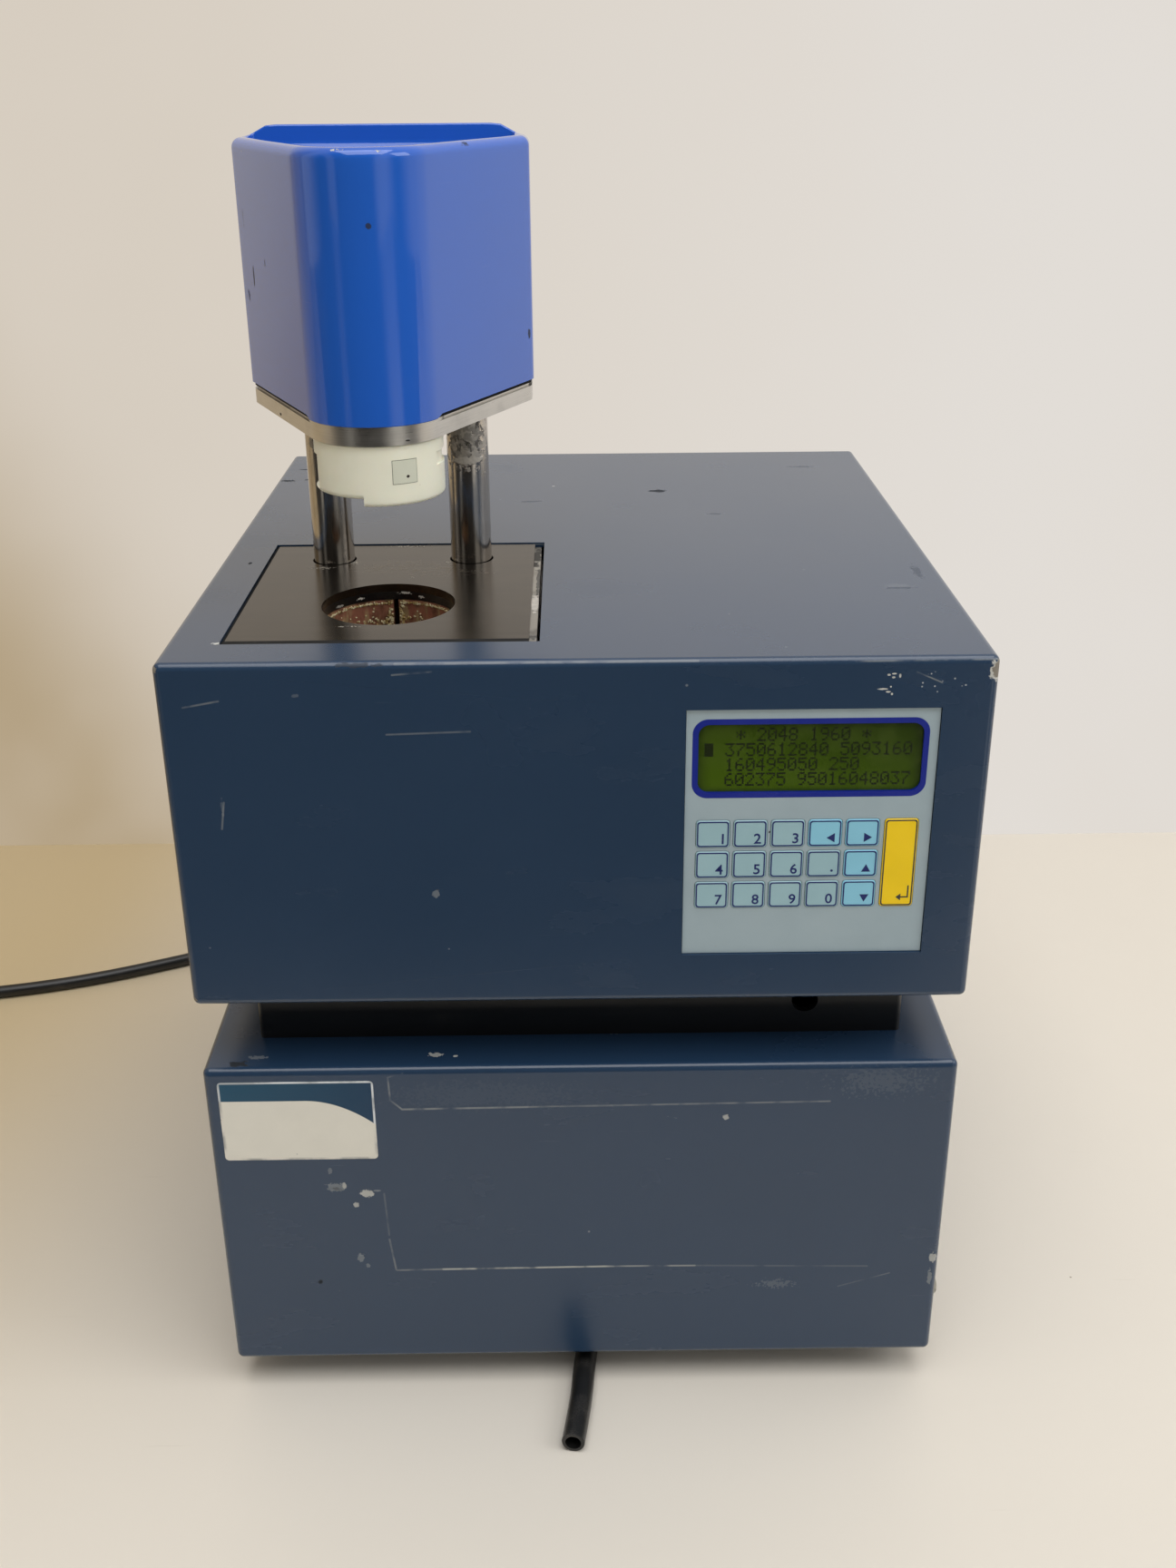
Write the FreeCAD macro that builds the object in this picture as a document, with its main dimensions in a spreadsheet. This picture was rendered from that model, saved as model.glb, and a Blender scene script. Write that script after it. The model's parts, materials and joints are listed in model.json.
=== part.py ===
import FreeCAD, Part

import math
import os

import Sketcher

# Bench-top rapid viscosity analyser, in millimetres.
# Two folded sheet-metal casings stand one on the other on a recessed neck. A spring-returned head on two
# guide rods carries the paddle drive, and comes down over a split heating block that holds the sample can.
# The frame: X to the right, Y to the back, Z up, origin on the table under the middle of the object.

SIZES = (
    ("case_width", 280.0, "width of both casings"),
    ("case_depth", 303.0, "depth of both casings"),
    ("upper_height", 131.0, "height of the upper casing"),
    ("lower_height", 139.0, "height of the lower casing"),
    ("casing_gap", 28.0, "gap between the casings"),
    ("foot_height", 14.0, "clear height under the lower casing"),
    ("sheet", 2.0, "thickness of the casing sheet"),
    ("bend_radius", 2.5, "outer radius of the folded edges"),
    ("lip", 14.0, "width of the lip folded in under each casing"),
    ("rear_flange", 20.0, "width of the flanges behind the rear panel's screws"),
    ("fit_gap", 0.3, "clearance between sheet parts"),
    ("neck_inset", 18.0, "neck set in from the casing sides"),
    ("neck_front", 21.7, "neck set back from the casing front"),
    ("neck_wall", 3.0, "wall of the neck"),
    ("neck_corner", 2.0, "outer corner radius of the neck"),
    ("neck_hole_x", 85.0, "hole in the neck front, from the middle"),
    ("neck_hole_up", 14.0, "hole in the neck front, above the lower casing"),
    ("neck_hole", 10.0, "diameter of that hole"),
    ("duct_margin", 11.0, "duct opening inside the neck wall"),
    ("foot_radius", 14.0, "radius of a foot at its top"),
    ("foot_toe", 12.0, "radius of a foot at the table"),
    ("foot_inset_x", 38.0, "foot centre from the casing side"),
    ("foot_inset_y", 42.0, "foot centre from front and back"),
    ("tray_flange", 36.0, "upturned side flange of the base plate"),
    ("side_screw_up", 26.0, "side screws above the lower casing's bottom"),
    ("side_screw_back", 9.0, "side screws from the front and back edges"),
    ("screw_shank", 4.0, "diameter of a casing screw"),
    ("screw_head", 8.0, "diameter of its pan head"),
    ("screw_rise", 2.4, "height of its pan head"),
    ("screw_brim", 1.0, "straight edge of its head"),
    ("screw_shoulder", 2.0, "height where its head turns to the crown"),
    ("screw_crown", 1.4, "radius of its flat crown"),
    ("screw_slot", 1.2, "width of its slot"),
    ("screw_slot_depth", 1.1, "depth of its slot"),
    ("screw_length", 8.0, "length of its shank"),
    ("panel_screw_x", 126.0, "rear panel screws from the middle"),
    ("panel_screw_in", 16.0, "rear panel screws from top and bottom"),
    ("spindle_x", -68.3, "spindle axis from the middle"),
    ("spindle_back", 64.0, "spindle axis behind the casing front"),
    ("rod_diameter", 16.0, "guide rods"),
    ("rod_chamfer", 1.0, "chamfer at the lower end of a rod"),
    ("rod_spacing", 54.3, "distance between the guide rods"),
    ("rod_back", 57.7, "guide rods behind the spindle axis"),
    ("rod_hole_gap", 0.6, "clearance round a rod in the deck"),
    ("deck_left", 52.0, "deck plate, spindle axis to its left edge"),
    ("deck_right", 52.0, "deck plate, spindle axis to its right edge"),
    ("deck_front", 43.1, "deck plate, spindle axis to its front edge"),
    ("deck_rear", 76.8, "deck plate, spindle axis to its back edge"),
    ("deck_thickness", 3.0, "thickness of the deck plate"),
    ("deck_recess", 0.4, "deck plate below the casing's top"),
    ("deck_gap", 1.2, "gap round the deck plate"),
    ("deck_gap_right", 3.8, "wider gap at its right"),
    ("rail_thickness", 2.6, "wall of the deck frame"),
    ("rail_height", 12.0, "height of the deck frame"),
    ("rail_drop", 1.2, "right rail below the deck plate's top"),
    ("well_diameter", 48.5, "hole in the deck plate"),
    ("collar_height", 3.0, "insulating collar under the deck plate"),
    ("collar_diameter", 64.0, "outside of that collar"),
    ("head_half", 52.0, "guide column, half its width"),
    ("head_half_depth", 22.0, "guide column, half its depth"),
    ("head_height", 62.0, "bearing head of the guide column"),
    ("column_leg", 8.0, "legs of the guide column"),
    ("column_foot", 10.0, "foot flanges of the guide column"),
    ("column_foot_height", 6.0, "their thickness"),
    ("bush_diameter", 28.0, "outside of a guide bush"),
    ("bush_length", 27.0, "length of a guide bush"),
    ("bush_seat_gap", 0.02, "clearance of a bush in the column"),
    ("rod_run_gap", 0.05, "running clearance of a rod in its bush"),
    ("spring_window", 20.0, "square window for the return spring"),
    ("spring_pin", 4.0, "pin that anchors the return spring"),
    ("spring_pin_drop", 8.0, "that pin below the column's top"),
    ("spring_coil", 13.0, "diameter of the return spring at mid-wire"),
    ("spring_wire", 1.6, "wire of the return spring"),
    ("spring_turns", 9.0, "turns of the return spring"),
    ("yoke_half", 38.0, "rod yoke, half its width"),
    ("yoke_depth", 24.0, "depth of the rod yoke"),
    ("yoke_height", 12.0, "height of the rod yoke"),
    ("yoke_drop", 4.0, "rod yoke below the bearing head at rest"),
    ("stroke", 60.0, "travel of the head"),
    ("rod_seat_gap", 0.02, "clearance of a rod in plate and yoke"),
    ("block_half_x", 33.0, "copper block, half its width"),
    ("block_half_y", 30.0, "copper block, half its depth"),
    ("block_bottom", 88.0, "bottom of the copper block below the deck level"),
    ("block_gap", 2.0, "split between the copper halves at rest"),
    ("block_clear", 0.3, "copper block below the collar"),
    ("mouth_diameter", 47.5, "upper bore of the copper block"),
    ("mouth_depth", 24.0, "floor of that bore below the deck level"),
    ("can_bore", 39.2, "bore for the sample can"),
    ("heater_diameter", 10.0, "cartridge heaters"),
    ("heater_length", 58.0, "length of a cartridge heater"),
    ("heater_x", 26.0, "heaters from the split"),
    ("heater_y", 20.0, "heaters in front of and behind the axis"),
    ("heater_chamfer", 1.0, "chamfer at the top of a heater"),
    ("heater_gap", 0.05, "clearance round a heater"),
    ("tongue_half", 6.0, "guide tongue under the copper block, half its width"),
    ("tongue_height", 3.0, "height of that tongue"),
    ("tongue_gap", 0.2, "clearance round the tongue"),
    ("base_half_x", 46.0, "block base, half its width"),
    ("base_half_y", 34.0, "block base, half its depth"),
    ("base_wall", 4.0, "wall of the block base"),
    ("base_top", 9.0, "top of the block base"),
    ("drain_bore", 8.0, "drain hole under the sample can"),
    ("plate_bottom", 62.0, "head plate above the deck level at rest"),
    ("plate_thickness", 5.3, "thickness of the head plate"),
    ("land_height", 1.2, "land on the head plate that carries the cover"),
    ("land_inset", 1.2, "that land set in along the sides"),
    ("nose_arc", 23.5, "radius of the head plate's rounded front"),
    ("head_flare", 25.0, "slope of the head's sides, in degrees"),
    ("head_side", 52.5, "head plate, spindle axis to its sides"),
    ("head_back", 74.0, "head plate, spindle axis to its back edge"),
    ("head_corner", 6.0, "corner radius of the head plate"),
    ("cover_over", 0.8, "cover wider than the head plate"),
    ("cover_height", 87.0, "height of the cover up to its rim"),
    ("cover_wall", 2.5, "wall of the cover"),
    ("cover_edge", 3.5, "rounded rim of the cover"),
    ("cover_roof", 8.0, "depth of the cover's roof"),
    ("dish_inset", 5.5, "dish in the cover's roof, set in from the rim"),
    ("dish_depth", 5.0, "depth of that dish"),
    ("crest_height", 4.6, "raised back edge above the rim"),
    ("crest_half", 41.0, "flat top of the raised back edge, half its width"),
    ("crest_round", 2.2, "rounding of the raised back edge"),
    ("dish_round", 3.0, "rounding of the dish's floor"),
    ("ring_diameter", 45.1, "nose ring at its flange and lower sector"),
    ("ring_neck", 43.6, "nose ring between them"),
    ("ring_height", 21.0, "height of the nose ring"),
    ("ring_flange", 5.0, "height of its flange"),
    ("ring_web", 4.0, "web at its top"),
    ("ring_bore", 34.0, "its bore"),
    ("ring_web_bore", 24.0, "hole in its web"),
    ("ring_step", 2.7, "its left front is shorter by this"),
    ("ring_groove", 9.5, "groove above its lower sector, from the top"),
    ("ring_edge", 1.5, "rounding of its lower edge"),
    ("bearing_outside", 22.0, "spindle bearing, outside"),
    ("bearing_height", 6.0, "spindle bearing, height"),
    ("bearing_run_gap", 0.04, "running clearance of the shaft in its bearing"),
    ("shaft_diameter", 8.0, "drive shaft"),
    ("socket_diameter", 14.0, "paddle socket, outside"),
    ("socket_bore", 6.0, "paddle socket, bore"),
    ("socket_depth", 14.0, "depth of that bore"),
    ("socket_rise", 2.0, "socket's end above the nose ring's lower edge"),
    ("socket_slot", 2.5, "drive slot across the socket's end"),
    ("socket_slot_depth", 4.0, "depth of that slot"),
    ("socket_length", 16.0, "length of the paddle socket"),
    ("motor_diameter", 38.0, "drive motor"),
    ("motor_height", 58.0, "height of the drive motor"),
    ("motor_flange", 42.0, "flange of the drive motor"),
    ("motor_flange_height", 5.0, "its thickness"),
    ("motor_shaft_gap", 0.3, "clearance round the shaft in the motor"),
    ("shaft_in_motor", 20.0, "shaft inside the motor"),
    ("panel_left", 36.3, "operating panel, from the middle to its left edge"),
    ("panel_width", 85.7, "width of the operating panel"),
    ("panel_down", 18.0, "operating panel below the casing's top"),
    ("panel_height", 94.0, "height of the operating panel"),
    ("panel_recess", 1.0, "overlay behind the casing's front"),
    ("overlay_thickness", 1.0, "thickness of the overlay"),
    ("overlay_gap", 0.2, "gap round the overlay"),
    ("window_x", 4.2, "display window from the panel's left edge"),
    ("window_down", 5.5, "display window from the panel's top"),
    ("window_width", 76.5, "width of the display window"),
    ("window_height", 25.5, "height of the display window"),
    ("key_x", 4.3, "first key from the panel's left edge"),
    ("key_down", 41.3, "first key from the panel's top"),
    ("key_width", 11.6, "width of a key"),
    ("key_height", 10.3, "height of a key"),
    ("key_pitch_x", 12.95, "distance between key columns"),
    ("key_pitch_z", 11.9, "distance between key rows"),
    ("key_corner", 1.2, "corner radius of a key"),
    ("key_thickness", 0.95, "thickness of a key"),
    ("key_proud", 0.4, "key in front of the overlay"),
    ("key_bevel", 0.24, "bevel round a key's face"),
    ("key_gap", 0.2, "gap round a key"),
    ("enter_x", 69.5, "tall key from the panel's left edge"),
    ("enter_height", 34.1, "height of the tall key"),
    ("board_margin", 4.0, "keypad board past the panel opening"),
    ("board_thickness", 1.6, "thickness of the circuit boards"),
    ("display_width", 98.0, "width of the display board"),
    ("display_height", 60.0, "height of the display board"),
    ("bezel_width", 90.0, "width of the display's metal frame"),
    ("bezel_height", 40.0, "height of the display's metal frame"),
    ("bezel_depth", 7.0, "depth of the display's metal frame"),
    ("glass_rise", 1.4, "display glass in front of its frame"),
    ("display_screw", 3.0, "mounting holes of the display board"),
    ("standoff_height", 6.0, "standoffs of the controller board"),
    ("standoff_diameter", 7.0, "their diameter"),
    ("controller_x", 60.0, "controller board from the middle"),
    ("controller_back", 175.0, "controller board from the front"),
    ("controller_width", 120.0, "width of the controller board"),
    ("controller_depth", 150.0, "depth of the controller board"),
    ("chip", 36.0, "largest chip on it"),
    ("chip_height", 4.0, "height of that chip"),
    ("supply_x", 70.0, "transformer from the middle"),
    ("supply_back", 180.0, "transformer from the front"),
    ("core_width", 84.0, "transformer core, width"),
    ("core_depth", 36.0, "transformer core, depth"),
    ("core_height", 70.0, "transformer core, height"),
    ("coil_depth", 62.0, "transformer winding, depth"),
    ("coil_width", 54.0, "transformer winding, width"),
    ("coil_drop", 12.0, "winding inside the core, top and bottom"),
    ("inlet_x", -30.0, "power inlet from the middle"),
    ("inlet_up", 46.0, "inlet socket above the table"),
    ("inlet_flange_width", 34.0, "power inlet flange, width"),
    ("inlet_flange_height", 62.0, "power inlet flange, height"),
    ("inlet_flange", 3.0, "power inlet flange, thickness"),
    ("inlet_body_width", 27.5, "power inlet body, width"),
    ("inlet_body_height", 54.0, "power inlet body, height"),
    ("inlet_body_depth", 28.0, "power inlet body, depth"),
    ("socket_recess_width", 24.5, "socket recess, width"),
    ("socket_recess_height", 16.5, "socket recess, height"),
    ("socket_recess_depth", 15.0, "socket recess, depth"),
    ("blade_width", 2.0, "socket blades, width"),
    ("blade_height", 4.0, "socket blades, height"),
    ("blade_length", 11.0, "socket blades, length"),
    ("blade_spread", 7.0, "outer blades from the middle"),
    ("switch_up", 26.0, "rocker above the socket"),
    ("rocker_width", 19.0, "rocker, width"),
    ("rocker_radius", 7.6, "rocker's ends from its pivot"),
    ("rocker_pivot", 3.0, "rocker's pivot behind the flange's face"),
    ("rocker_window", 8.2, "rocker window, half its height"),
    ("rocker_window_depth", 14.0, "rocker window, depth"),
    ("rocker_rise", 3.6, "rocker's ends in front of its pivot"),
    ("rocker_dip", 2.2, "rocker's middle in front of its pivot"),
    ("rocker_tilt", 9.0, "tilt of the rocker at rest, in degrees"),
    ("rocker_pin", 2.4, "rocker's pivot pins"),
    ("rocker_pin_reach", 1.5, "pivot pins past the rocker's sides"),
    ("plug_nose_gap", 0.5, "connector in the socket recess, all round"),
    ("plug_nose_length", 14.0, "connector inside the recess"),
    ("connector_width", 27.0, "connector body, width"),
    ("connector_height", 20.0, "connector body, height"),
    ("connector_length", 22.0, "connector body, length"),
    ("relief_length", 24.0, "strain relief behind the connector"),
    ("relief_radius", 6.2, "strain relief at the connector"),
    ("lead_diameter", 7.0, "mains lead"),
    ("lead_turns_wide", 3.0, "turns of the put-away lead, side by side"),
    ("lead_layers", 2.0, "layers of the put-away lead"),
    ("lead_turn_diameter", 77.0, "middle of its turns"),
    ("hose_diameter", 9.0, "drain hose"),
    ("drain_x", 4.0, "drain elbow from the middle"),
    ("drain_back", 62.0, "end of the drain elbow behind the casing front"),
    ("elbow_body", 6.5, "drain elbow, radius of its body"),
    ("elbow_length", 16.0, "drain elbow, axis to its end"),
    ("spigot_x", -108.0, "first water spigot from the middle"),
    ("spigot_pitch", 34.0, "distance between the water spigots"),
    ("spigot_up", 46.0, "water spigots above the upper casing's bottom"),
    ("spigot_reach", 22.0, "water spigots behind the casing"),
    ("spigot_bore", 6.0, "bore of a water spigot"),
    ("spigot_stem", 9.0, "stem of a water spigot"),
    ("spigot_groove", 7.8, "groove between the barbs of a water spigot"),
    ("spigot_barb", 4.0, "length of a barb, which is as thick as the stem"),
    ("spigot_flange", 16.0, "flange of a water spigot"),
    ("spigot_flange_length", 5.0, "its thickness"),
    ("spigot_thread", 11.0, "its thread through the panel"),
    ("spigot_inside", 12.0, "its length inside the panel"),
    ("serial_x", 70.0, "serial port from the middle"),
    ("serial_up", 40.0, "serial port above the upper casing's bottom"),
    ("serial_flange_width", 31.0, "serial port flange, width"),
    ("serial_flange_height", 12.6, "serial port flange, height"),
    ("serial_flange", 1.0, "serial port flange, thickness"),
    ("serial_shell_width", 17.0, "serial port shell, width"),
    ("serial_shell_height", 8.4, "serial port shell, height"),
    ("serial_shell", 6.0, "serial port shell, length"),
    ("vent_width", 46.0, "vent slots, length"),
    ("vent_height", 4.0, "vent slots, height"),
    ("vent_pitch", 10.0, "vent slots, pitch"),
    ("vent_x", 60.0, "vent slots from the middle"),
    ("vent_up", 62.0, "lowest vent slot above its casing's bottom"),
    ("vent_round", 1.9, "rounded ends of a vent slot"),
    ("vent_count", 5.0, "number of vent slots in a bank"),
    ("plug_radius", 18.0, "mains plug, radius of its body"),
    ("plug_body", 16.0, "mains plug, length of its round body"),
    ("plug_taper", 20.0, "mains plug, length of its taper"),
    ("plug_neck", 18.0, "mains plug, length of its strain relief"),
    ("plug_relief", 5.6, "mains plug, radius where its strain relief ends"),
    ("plug_shoulder", 15.3, "mains plug, radius where its taper ends"),
    ("plug_pin", 4.8, "pins of the mains plug"),
    ("plug_pin_spread", 19.0, "distance between those pins"),
    ("plug_pin_length", 19.0, "length of those pins"),
    ("plug_side", 14.0, "mains plug in front of the coil's middle"),
)

os.makedirs("parts", exist_ok=True)
doc = FreeCAD.newDocument("ViscosityAnalyser")
sheet = doc.addObject("Spreadsheet::Sheet", "Sizes")
for row, (alias, amount, meaning) in enumerate(SIZES, start=1):
    sheet.set(f"A{row}", alias)
    sheet.set(f"B{row}", str(amount))
    sheet.set(f"C{row}", meaning)
    sheet.setAlias(f"B{row}", alias)
doc.recompute()

V = FreeCAD.Vector


# Sizes as formulas


class Size:
    """A length with the spreadsheet formula that gives it."""

    def __init__(self, value, text):
        self.value = value
        self.text = text

    def __add__(self, other):
        return joined(self, "+", other)

    def __radd__(self, other):
        return joined(other, "+", self)

    def __sub__(self, other):
        return joined(self, "-", other)

    def __rsub__(self, other):
        return joined(other, "-", self)

    def __mul__(self, other):
        return joined(self, "*", other)

    def __rmul__(self, other):
        return joined(other, "*", self)

    def __truediv__(self, other):
        return joined(self, "/", other)

    def __neg__(self):
        return joined(0, "-", self)


def size(amount):
    """Give a plain number the form of a Size."""
    if isinstance(amount, Size):
        return amount
    return Size(float(amount), f"({float(amount)})")


def joined(first, sign, second):
    """Combine two sizes and their formulas."""
    first = size(first)
    second = size(second)
    results = {
        "+": first.value + second.value,
        "-": first.value - second.value,
        "*": first.value * second.value,
    }
    if sign == "/":
        results["/"] = first.value / second.value
    return Size(results[sign], f"({first.text} {sign} {second.text})")


class Cells:
    """The spreadsheet's cells by name."""

    def __getattr__(self, name):
        return Size(float(getattr(sheet, name)), f"Sizes.{name}")


s = Cells()


def bind(thing, **sizes):
    """Bind properties of a document object to formulas."""
    for name, amount in sizes.items():
        thing.setExpression(name, size(amount).text)


def place(thing, x=0, y=0, z=0):
    """Bind the place of a document object to formulas."""
    for axis, amount in zip("xyz", (x, y, z)):
        thing.setExpression(f"Placement.Base.{axis}", size(amount).text)


# Bodies, sketches and features

parts = {}


def body(label, x=0, y=0, z=0, kept=True):
    """Start a body at its place; kept bodies are written out under their label."""
    new = doc.addObject("PartDesign::Body", "Body")
    new.Label = label
    place(new, x, y, z)
    if kept:
        parts[label] = new
    return new


def group(label, members):
    """Keep several separate solids as one part."""
    new = doc.addObject("Part::Compound", "Compound")
    new.Label = label
    new.Links = members
    parts[label] = new
    return new


class Outline:
    """A sketch on one of a body's own planes, held by sizes."""

    def __init__(self, owner, plane="XY", at=0):
        self.plane = plane
        self.waiting = []
        self.sketch = owner.newObject("Sketcher::SketchObject", "Sketch")
        role = plane + "_Plane"
        support = [feature for feature in owner.Origin.OriginFeatures if feature.Role == role][0]
        self.sketch.AttachmentSupport = (support, "")
        self.sketch.MapMode = "FlatFace"
        height = -size(at) if plane == "XZ" else size(at)
        self.sketch.setExpression("AttachmentOffset.Base.z", height.text)

    def tie(self, kind, *places, to):
        """Note a measured constraint with its formula."""
        amount = size(to)
        start = math.radians(amount.value) if kind == "Angle" else amount.value
        self.waiting.append((Sketcher.Constraint(kind, *places, start), amount.text))

    def fix(self, kind, *places):
        """Note a constraint without a measure."""
        self.waiting.append((Sketcher.Constraint(kind, *places), None))

    def hold(self):
        """Add the noted constraints together and bind the measured ones."""
        indices = self.sketch.addConstraint([constraint for constraint, text in self.waiting])
        for index, (constraint, text) in zip(indices, self.waiting):
            if text:
                self.sketch.setExpression(f"Constraints[{index}]", text)
        self.waiting = []
        return self

    def at(self, item, end, x, y):
        """Hold a point at a place."""
        self.tie("DistanceX", item, end, to=x)
        self.tie("DistanceY", item, end, to=y)

    def polygon(self, corners):
        """Draw a closed polygon through corners (x, y)."""
        points = [V(size(x).value, size(y).value, 0) for x, y in corners]
        first = self.sketch.GeometryCount
        count = len(points)
        lines = [Part.LineSegment(points[i], points[(i + 1) % count]) for i in range(count)]
        self.sketch.addGeometry(lines)
        for i in range(count):
            self.fix("Coincident", first + i, 2, first + (i + 1) % count, 1)
        for i, (x, y) in enumerate(corners):
            self.at(first + i, 1, x, y)
        return self.hold()

    def box(self, x0, y0, x1, y1):
        """Draw a rectangle from two opposite corners."""
        return self.polygon([(x0, y0), (x1, y0), (x1, y1), (x0, y1)])

    def circle(self, x, y, diameter):
        """Draw a circle."""
        centre = V(size(x).value, size(y).value, 0)
        item = self.sketch.addGeometry(Part.Circle(centre, V(0, 0, 1), size(diameter).value / 2))
        self.at(item, 3, x, y)
        self.tie("Diameter", item, to=diameter)
        return self.hold()

    def rounded_box(self, x0, y0, x1, y1, radius):
        """Draw a rectangle with round corners; x0 < x1 and y0 < y1."""
        a, b, c, d = (size(amount).value for amount in (x0, y0, x1, y1))
        r = size(radius).value
        up = V(0, 0, 1)
        first = self.sketch.GeometryCount
        centres = [V(c - r, b + r, 0), V(c - r, d - r, 0), V(a + r, d - r, 0), V(a + r, b + r, 0)]
        starts = [-90, 0, 90, 180]
        lines = [
            Part.LineSegment(V(a + r, b, 0), V(c - r, b, 0)),
            Part.LineSegment(V(c, b + r, 0), V(c, d - r, 0)),
            Part.LineSegment(V(c - r, d, 0), V(a + r, d, 0)),
            Part.LineSegment(V(a, d - r, 0), V(a, b + r, 0)),
        ]
        arcs = [
            Part.ArcOfCircle(Part.Circle(centre, up, r), math.radians(start), math.radians(start + 90))
            for centre, start in zip(centres, starts)
        ]
        self.sketch.addGeometry(lines + arcs)
        for i in range(4):
            self.fix("Tangent", first + i, 2, first + 4 + i, 1)
            self.fix("Tangent", first + 4 + i, 2, first + (i + 1) % 4, 1)
        for i in (0, 2):
            self.fix("Horizontal", first + i)
            self.fix("Vertical", first + i + 1)
        for i in range(1, 4):
            self.fix("Equal", first + 4, first + 4 + i)
        self.tie("Radius", first + 4, to=radius)
        self.tie("DistanceY", first, 1, to=y0)
        self.tie("DistanceX", first + 1, 1, to=x1)
        self.tie("DistanceY", first + 2, 1, to=y1)
        self.tie("DistanceX", first + 3, 1, to=x0)
        return self.hold()


def pad(owner, outline, length):
    """Raise an outline along the positive axis across its plane."""
    new = owner.newObject("PartDesign::Pad", "Pad")
    new.Profile = outline.sketch
    bind(new, Length=length)
    new.Reversed = outline.plane == "XZ"
    owner.Tip = new
    return new


def pocket(owner, outline, length):
    """Cut an outline along the positive axis across its plane."""
    new = owner.newObject("PartDesign::Pocket", "Pocket")
    new.Profile = outline.sketch
    bind(new, Length=length)
    new.Reversed = outline.plane != "XZ"
    owner.Tip = new
    return new


def revolve(owner, outline, cut=False):
    """Turn an outline drawn on XZ about the body's own Z axis."""
    kind = "Groove" if cut else "Revolution"
    new = owner.newObject(f"PartDesign::{kind}", kind)
    new.Profile = outline.sketch
    new.ReferenceAxis = (outline.sketch, ["V_Axis"])
    new.Angle = 360
    owner.Tip = new
    return new


def edges(owner, rule):
    """Name the edges of a body's last feature that a rule picks."""
    owner.Tip.recompute(True)
    shape = owner.Tip.Shape
    return [f"Edge{i}" for i, edge in enumerate(shape.Edges, start=1) if rule(edge)]


def soften(owner, radius, rule, kind="Fillet"):
    """Round or chamfer the edges that a rule picks."""
    names = edges(owner, rule)
    base = owner.Tip
    new = owner.newObject(f"PartDesign::{kind}", kind)
    new.Base = (base, names)
    bind(new, **({"Radius": radius} if kind == "Fillet" else {"Size": radius}))
    owner.Tip = new
    return new


def spans(edge, axis):
    """Tell whether an edge is straight along an axis, given as 0, 1 or 2."""
    if edge.Curve.TypeId != "Part::GeomLine":
        return False
    return abs(edge.Curve.Direction[axis]) > 0.999


def lies(edge, axis, place_on_axis):
    """Tell whether an edge lies in the plane across an axis at a place."""
    lows = (edge.BoundBox.XMin, edge.BoundBox.YMin, edge.BoundBox.ZMin)
    highs = (edge.BoundBox.XMax, edge.BoundBox.YMax, edge.BoundBox.ZMax)
    target = size(place_on_axis).value
    return abs(lows[axis] - target) < 0.001 and abs(highs[axis] - target) < 0.001


# Main levels and places

front = -(s.case_depth + s.spigot_reach) / 2
lower_floor = s.foot_height
lower_top = lower_floor + s.lower_height
upper_floor = lower_top + s.casing_gap
deck_level = upper_floor + s.upper_height
axis_x = s.spindle_x
axis_y = front + s.spindle_back
rod_y = axis_y + s.rod_back
half_width = s.case_width / 2
inside = half_width - s.sheet
plate_level = deck_level + s.plate_bottom
land_level = plate_level + s.plate_thickness + s.land_height


# Casings


def casing(label, height, bottom):
    """Fold a casing: rounded bends, open at the back, a lip underneath and flanges for the rear panel."""
    shell = body(label, 0, front, bottom)
    pad(shell, Outline(shell).box(-half_width, 0, half_width, s.case_depth), height)

    def bend(edge):
        at_back = lies(edge, 1, s.case_depth)
        return not at_back

    soften(shell, s.bend_radius, bend)
    room = Outline(shell, "XZ", s.sheet).box(-inside, s.sheet, inside, height - s.sheet)
    pocket(shell, room, s.case_depth)
    hatch = Outline(shell).box(s.lip - half_width, s.lip, half_width - s.lip, s.case_depth + s.sheet)
    pocket(shell, hatch, s.sheet)
    flanges = Outline(shell, "XZ", s.case_depth - 2 * s.sheet)
    for side in (-1, 1):
        flanges.box(
            side * (inside + s.sheet / 2), s.sheet / 2, side * (inside - s.rear_flange), height - s.sheet / 2
        )
    pad(shell, flanges, s.sheet)
    holes = Outline(shell, "XZ", s.case_depth - 3 * s.sheet)
    for x, z in panel_screw_places(height):
        holes.circle(x, z, s.screw_shank)
    pocket(shell, holes, s.sheet * 2)
    return shell


def panel_screw_places(height):
    """Places of a rear panel's four screws."""
    return [
        (x, z)
        for x in (-s.panel_screw_x, s.panel_screw_x)
        for z in (s.panel_screw_in, height - s.panel_screw_in)
    ]


def upper_casing():
    """Casing with the deck opening in its top and the panel opening in its front."""
    shell = casing("upper_casing", s.upper_height, upper_floor)
    under = s.upper_height - s.sheet - s.sheet / 2
    deck = Outline(shell, "XY", under).box(
        axis_x - s.deck_left - s.deck_gap,
        s.spindle_back - s.deck_front - s.deck_gap,
        axis_x + s.deck_right + s.deck_gap_right,
        s.spindle_back + s.deck_rear + s.deck_gap,
    )
    pocket(shell, deck, s.sheet * 2)
    top = s.upper_height - s.panel_down
    panel = Outline(shell, "XZ", -s.sheet / 2).rounded_box(
        s.panel_left, top - s.panel_height, s.panel_left + s.panel_width, top, s.key_gap
    )
    pocket(shell, panel, s.sheet * 2)


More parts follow.
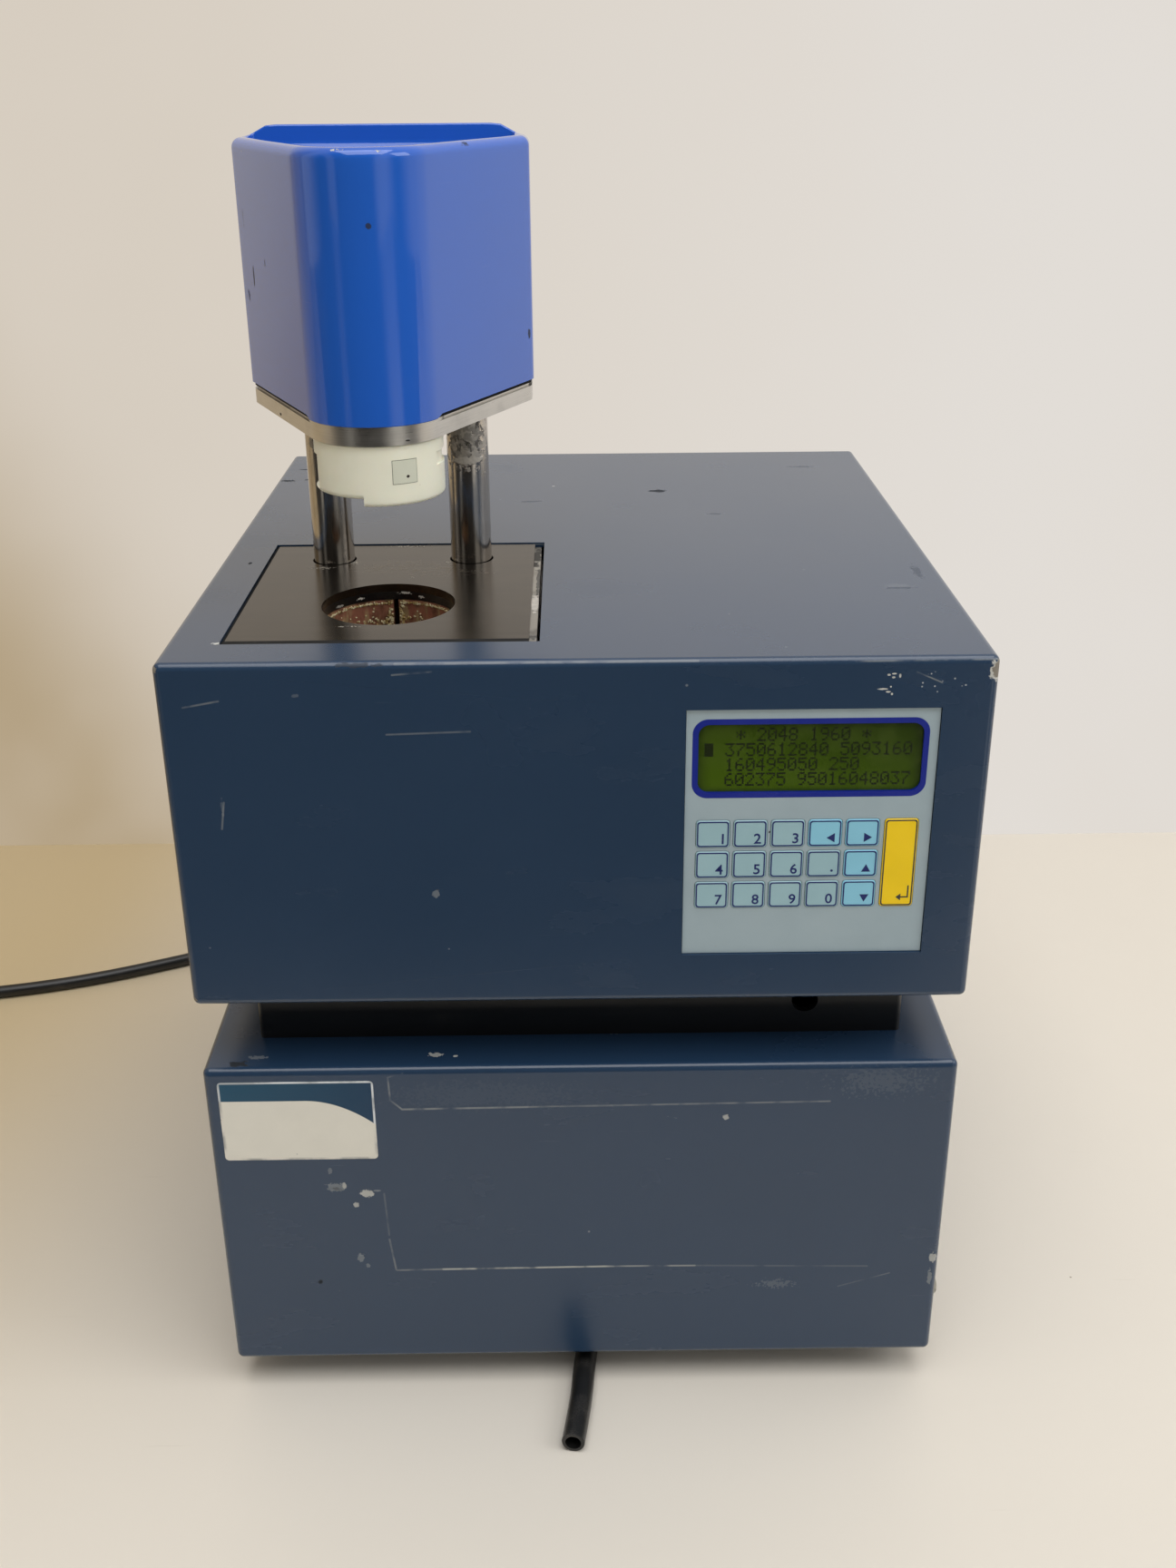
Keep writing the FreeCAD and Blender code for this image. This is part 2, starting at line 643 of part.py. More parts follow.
def lower_casing():
    """Casing with the duct opening in its top and the screw holes in its sides."""
    shell = casing("lower_casing", s.lower_height, lower_floor)
    reach = half_width - s.neck_inset - s.duct_margin
    under = s.lower_height - s.sheet - s.sheet / 2
    duct = Outline(shell, "XY", under).rounded_box(
        -reach,
        s.neck_front + s.duct_margin,
        reach,
        s.case_depth - s.neck_front - s.duct_margin,
        s.neck_corner,
    )
    pocket(shell, duct, s.sheet * 2)
    holes = Outline(shell, "YZ", -half_width - s.sheet)
    for y in (s.side_screw_back, s.case_depth - s.side_screw_back):
        holes.circle(y, s.side_screw_up, s.screw_shank + 2 * s.fit_gap)
    pocket(shell, holes, s.case_width + s.sheet * 2)


def rear_panel_plate(label, height, bottom):
    """Flat panel that closes the back of a casing."""
    plate = body(label, 0, front + s.case_depth - s.sheet, bottom)
    reach = inside - s.fit_gap
    low = s.sheet + s.fit_gap
    pad(plate, Outline(plate, "XZ").box(-reach, low, reach, height - low), s.sheet)
    holes = Outline(plate, "XZ", -s.sheet / 2)
    for x, z in panel_screw_places(height):
        holes.circle(x, z, s.screw_shank)
    pocket(plate, holes, s.sheet * 2)
    return plate


def vents(plate, side):
    """Cut a bank of vent slots at one side of a rear panel, as one slot and its pattern."""
    middle = side * s.vent_x
    slot = Outline(plate, "XZ", -s.sheet / 2).rounded_box(
        middle - s.vent_width / 2,
        s.vent_up,
        middle + s.vent_width / 2,
        s.vent_up + s.vent_height,
        s.vent_round,
    )
    cut = pocket(plate, slot, s.sheet * 2)
    bank = plate.newObject("PartDesign::LinearPattern", "LinearPattern")
    bank.Originals = [cut]
    bank.Direction = (slot.sketch, ["V_Axis"])
    bind(bank, Length=s.vent_pitch * (s.vent_count - 1), Occurrences=s.vent_count)
    plate.Tip = bank


def upper_rear_panel():
    """Rear panel with the water, serial and vent openings."""
    plate = rear_panel_plate("upper_rear_panel", s.upper_height, upper_floor)
    ports = Outline(plate, "XZ", -s.sheet / 2)
    for i in range(2):
        ports.circle(s.spigot_x + i * s.spigot_pitch, s.spigot_up, s.spigot_thread + 2 * s.fit_gap)
    pocket(plate, ports, s.sheet * 2)
    socket = Outline(plate, "XZ", -s.sheet / 2).box(
        s.serial_x - s.serial_shell_width / 2 - s.fit_gap,
        s.serial_up - s.serial_shell_height / 2 - s.fit_gap,
        s.serial_x + s.serial_shell_width / 2 + s.fit_gap,
        s.serial_up + s.serial_shell_height / 2 + s.fit_gap,
    )
    pocket(plate, socket, s.sheet * 2)
    vents(plate, 1)


def lower_rear_panel():
    """Rear panel with the power inlet and vent openings."""
    plate = rear_panel_plate("lower_rear_panel", s.lower_height, lower_floor)
    middle = s.inlet_up + s.switch_up / 2 - lower_floor
    inlet = Outline(plate, "XZ", -s.sheet / 2).box(
        s.inlet_x - s.inlet_body_width / 2 - s.fit_gap,
        middle - s.inlet_body_height / 2 - s.fit_gap,
        s.inlet_x + s.inlet_body_width / 2 + s.fit_gap,
        middle + s.inlet_body_height / 2 + s.fit_gap,
    )
    pocket(plate, inlet, s.sheet * 2)
    vents(plate, 1)


def upper_base_pan():
    """Floor of the upper casing, on its lip, with a window for the yoke and standoffs for the controller."""
    pan = body("upper_base_pan", 0, front, upper_floor + s.sheet)
    edge_x = inside - s.fit_gap
    sheet_outline = Outline(pan).box(
        -edge_x, s.sheet + s.fit_gap, edge_x, s.case_depth - 2 * s.sheet - s.fit_gap
    )
    pad(pan, sheet_outline, s.sheet)
    posts = Outline(pan)
    for x, y in controller_corners():
        posts.circle(x, y, s.standoff_diameter)
    pad(pan, posts, s.sheet + s.standoff_height)
    yoke_y = s.spindle_back + s.rod_back
    window = Outline(pan, "XY", -s.sheet / 2).box(
        axis_x - s.yoke_half - s.deck_gap,
        yoke_y - s.yoke_depth / 2 - s.deck_gap,
        axis_x + s.yoke_half + s.deck_gap,
        yoke_y + s.yoke_depth / 2 + s.deck_gap,
    )
    pocket(pan, window, s.sheet * 2)
    drain = Outline(pan, "XY", -s.sheet / 2).circle(axis_x, s.spindle_back, s.drain_bore)
    pocket(pan, drain, s.sheet * 2)


def controller_corners():
    """Places of the controller board's four standoffs."""
    margin = s.standoff_diameter
    reach_x = s.controller_width / 2 - margin
    reach_y = s.controller_depth / 2 - margin
    return [
        (s.controller_x + i * reach_x, s.controller_back + j * reach_y)
        for i in (-1, 1)
        for j in (-1, 1)
    ]


def neck_frame():
    """Recessed ring between the casings."""
    ring = body("neck_frame", 0, front, lower_top)
    out_x = half_width - s.neck_inset
    out_y = s.case_depth - s.neck_front
    outer = Outline(ring).rounded_box(-out_x, s.neck_front, out_x, out_y, s.neck_corner)
    pad(ring, outer, s.casing_gap + s.sheet)
    room = Outline(ring, "XY", -s.sheet).box(
        s.neck_wall - out_x, s.neck_front + s.neck_wall, out_x - s.neck_wall, out_y - s.neck_wall
    )
    pocket(ring, room, s.casing_gap + s.sheet * 3)
    hole = Outline(ring, "XZ", s.neck_front - s.neck_wall).circle(
        s.neck_hole_x, s.neck_hole_up, s.neck_hole
    )
    pocket(ring, hole, s.neck_wall * 3)


def base_plate():
    """Tray that closes the lower casing, screwed through its sides."""
    tray = body("base_plate", 0, front, lower_floor + s.sheet)
    reach = inside - s.fit_gap
    back = s.case_depth - 2 * s.sheet - s.fit_gap
    floor_outline = Outline(tray).box(-reach, s.sheet + s.fit_gap, reach, back)
    pad(tray, floor_outline, s.sheet)
    for side in (-1, 1):
        flange = Outline(tray).box(
            side * reach, s.sheet + s.fit_gap, side * (reach - s.sheet), back
        )
        pad(tray, flange, s.tray_flange)
    holes = Outline(tray, "YZ", -half_width)
    for y in (s.side_screw_back, s.case_depth - s.side_screw_back):
        holes.circle(y, s.side_screw_up - s.sheet, s.screw_shank)
    pocket(tray, holes, s.case_width)
    drain = Outline(tray, "XY", -s.sheet / 2).circle(
        s.drain_x, s.drain_back + s.elbow_length, s.elbow_body * 2 + 2 * s.fit_gap
    )
    pocket(tray, drain, s.sheet * 2)


def rubber_feet():
    """Four tapered feet under the base plate."""
    feet = []
    for x in (s.foot_inset_x - half_width, half_width - s.foot_inset_x):
        for y in (s.foot_inset_y, s.case_depth - s.foot_inset_y):
            foot = body("foot", x, front + y, 0, kept=False)
            tall = s.foot_height + s.sheet
            profile = Outline(foot, "XZ").polygon(
                [
                    (0, 0),
                    (s.foot_toe - s.bend_radius / 2, 0),
                    (s.foot_toe, s.bend_radius / 2),
                    (s.foot_radius, tall),
                    (0, tall),
                ]
            )
            revolve(foot, profile)
            feet.append(foot)
    group("rubber_feet", feet)


def pan_head_screw(x, y, z, axis):
    """Pan-head screw whose head sits on a sheet and points along an axis; 'XR' and 'XL' are the sides."""
    screw = body("screw", x, y, z, kept=False)
    crown = s.screw_head / 2
    profile = Outline(screw, "XZ").polygon(
        [
            (0, -s.screw_length),
            (s.screw_shank / 2 - s.bush_seat_gap, -s.screw_length),
            (s.screw_shank / 2 - s.bush_seat_gap, 0),
            (crown, 0),
            (crown, s.screw_brim),
            (crown - s.screw_brim, s.screw_shoulder),
            (s.screw_crown, s.screw_rise),
            (0, s.screw_rise),
        ]
    )
    revolve(screw, profile)
    slot = Outline(screw, "XY", s.screw_rise - s.screw_slot_depth).box(
        -s.screw_slot / 2, -s.screw_head, s.screw_slot / 2, s.screw_head
    )
    pocket(screw, slot, s.screw_rise)
    turns = {"back": (V(1, 0, 0), -90), "right": (V(0, 1, 0), 90), "left": (V(0, 1, 0), -90)}
    about, angle = turns[axis]
    turned = FreeCAD.Rotation(about, angle)
    screw.Placement = FreeCAD.Placement(screw.Placement.Base, turned)
    place(screw, x, y, z)
    return screw


def casing_screws():
    """Screws of the base plate and the rear panels; the left front side screw is missing."""
    screws = []
    up = lower_floor + s.side_screw_up
    near = front + s.side_screw_back
    far = front + s.case_depth - s.side_screw_back
    for x, y, axis in (
        (half_width, near, "right"),
        (half_width, far, "right"),
        (-half_width, far, "left"),
    ):
        screws.append(pan_head_screw(x, y, up, axis))
    back = front + s.case_depth
    for bottom, height in ((lower_floor, s.lower_height), (upper_floor, s.upper_height)):
        for x, z in panel_screw_places(height):
            screws.append(pan_head_screw(x, back, bottom + z, "back"))
    group("casing_screws", screws)


# Deck and guide column


def deck_plate():
    """Plate in the casing's top with the sample well and the rod holes."""
    plate = body("deck_plate", axis_x, axis_y, deck_level - s.deck_recess - s.deck_thickness)
    pad(
        plate,
        Outline(plate).box(-s.deck_left, -s.deck_front, s.deck_right, s.deck_rear),
        s.deck_thickness,
    )
    holes = Outline(plate, "XY", -s.sheet).circle(0, 0, s.well_diameter)
    for side in (-1, 1):
        holes.circle(side * s.rod_spacing / 2, s.rod_back, s.rod_diameter + 2 * s.rod_hole_gap)
    pocket(plate, holes, s.deck_thickness * 3)


def deck_frame():
    """Folded frame under the deck's front half; its right rail shows in the gap beside the deck."""
    top = deck_level - s.deck_recess - s.deck_thickness
    frame = body("deck_frame", axis_x, axis_y, top - s.rail_height)
    head_front = s.rod_back - s.head_half_depth
    t = s.rail_thickness
    left = -s.deck_left
    right = s.deck_right
    strip = [
        (left, head_front),
        (left, -s.deck_front),
        (right, -s.deck_front),
        (right, head_front),
        (right - t, head_front),
        (right - t, t - s.deck_front),
        (left + t, t - s.deck_front),
        (left + t, head_front),
    ]
    pad(frame, Outline(frame).polygon(strip), s.rail_height)
    rail = Outline(frame).box(right, -s.deck_front, right + t, s.deck_rear)
    pad(frame, rail, s.rail_height + s.deck_thickness - s.rail_drop)


def well_collar():
    """Insulating ring between the deck plate and the copper block."""
    top = deck_level - s.deck_recess - s.deck_thickness
    ring = body("well_collar", axis_x, axis_y, top - s.collar_height)
    outline = Outline(ring).circle(0, 0, s.collar_diameter).circle(0, 0, s.well_diameter)
    pad(ring, outline, s.collar_height)


def guide_column():
    """Portal casting that holds the bushes; the yoke runs between its legs."""
    top = deck_level - s.deck_recess - s.deck_thickness
    floor = upper_floor + 2 * s.sheet
    tall = top - floor
    column = body("guide_column", axis_x, rod_y - s.head_half_depth, floor)
    w = s.head_half
    leg = s.column_leg
    foot = s.column_foot
    thick = s.column_foot_height
    portal = [
        (-w - foot, 0),
        (leg - w, 0),
        (leg - w, tall - s.head_height),
        (w - leg, tall - s.head_height),
        (w - leg, 0),
        (w + foot, 0),
        (w + foot, thick),
        (w, thick),
        (w, tall),
        (-w, tall),
        (-w, thick),
        (-w - foot, thick),
    ]
    pad(column, Outline(column, "XZ").polygon(portal), s.head_half_depth * 2)

    def inner_corner(edge):
        return spans(edge, 1) and lies(edge, 2, tall - s.head_height)

    soften(column, s.column_foot_height, inner_corner)
    bores = Outline(column, "XY", tall - s.head_height - s.sheet)
    for side in (-1, 1):
        bores.circle(side * s.rod_spacing / 2, s.head_half_depth, s.bush_diameter)
    pocket(column, bores, s.head_height + s.sheet * 2)
    window = s.spring_window / 2
    opening = Outline(column, "XY", tall - s.head_height - s.sheet).box(
        -window, s.head_half_depth - window, window, s.head_half_depth + window
    )
    pocket(column, opening, s.head_height + s.sheet * 2)
    pin = Outline(column, "YZ", -window - s.sheet).circle(
        s.head_half_depth, tall - s.spring_pin_drop, s.spring_pin
    )
    pad(column, pin, s.spring_window + s.sheet * 2)


def guide_bushes():
    """Two bushes for each rod, at the top and the bottom of the bearing head."""
    top = deck_level - s.deck_recess - s.deck_thickness
    bushes = []
    for side in (-1, 1):
        for z in (top - s.bush_length, top - s.head_height):
            bush = body("bush", axis_x + side * s.rod_spacing / 2, rod_y, z, kept=False)
            outline = Outline(bush).circle(0, 0, s.bush_diameter - 2 * s.bush_seat_gap)
            outline.circle(0, 0, s.rod_diameter + 2 * s.rod_run_gap)
            pad(bush, outline, s.bush_length)
            bushes.append(bush)
    group("guide_bushes", bushes)


# Heating block


def block_half(label, side):
    """Half of the split copper block: mouth, can bore, heater holes and tongue groove."""
    half = body(label, axis_x, axis_y, deck_level - s.block_bottom)
    top = s.block_bottom - s.deck_recess - s.deck_thickness - s.collar_height - s.block_clear
    blank = Outline(half).box(
        side * s.block_gap / 2, -s.block_half_y, side * s.block_half_x, s.block_half_y
    )
    pad(half, blank, top)

    def outer_edge(edge):
        return spans(edge, 2) and lies(edge, 0, side * s.block_half_x)

    soften(half, s.bend_radius, outer_edge, "Chamfer")
    pocket(half, Outline(half, "XY", -s.sheet).circle(0, 0, s.can_bore), s.block_bottom)
    mouth = Outline(half, "XY", s.block_bottom - s.mouth_depth).circle(0, 0, s.mouth_diameter)
    pocket(half, mouth, s.mouth_depth)
    heaters = Outline(half, "XY", top - s.heater_length)
    for y in (-s.heater_y, s.heater_y):
        heaters.circle(side * s.heater_x, y, s.heater_diameter + 2 * s.heater_gap)
    pocket(half, heaters, s.heater_length + s.sheet)
    groove = Outline(half, "XY", -s.sheet).box(
        0,
        -s.tongue_half - s.tongue_gap,
        side * (s.block_half_x + s.sheet),
        s.tongue_half + s.tongue_gap,
    )
    pocket(half, groove, s.tongue_height + s.tongue_gap + s.sheet)


def heaters(label, side):
    """Two cartridge heaters in one half of the block."""
    top = deck_level - s.deck_recess - s.deck_thickness - s.collar_height - s.block_clear
    rods = []
    for y in (-s.heater_y, s.heater_y):
        rod = body("heater", axis_x + side * s.heater_x, axis_y + y, top - s.heater_length, kept=False)
        pad(rod, Outline(rod).circle(0, 0, s.heater_diameter), s.heater_length - s.fit_gap)
        top_edge = s.heater_length - s.fit_gap
        soften(rod, s.heater_chamfer, lambda edge: lies(edge, 2, top_edge), "Chamfer")
        rods.append(rod)
    group(label, rods)


def block_base():
    """Insulating pedestal under the copper block, with its tongue and the drain."""
    floor = upper_floor + 2 * s.sheet
    tall = deck_level - s.block_bottom - floor
    base = body("block_base", axis_x, axis_y, floor)
    outer = Outline(base).rounded_box(
        -s.base_half_x, -s.base_half_y, s.base_half_x, s.base_half_y, s.bend_radius * 2
    )
    pad(base, outer, tall)
    hollow = Outline(base, "XY", -s.sheet).box(
        s.base_wall - s.base_half_x,
        s.base_wall - s.base_half_y,
        s.base_half_x - s.base_wall,
        s.base_half_y - s.base_wall,
    )
    pocket(base, hollow, tall - s.base_top + s.sheet)
    tongue = Outline(base, "XY", tall - s.sheet).box(
        -s.block_half_x, -s.tongue_half, s.block_half_x, s.tongue_half
    )
    pad(base, tongue, s.sheet + s.tongue_height)
    drain = Outline(base, "XY", tall - s.base_top - s.sheet).circle(0, 0, s.drain_bore)
    pocket(base, drain, s.base_top + s.tongue_height + s.sheet * 2)


# Moving head


def head_outline(owner, at, grow):
    """Plan of the head: round front about the spindle, sides flaring to round corners, straight back."""
    outline = Outline(owner, "XY", at)
    sketch = outline.sketch
    r = (s.nose_arc + grow).value
    side = (s.head_side + grow).value
    back = (s.head_back + grow).value
    corner = (s.head_corner + grow).value
    flare = math.radians(s.head_flare.value)
    up = V(0, 0, 1)
    along = V(math.sin(flare), math.cos(flare), 0)
    across = V(math.cos(flare), -math.sin(flare), 0)
    leave = across * r
    knee_centre = V(side - corner, 0, 0)
    reach = knee_centre.x + (across * corner).x
    knee_start = leave + along * ((reach - leave.x) / along.x)
    knee_centre.y = knee_start.y - (across * corner).y

    def flip(point):
        return V(-point.x, point.y, 0)

    def arc(centre, radius, start, end):
        return Part.ArcOfCircle(Part.Circle(centre, up, radius), start, end)

    back_centre = V(side - corner, back - corner, 0)
    right = math.pi / 2
    pieces = [
        arc(V(0, 0, 0), r, -math.pi + flare, -flare),
        Part.LineSegment(leave, knee_start),
        arc(knee_centre, corner, -flare, 0),
        Part.LineSegment(V(side, knee_centre.y, 0), V(side, back_centre.y, 0)),
        arc(back_centre, corner, 0, right),
        Part.LineSegment(V(back_centre.x, back, 0), V(-back_centre.x, back, 0)),
        arc(flip(back_centre), corner, right, math.pi),
        Part.LineSegment(V(-side, back_centre.y, 0), V(-side, knee_centre.y, 0)),
        arc(flip(knee_centre), corner, math.pi, math.pi + flare),
        Part.LineSegment(flip(knee_start), flip(leave)),
    ]
    sketch.addGeometry(pieces)
    for i in range(len(pieces)):
        outline.fix("Tangent", i, 2, (i + 1) % len(pieces), 1)
    outline.at(0, 3, 0, 0)
    outline.tie("Radius", 0, to=s.nose_arc + grow)
    outline.tie("Radius", 2, to=s.head_corner + grow)
    for i in (4, 6, 8):
        outline.fix("Equal", 2, i)
    outline.fix("Vertical", 3)
    outline.fix("Vertical", 7)
    outline.fix("Horizontal", 5)
    outline.tie("Angle", 1, to=90 - s.head_flare)
    outline.tie("Angle", 9, to=s.head_flare - 90)
    outline.tie("DistanceX", 3, 1, to=s.head_side + grow)
    outline.tie("DistanceX", 7, 1, to=-s.head_side - grow)
    outline.tie("DistanceY", 5, 1, to=s.head_back + grow)
    return outline.hold()


def head_plate():
    """Plate that joins the rods, carries the drive and has a land for the cover."""
    plate = body("head_plate", axis_x, axis_y, plate_level)
    pad(plate, head_outline(plate, 0, size(0)), s.plate_thickness)
    land = head_outline(plate, s.plate_thickness - s.sheet, -s.land_inset)
    pad(plate, land, s.sheet + s.land_height)
    nose = Outline(plate, "XY", s.plate_thickness - s.sheet).circle(0, 0, s.nose_arc * 2)
    pad(plate, nose, s.sheet + s.land_height)
    holes = Outline(plate, "XY", -s.sheet).circle(0, 0, s.bearing_outside)
    for side in (-1, 1):
        holes.circle(side * s.rod_spacing / 2, s.rod_back, s.rod_diameter + 2 * s.rod_seat_gap)
    pocket(plate, holes, s.plate_thickness * 3)


def head_cover():
    """Painted cover: straight walls, rounded rim, dished roof and a raised back edge."""
    cover = body("head_cover", axis_x, axis_y, land_level)
    pad(cover, head_outline(cover, 0, s.cover_over), s.cover_height)
    rim = s.cover_height
    soften(cover, s.cover_edge, lambda edge: lies(edge, 2, rim))
    back = s.head_back + s.cover_over
    side = s.head_side - s.head_corner
    peak = rim + s.crest_height
    ridge = Outline(cover, "YZ", -side).rounded_box(
        back - s.dish_inset, rim - s.cover_edge * 2, back, peak, s.crest_round
    )
    pad(cover, ridge, side * 2)
    shoulders = Outline(cover, "XZ", back - s.dish_inset - s.sheet)
    for i in (-1, 1):
        shoulders.polygon(
            [
                (i * s.crest_half, peak),
                (i * side, rim),
                (i * (side + s.sheet), rim),
                (i * (side + s.sheet), peak + s.sheet),
                (i * s.crest_half, peak + s.sheet),
            ]
        )
    pocket(cover, shoulders, s.dish_inset + s.sheet * 2)
    room = head_outline(cover, -s.sheet, s.cover_over - s.cover_wall)
    pocket(cover, room, s.cover_height - s.cover_roof + s.sheet)
    dish = head_outline(cover, rim - s.dish_depth, s.cover_over - s.dish_inset)
    pocket(cover, dish, s.dish_depth + s.sheet + s.crest_height)
    soften(cover, s.dish_round, lambda edge: lies(edge, 2, rim - s.dish_depth))


def nose_ring():
    """Moulded ring round the paddle socket; its left front is cut shorter."""
    ring = body("nose_ring", axis_x, axis_y, plate_level - s.ring_height)
    wide = s.ring_diameter / 2
    neck = s.ring_neck / 2
    tall = s.ring_height
    bore = s.ring_bore / 2
    hole = s.ring_web_bore / 2
    profile = Outline(ring, "XZ").polygon(
        [
            (bore, 0),
            (wide - s.ring_edge, 0),
            (wide, s.ring_edge),
            (wide, tall - s.ring_groove),
            (neck, tall - s.ring_groove),
            (neck, tall - s.ring_flange),
            (wide, tall - s.ring_flange),
            (wide, tall),
            (hole, tall),
            (hole, tall - s.ring_web),
            (bore, tall - s.ring_web),
        ]
    )
    revolve(ring, profile)
    reach = s.ring_diameter
    shorter = Outline(ring, "XY", -s.sheet).polygon([(0, 0), (-reach, reach), (-reach, -reach), (-neck / 3, -reach)])
    pocket(ring, shorter, s.ring_step + s.sheet)


def spindle_bearing():
    """Bearing of the drive shaft in the head plate."""
    ring = body("spindle_bearing", axis_x, axis_y, land_level - s.bearing_height)
    outline = Outline(ring).circle(0, 0, s.bearing_outside - 2 * s.bush_seat_gap)
    outline.circle(0, 0, s.shaft_diameter + 2 * s.bearing_run_gap)
    pad(ring, outline, s.bearing_height)


def drive_spindle():
    """Shaft with the paddle socket at its lower end."""
    low = plate_level - s.ring_height + s.socket_rise
    spindle = body("drive_spindle", axis_x, axis_y, low)
    tall = land_level + s.shaft_in_motor - low
    profile = Outline(spindle, "XZ").polygon(
        [
            (s.socket_bore / 2, 0),
            (s.socket_diameter / 2, 0),
            (s.socket_diameter / 2, s.socket_length),
            (s.shaft_diameter / 2, s.socket_length),
            (s.shaft_diameter / 2, tall),
            (0, tall),
            (0, s.socket_depth),
            (s.socket_bore / 2, s.socket_depth),
        ]
    )
    revolve(spindle, profile)
    slot = Outline(spindle, "XY", -s.sheet).box(
        -s.socket_diameter, -s.socket_slot / 2, s.socket_diameter, s.socket_slot / 2
    )
    pocket(spindle, slot, s.socket_slot_depth + s.sheet)


def motor_housing():
    """Drive motor on the head plate."""
    motor = body("motor_housing", axis_x, axis_y, land_level)
    pad(motor, Outline(motor).circle(0, 0, s.motor_flange), s.motor_flange_height)
    pad(motor, Outline(motor).circle(0, 0, s.motor_diameter), s.motor_height)
    soften(motor, s.bend_radius, lambda edge: lies(edge, 2, s.motor_height), "Chamfer")
    bore = s.shaft_diameter + 2 * s.motor_shaft_gap
    hole = Outline(motor, "XY", -s.sheet).circle(0, 0, bore)
    pocket(motor, hole, s.sheet + s.shaft_in_motor + s.motor_shaft_gap)


def guide_rods():
    """Two ground rods from the yoke to the head plate."""
    low = yoke_bottom()
    rods = []
    for side in (-1, 1):
        rod = body("rod", axis_x + side * s.rod_spacing / 2, rod_y, low, kept=False)
        long = land_level - low
        pad(rod, Outline(rod).circle(0, 0, s.rod_diameter), long)
        soften(rod, s.rod_chamfer, lambda edge: lies(edge, 2, 0), "Chamfer")
        rods.append(rod)
    group("guide_rods", rods)


def yoke_bottom():
    """Level of the yoke's underside at rest."""
    top = deck_level - s.deck_recess - s.deck_thickness
    return top - s.head_height - s.yoke_drop - s.yoke_height


def rod_yoke():
    """Bar that joins the lower ends of the rods, with the lug of the return spring."""
    yoke = body("rod_yoke", axis_x, rod_y, yoke_bottom())
    depth = s.yoke_depth / 2
    bar = Outline(yoke).rounded_box(-s.yoke_half, -depth, s.yoke_half, depth, s.bend_radius)
    pad(yoke, bar, s.yoke_height)
    holes = Outline(yoke, "XY", -s.sheet)
    for side in (-1, 1):
        holes.circle(side * s.rod_spacing / 2, 0, s.rod_diameter + 2 * s.rod_seat_gap)
    pocket(yoke, holes, s.yoke_height + s.sheet * 2)
    lug = Outline(yoke, "XY", s.yoke_height / 2).circle(0, 0, s.spring_coil - 2 * s.spring_wire)
    pad(yoke, lug, s.yoke_height / 2 + s.yoke_drop)


def return_spring():
    """Extension spring from the pin in the column to the yoke."""
    top = deck_level - s.deck_recess - s.deck_thickness - s.spring_pin_drop - s.spring_pin / 2
    bottom = yoke_bottom() + s.yoke_height
    spring = body("return_spring", axis_x, rod_y, bottom)
    x = s.spring_coil / 2
    z = s.spring_wire / 2 + s.fit_gap
    side = s.spring_wire / 2
    wire = Outline(spring, "XZ").polygon(
        [
            (x + side, z),
            (x + side / 2, z + side),
            (x - side / 2, z + side),
            (x - side, z),
            (x - side / 2, z - side),
            (x + side / 2, z - side),
        ]
    )
    tall = top - bottom - s.spring_wire - 2 * s.fit_gap
    coil = spring.newObject("PartDesign::AdditiveHelix", "AdditiveHelix")
    coil.Profile = wire.sketch
    coil.ReferenceAxis = (wire.sketch, ["V_Axis"])
    coil.Mode = "height-turns-angle"
    bind(coil, Height=tall, Turns=s.spring_turns)
    spring.Tip = coil


# Operating panel

panel_top = deck_level - s.panel_down


def panel_frame_outline(owner, grow, at=0):
    """Outline of the panel opening, grown or shrunk, on a body whose origin is its top left corner."""
    return Outline(owner, "XZ", at).box(
        -grow, -s.panel_height - grow, s.panel_width + grow, grow
    )


def key_places():
    """Left edge, top edge and height of each key, by name."""
    rows = (
        ("1", "2", "3", "left", "right"),
        ("4", "5", "6", "dot", "up"),
        ("7", "8", "9", "0", "down"),
    )
    keys = {}
    for i, names in enumerate(rows):
        for j, name in enumerate(names):
            x = s.key_x + j * s.key_pitch_x
            down = s.key_down + i * s.key_pitch_z
            keys[f"key_{name}"] = (x, down, s.key_height)
    keys["key_enter"] = (s.enter_x, s.key_down, s.enter_height)
    return keys


def panel_overlay():
    """Front sheet of the panel with the window and an opening for each key."""
    overlay = body("panel_overlay", s.panel_left, front + s.panel_recess, panel_top)
    pad(overlay, panel_frame_outline(overlay, -s.overlay_gap), s.overlay_thickness)
    openings = Outline(overlay, "XZ", -s.overlay_thickness)
    openings.rounded_box(
        s.window_x,
        -s.window_down - s.window_height,
        s.window_x + s.window_width,
        -s.window_down,
        s.key_corner,
    )
    for x, down, tall in key_places().values():
        openings.rounded_box(
            x - s.key_gap,
            -down - tall - s.key_gap,
            x + s.key_width + s.key_gap,
            -down + s.key_gap,
            s.key_corner + s.key_gap,
        )
    pocket(overlay, openings, s.overlay_thickness * 3)


def panel_keys():
    """Embossed keys, each in its own opening."""
    for name, (x, down, tall) in key_places().items():
        key = body(name, s.panel_left + x, front + s.panel_recess - s.key_proud, panel_top - down)
        outline = Outline(key, "XZ").rounded_box(0, -tall, s.key_width, 0, s.key_corner)
        pad(key, outline, s.key_thickness)
        soften(key, s.key_bevel, lambda edge: lies(edge, 1, 0), "Chamfer")


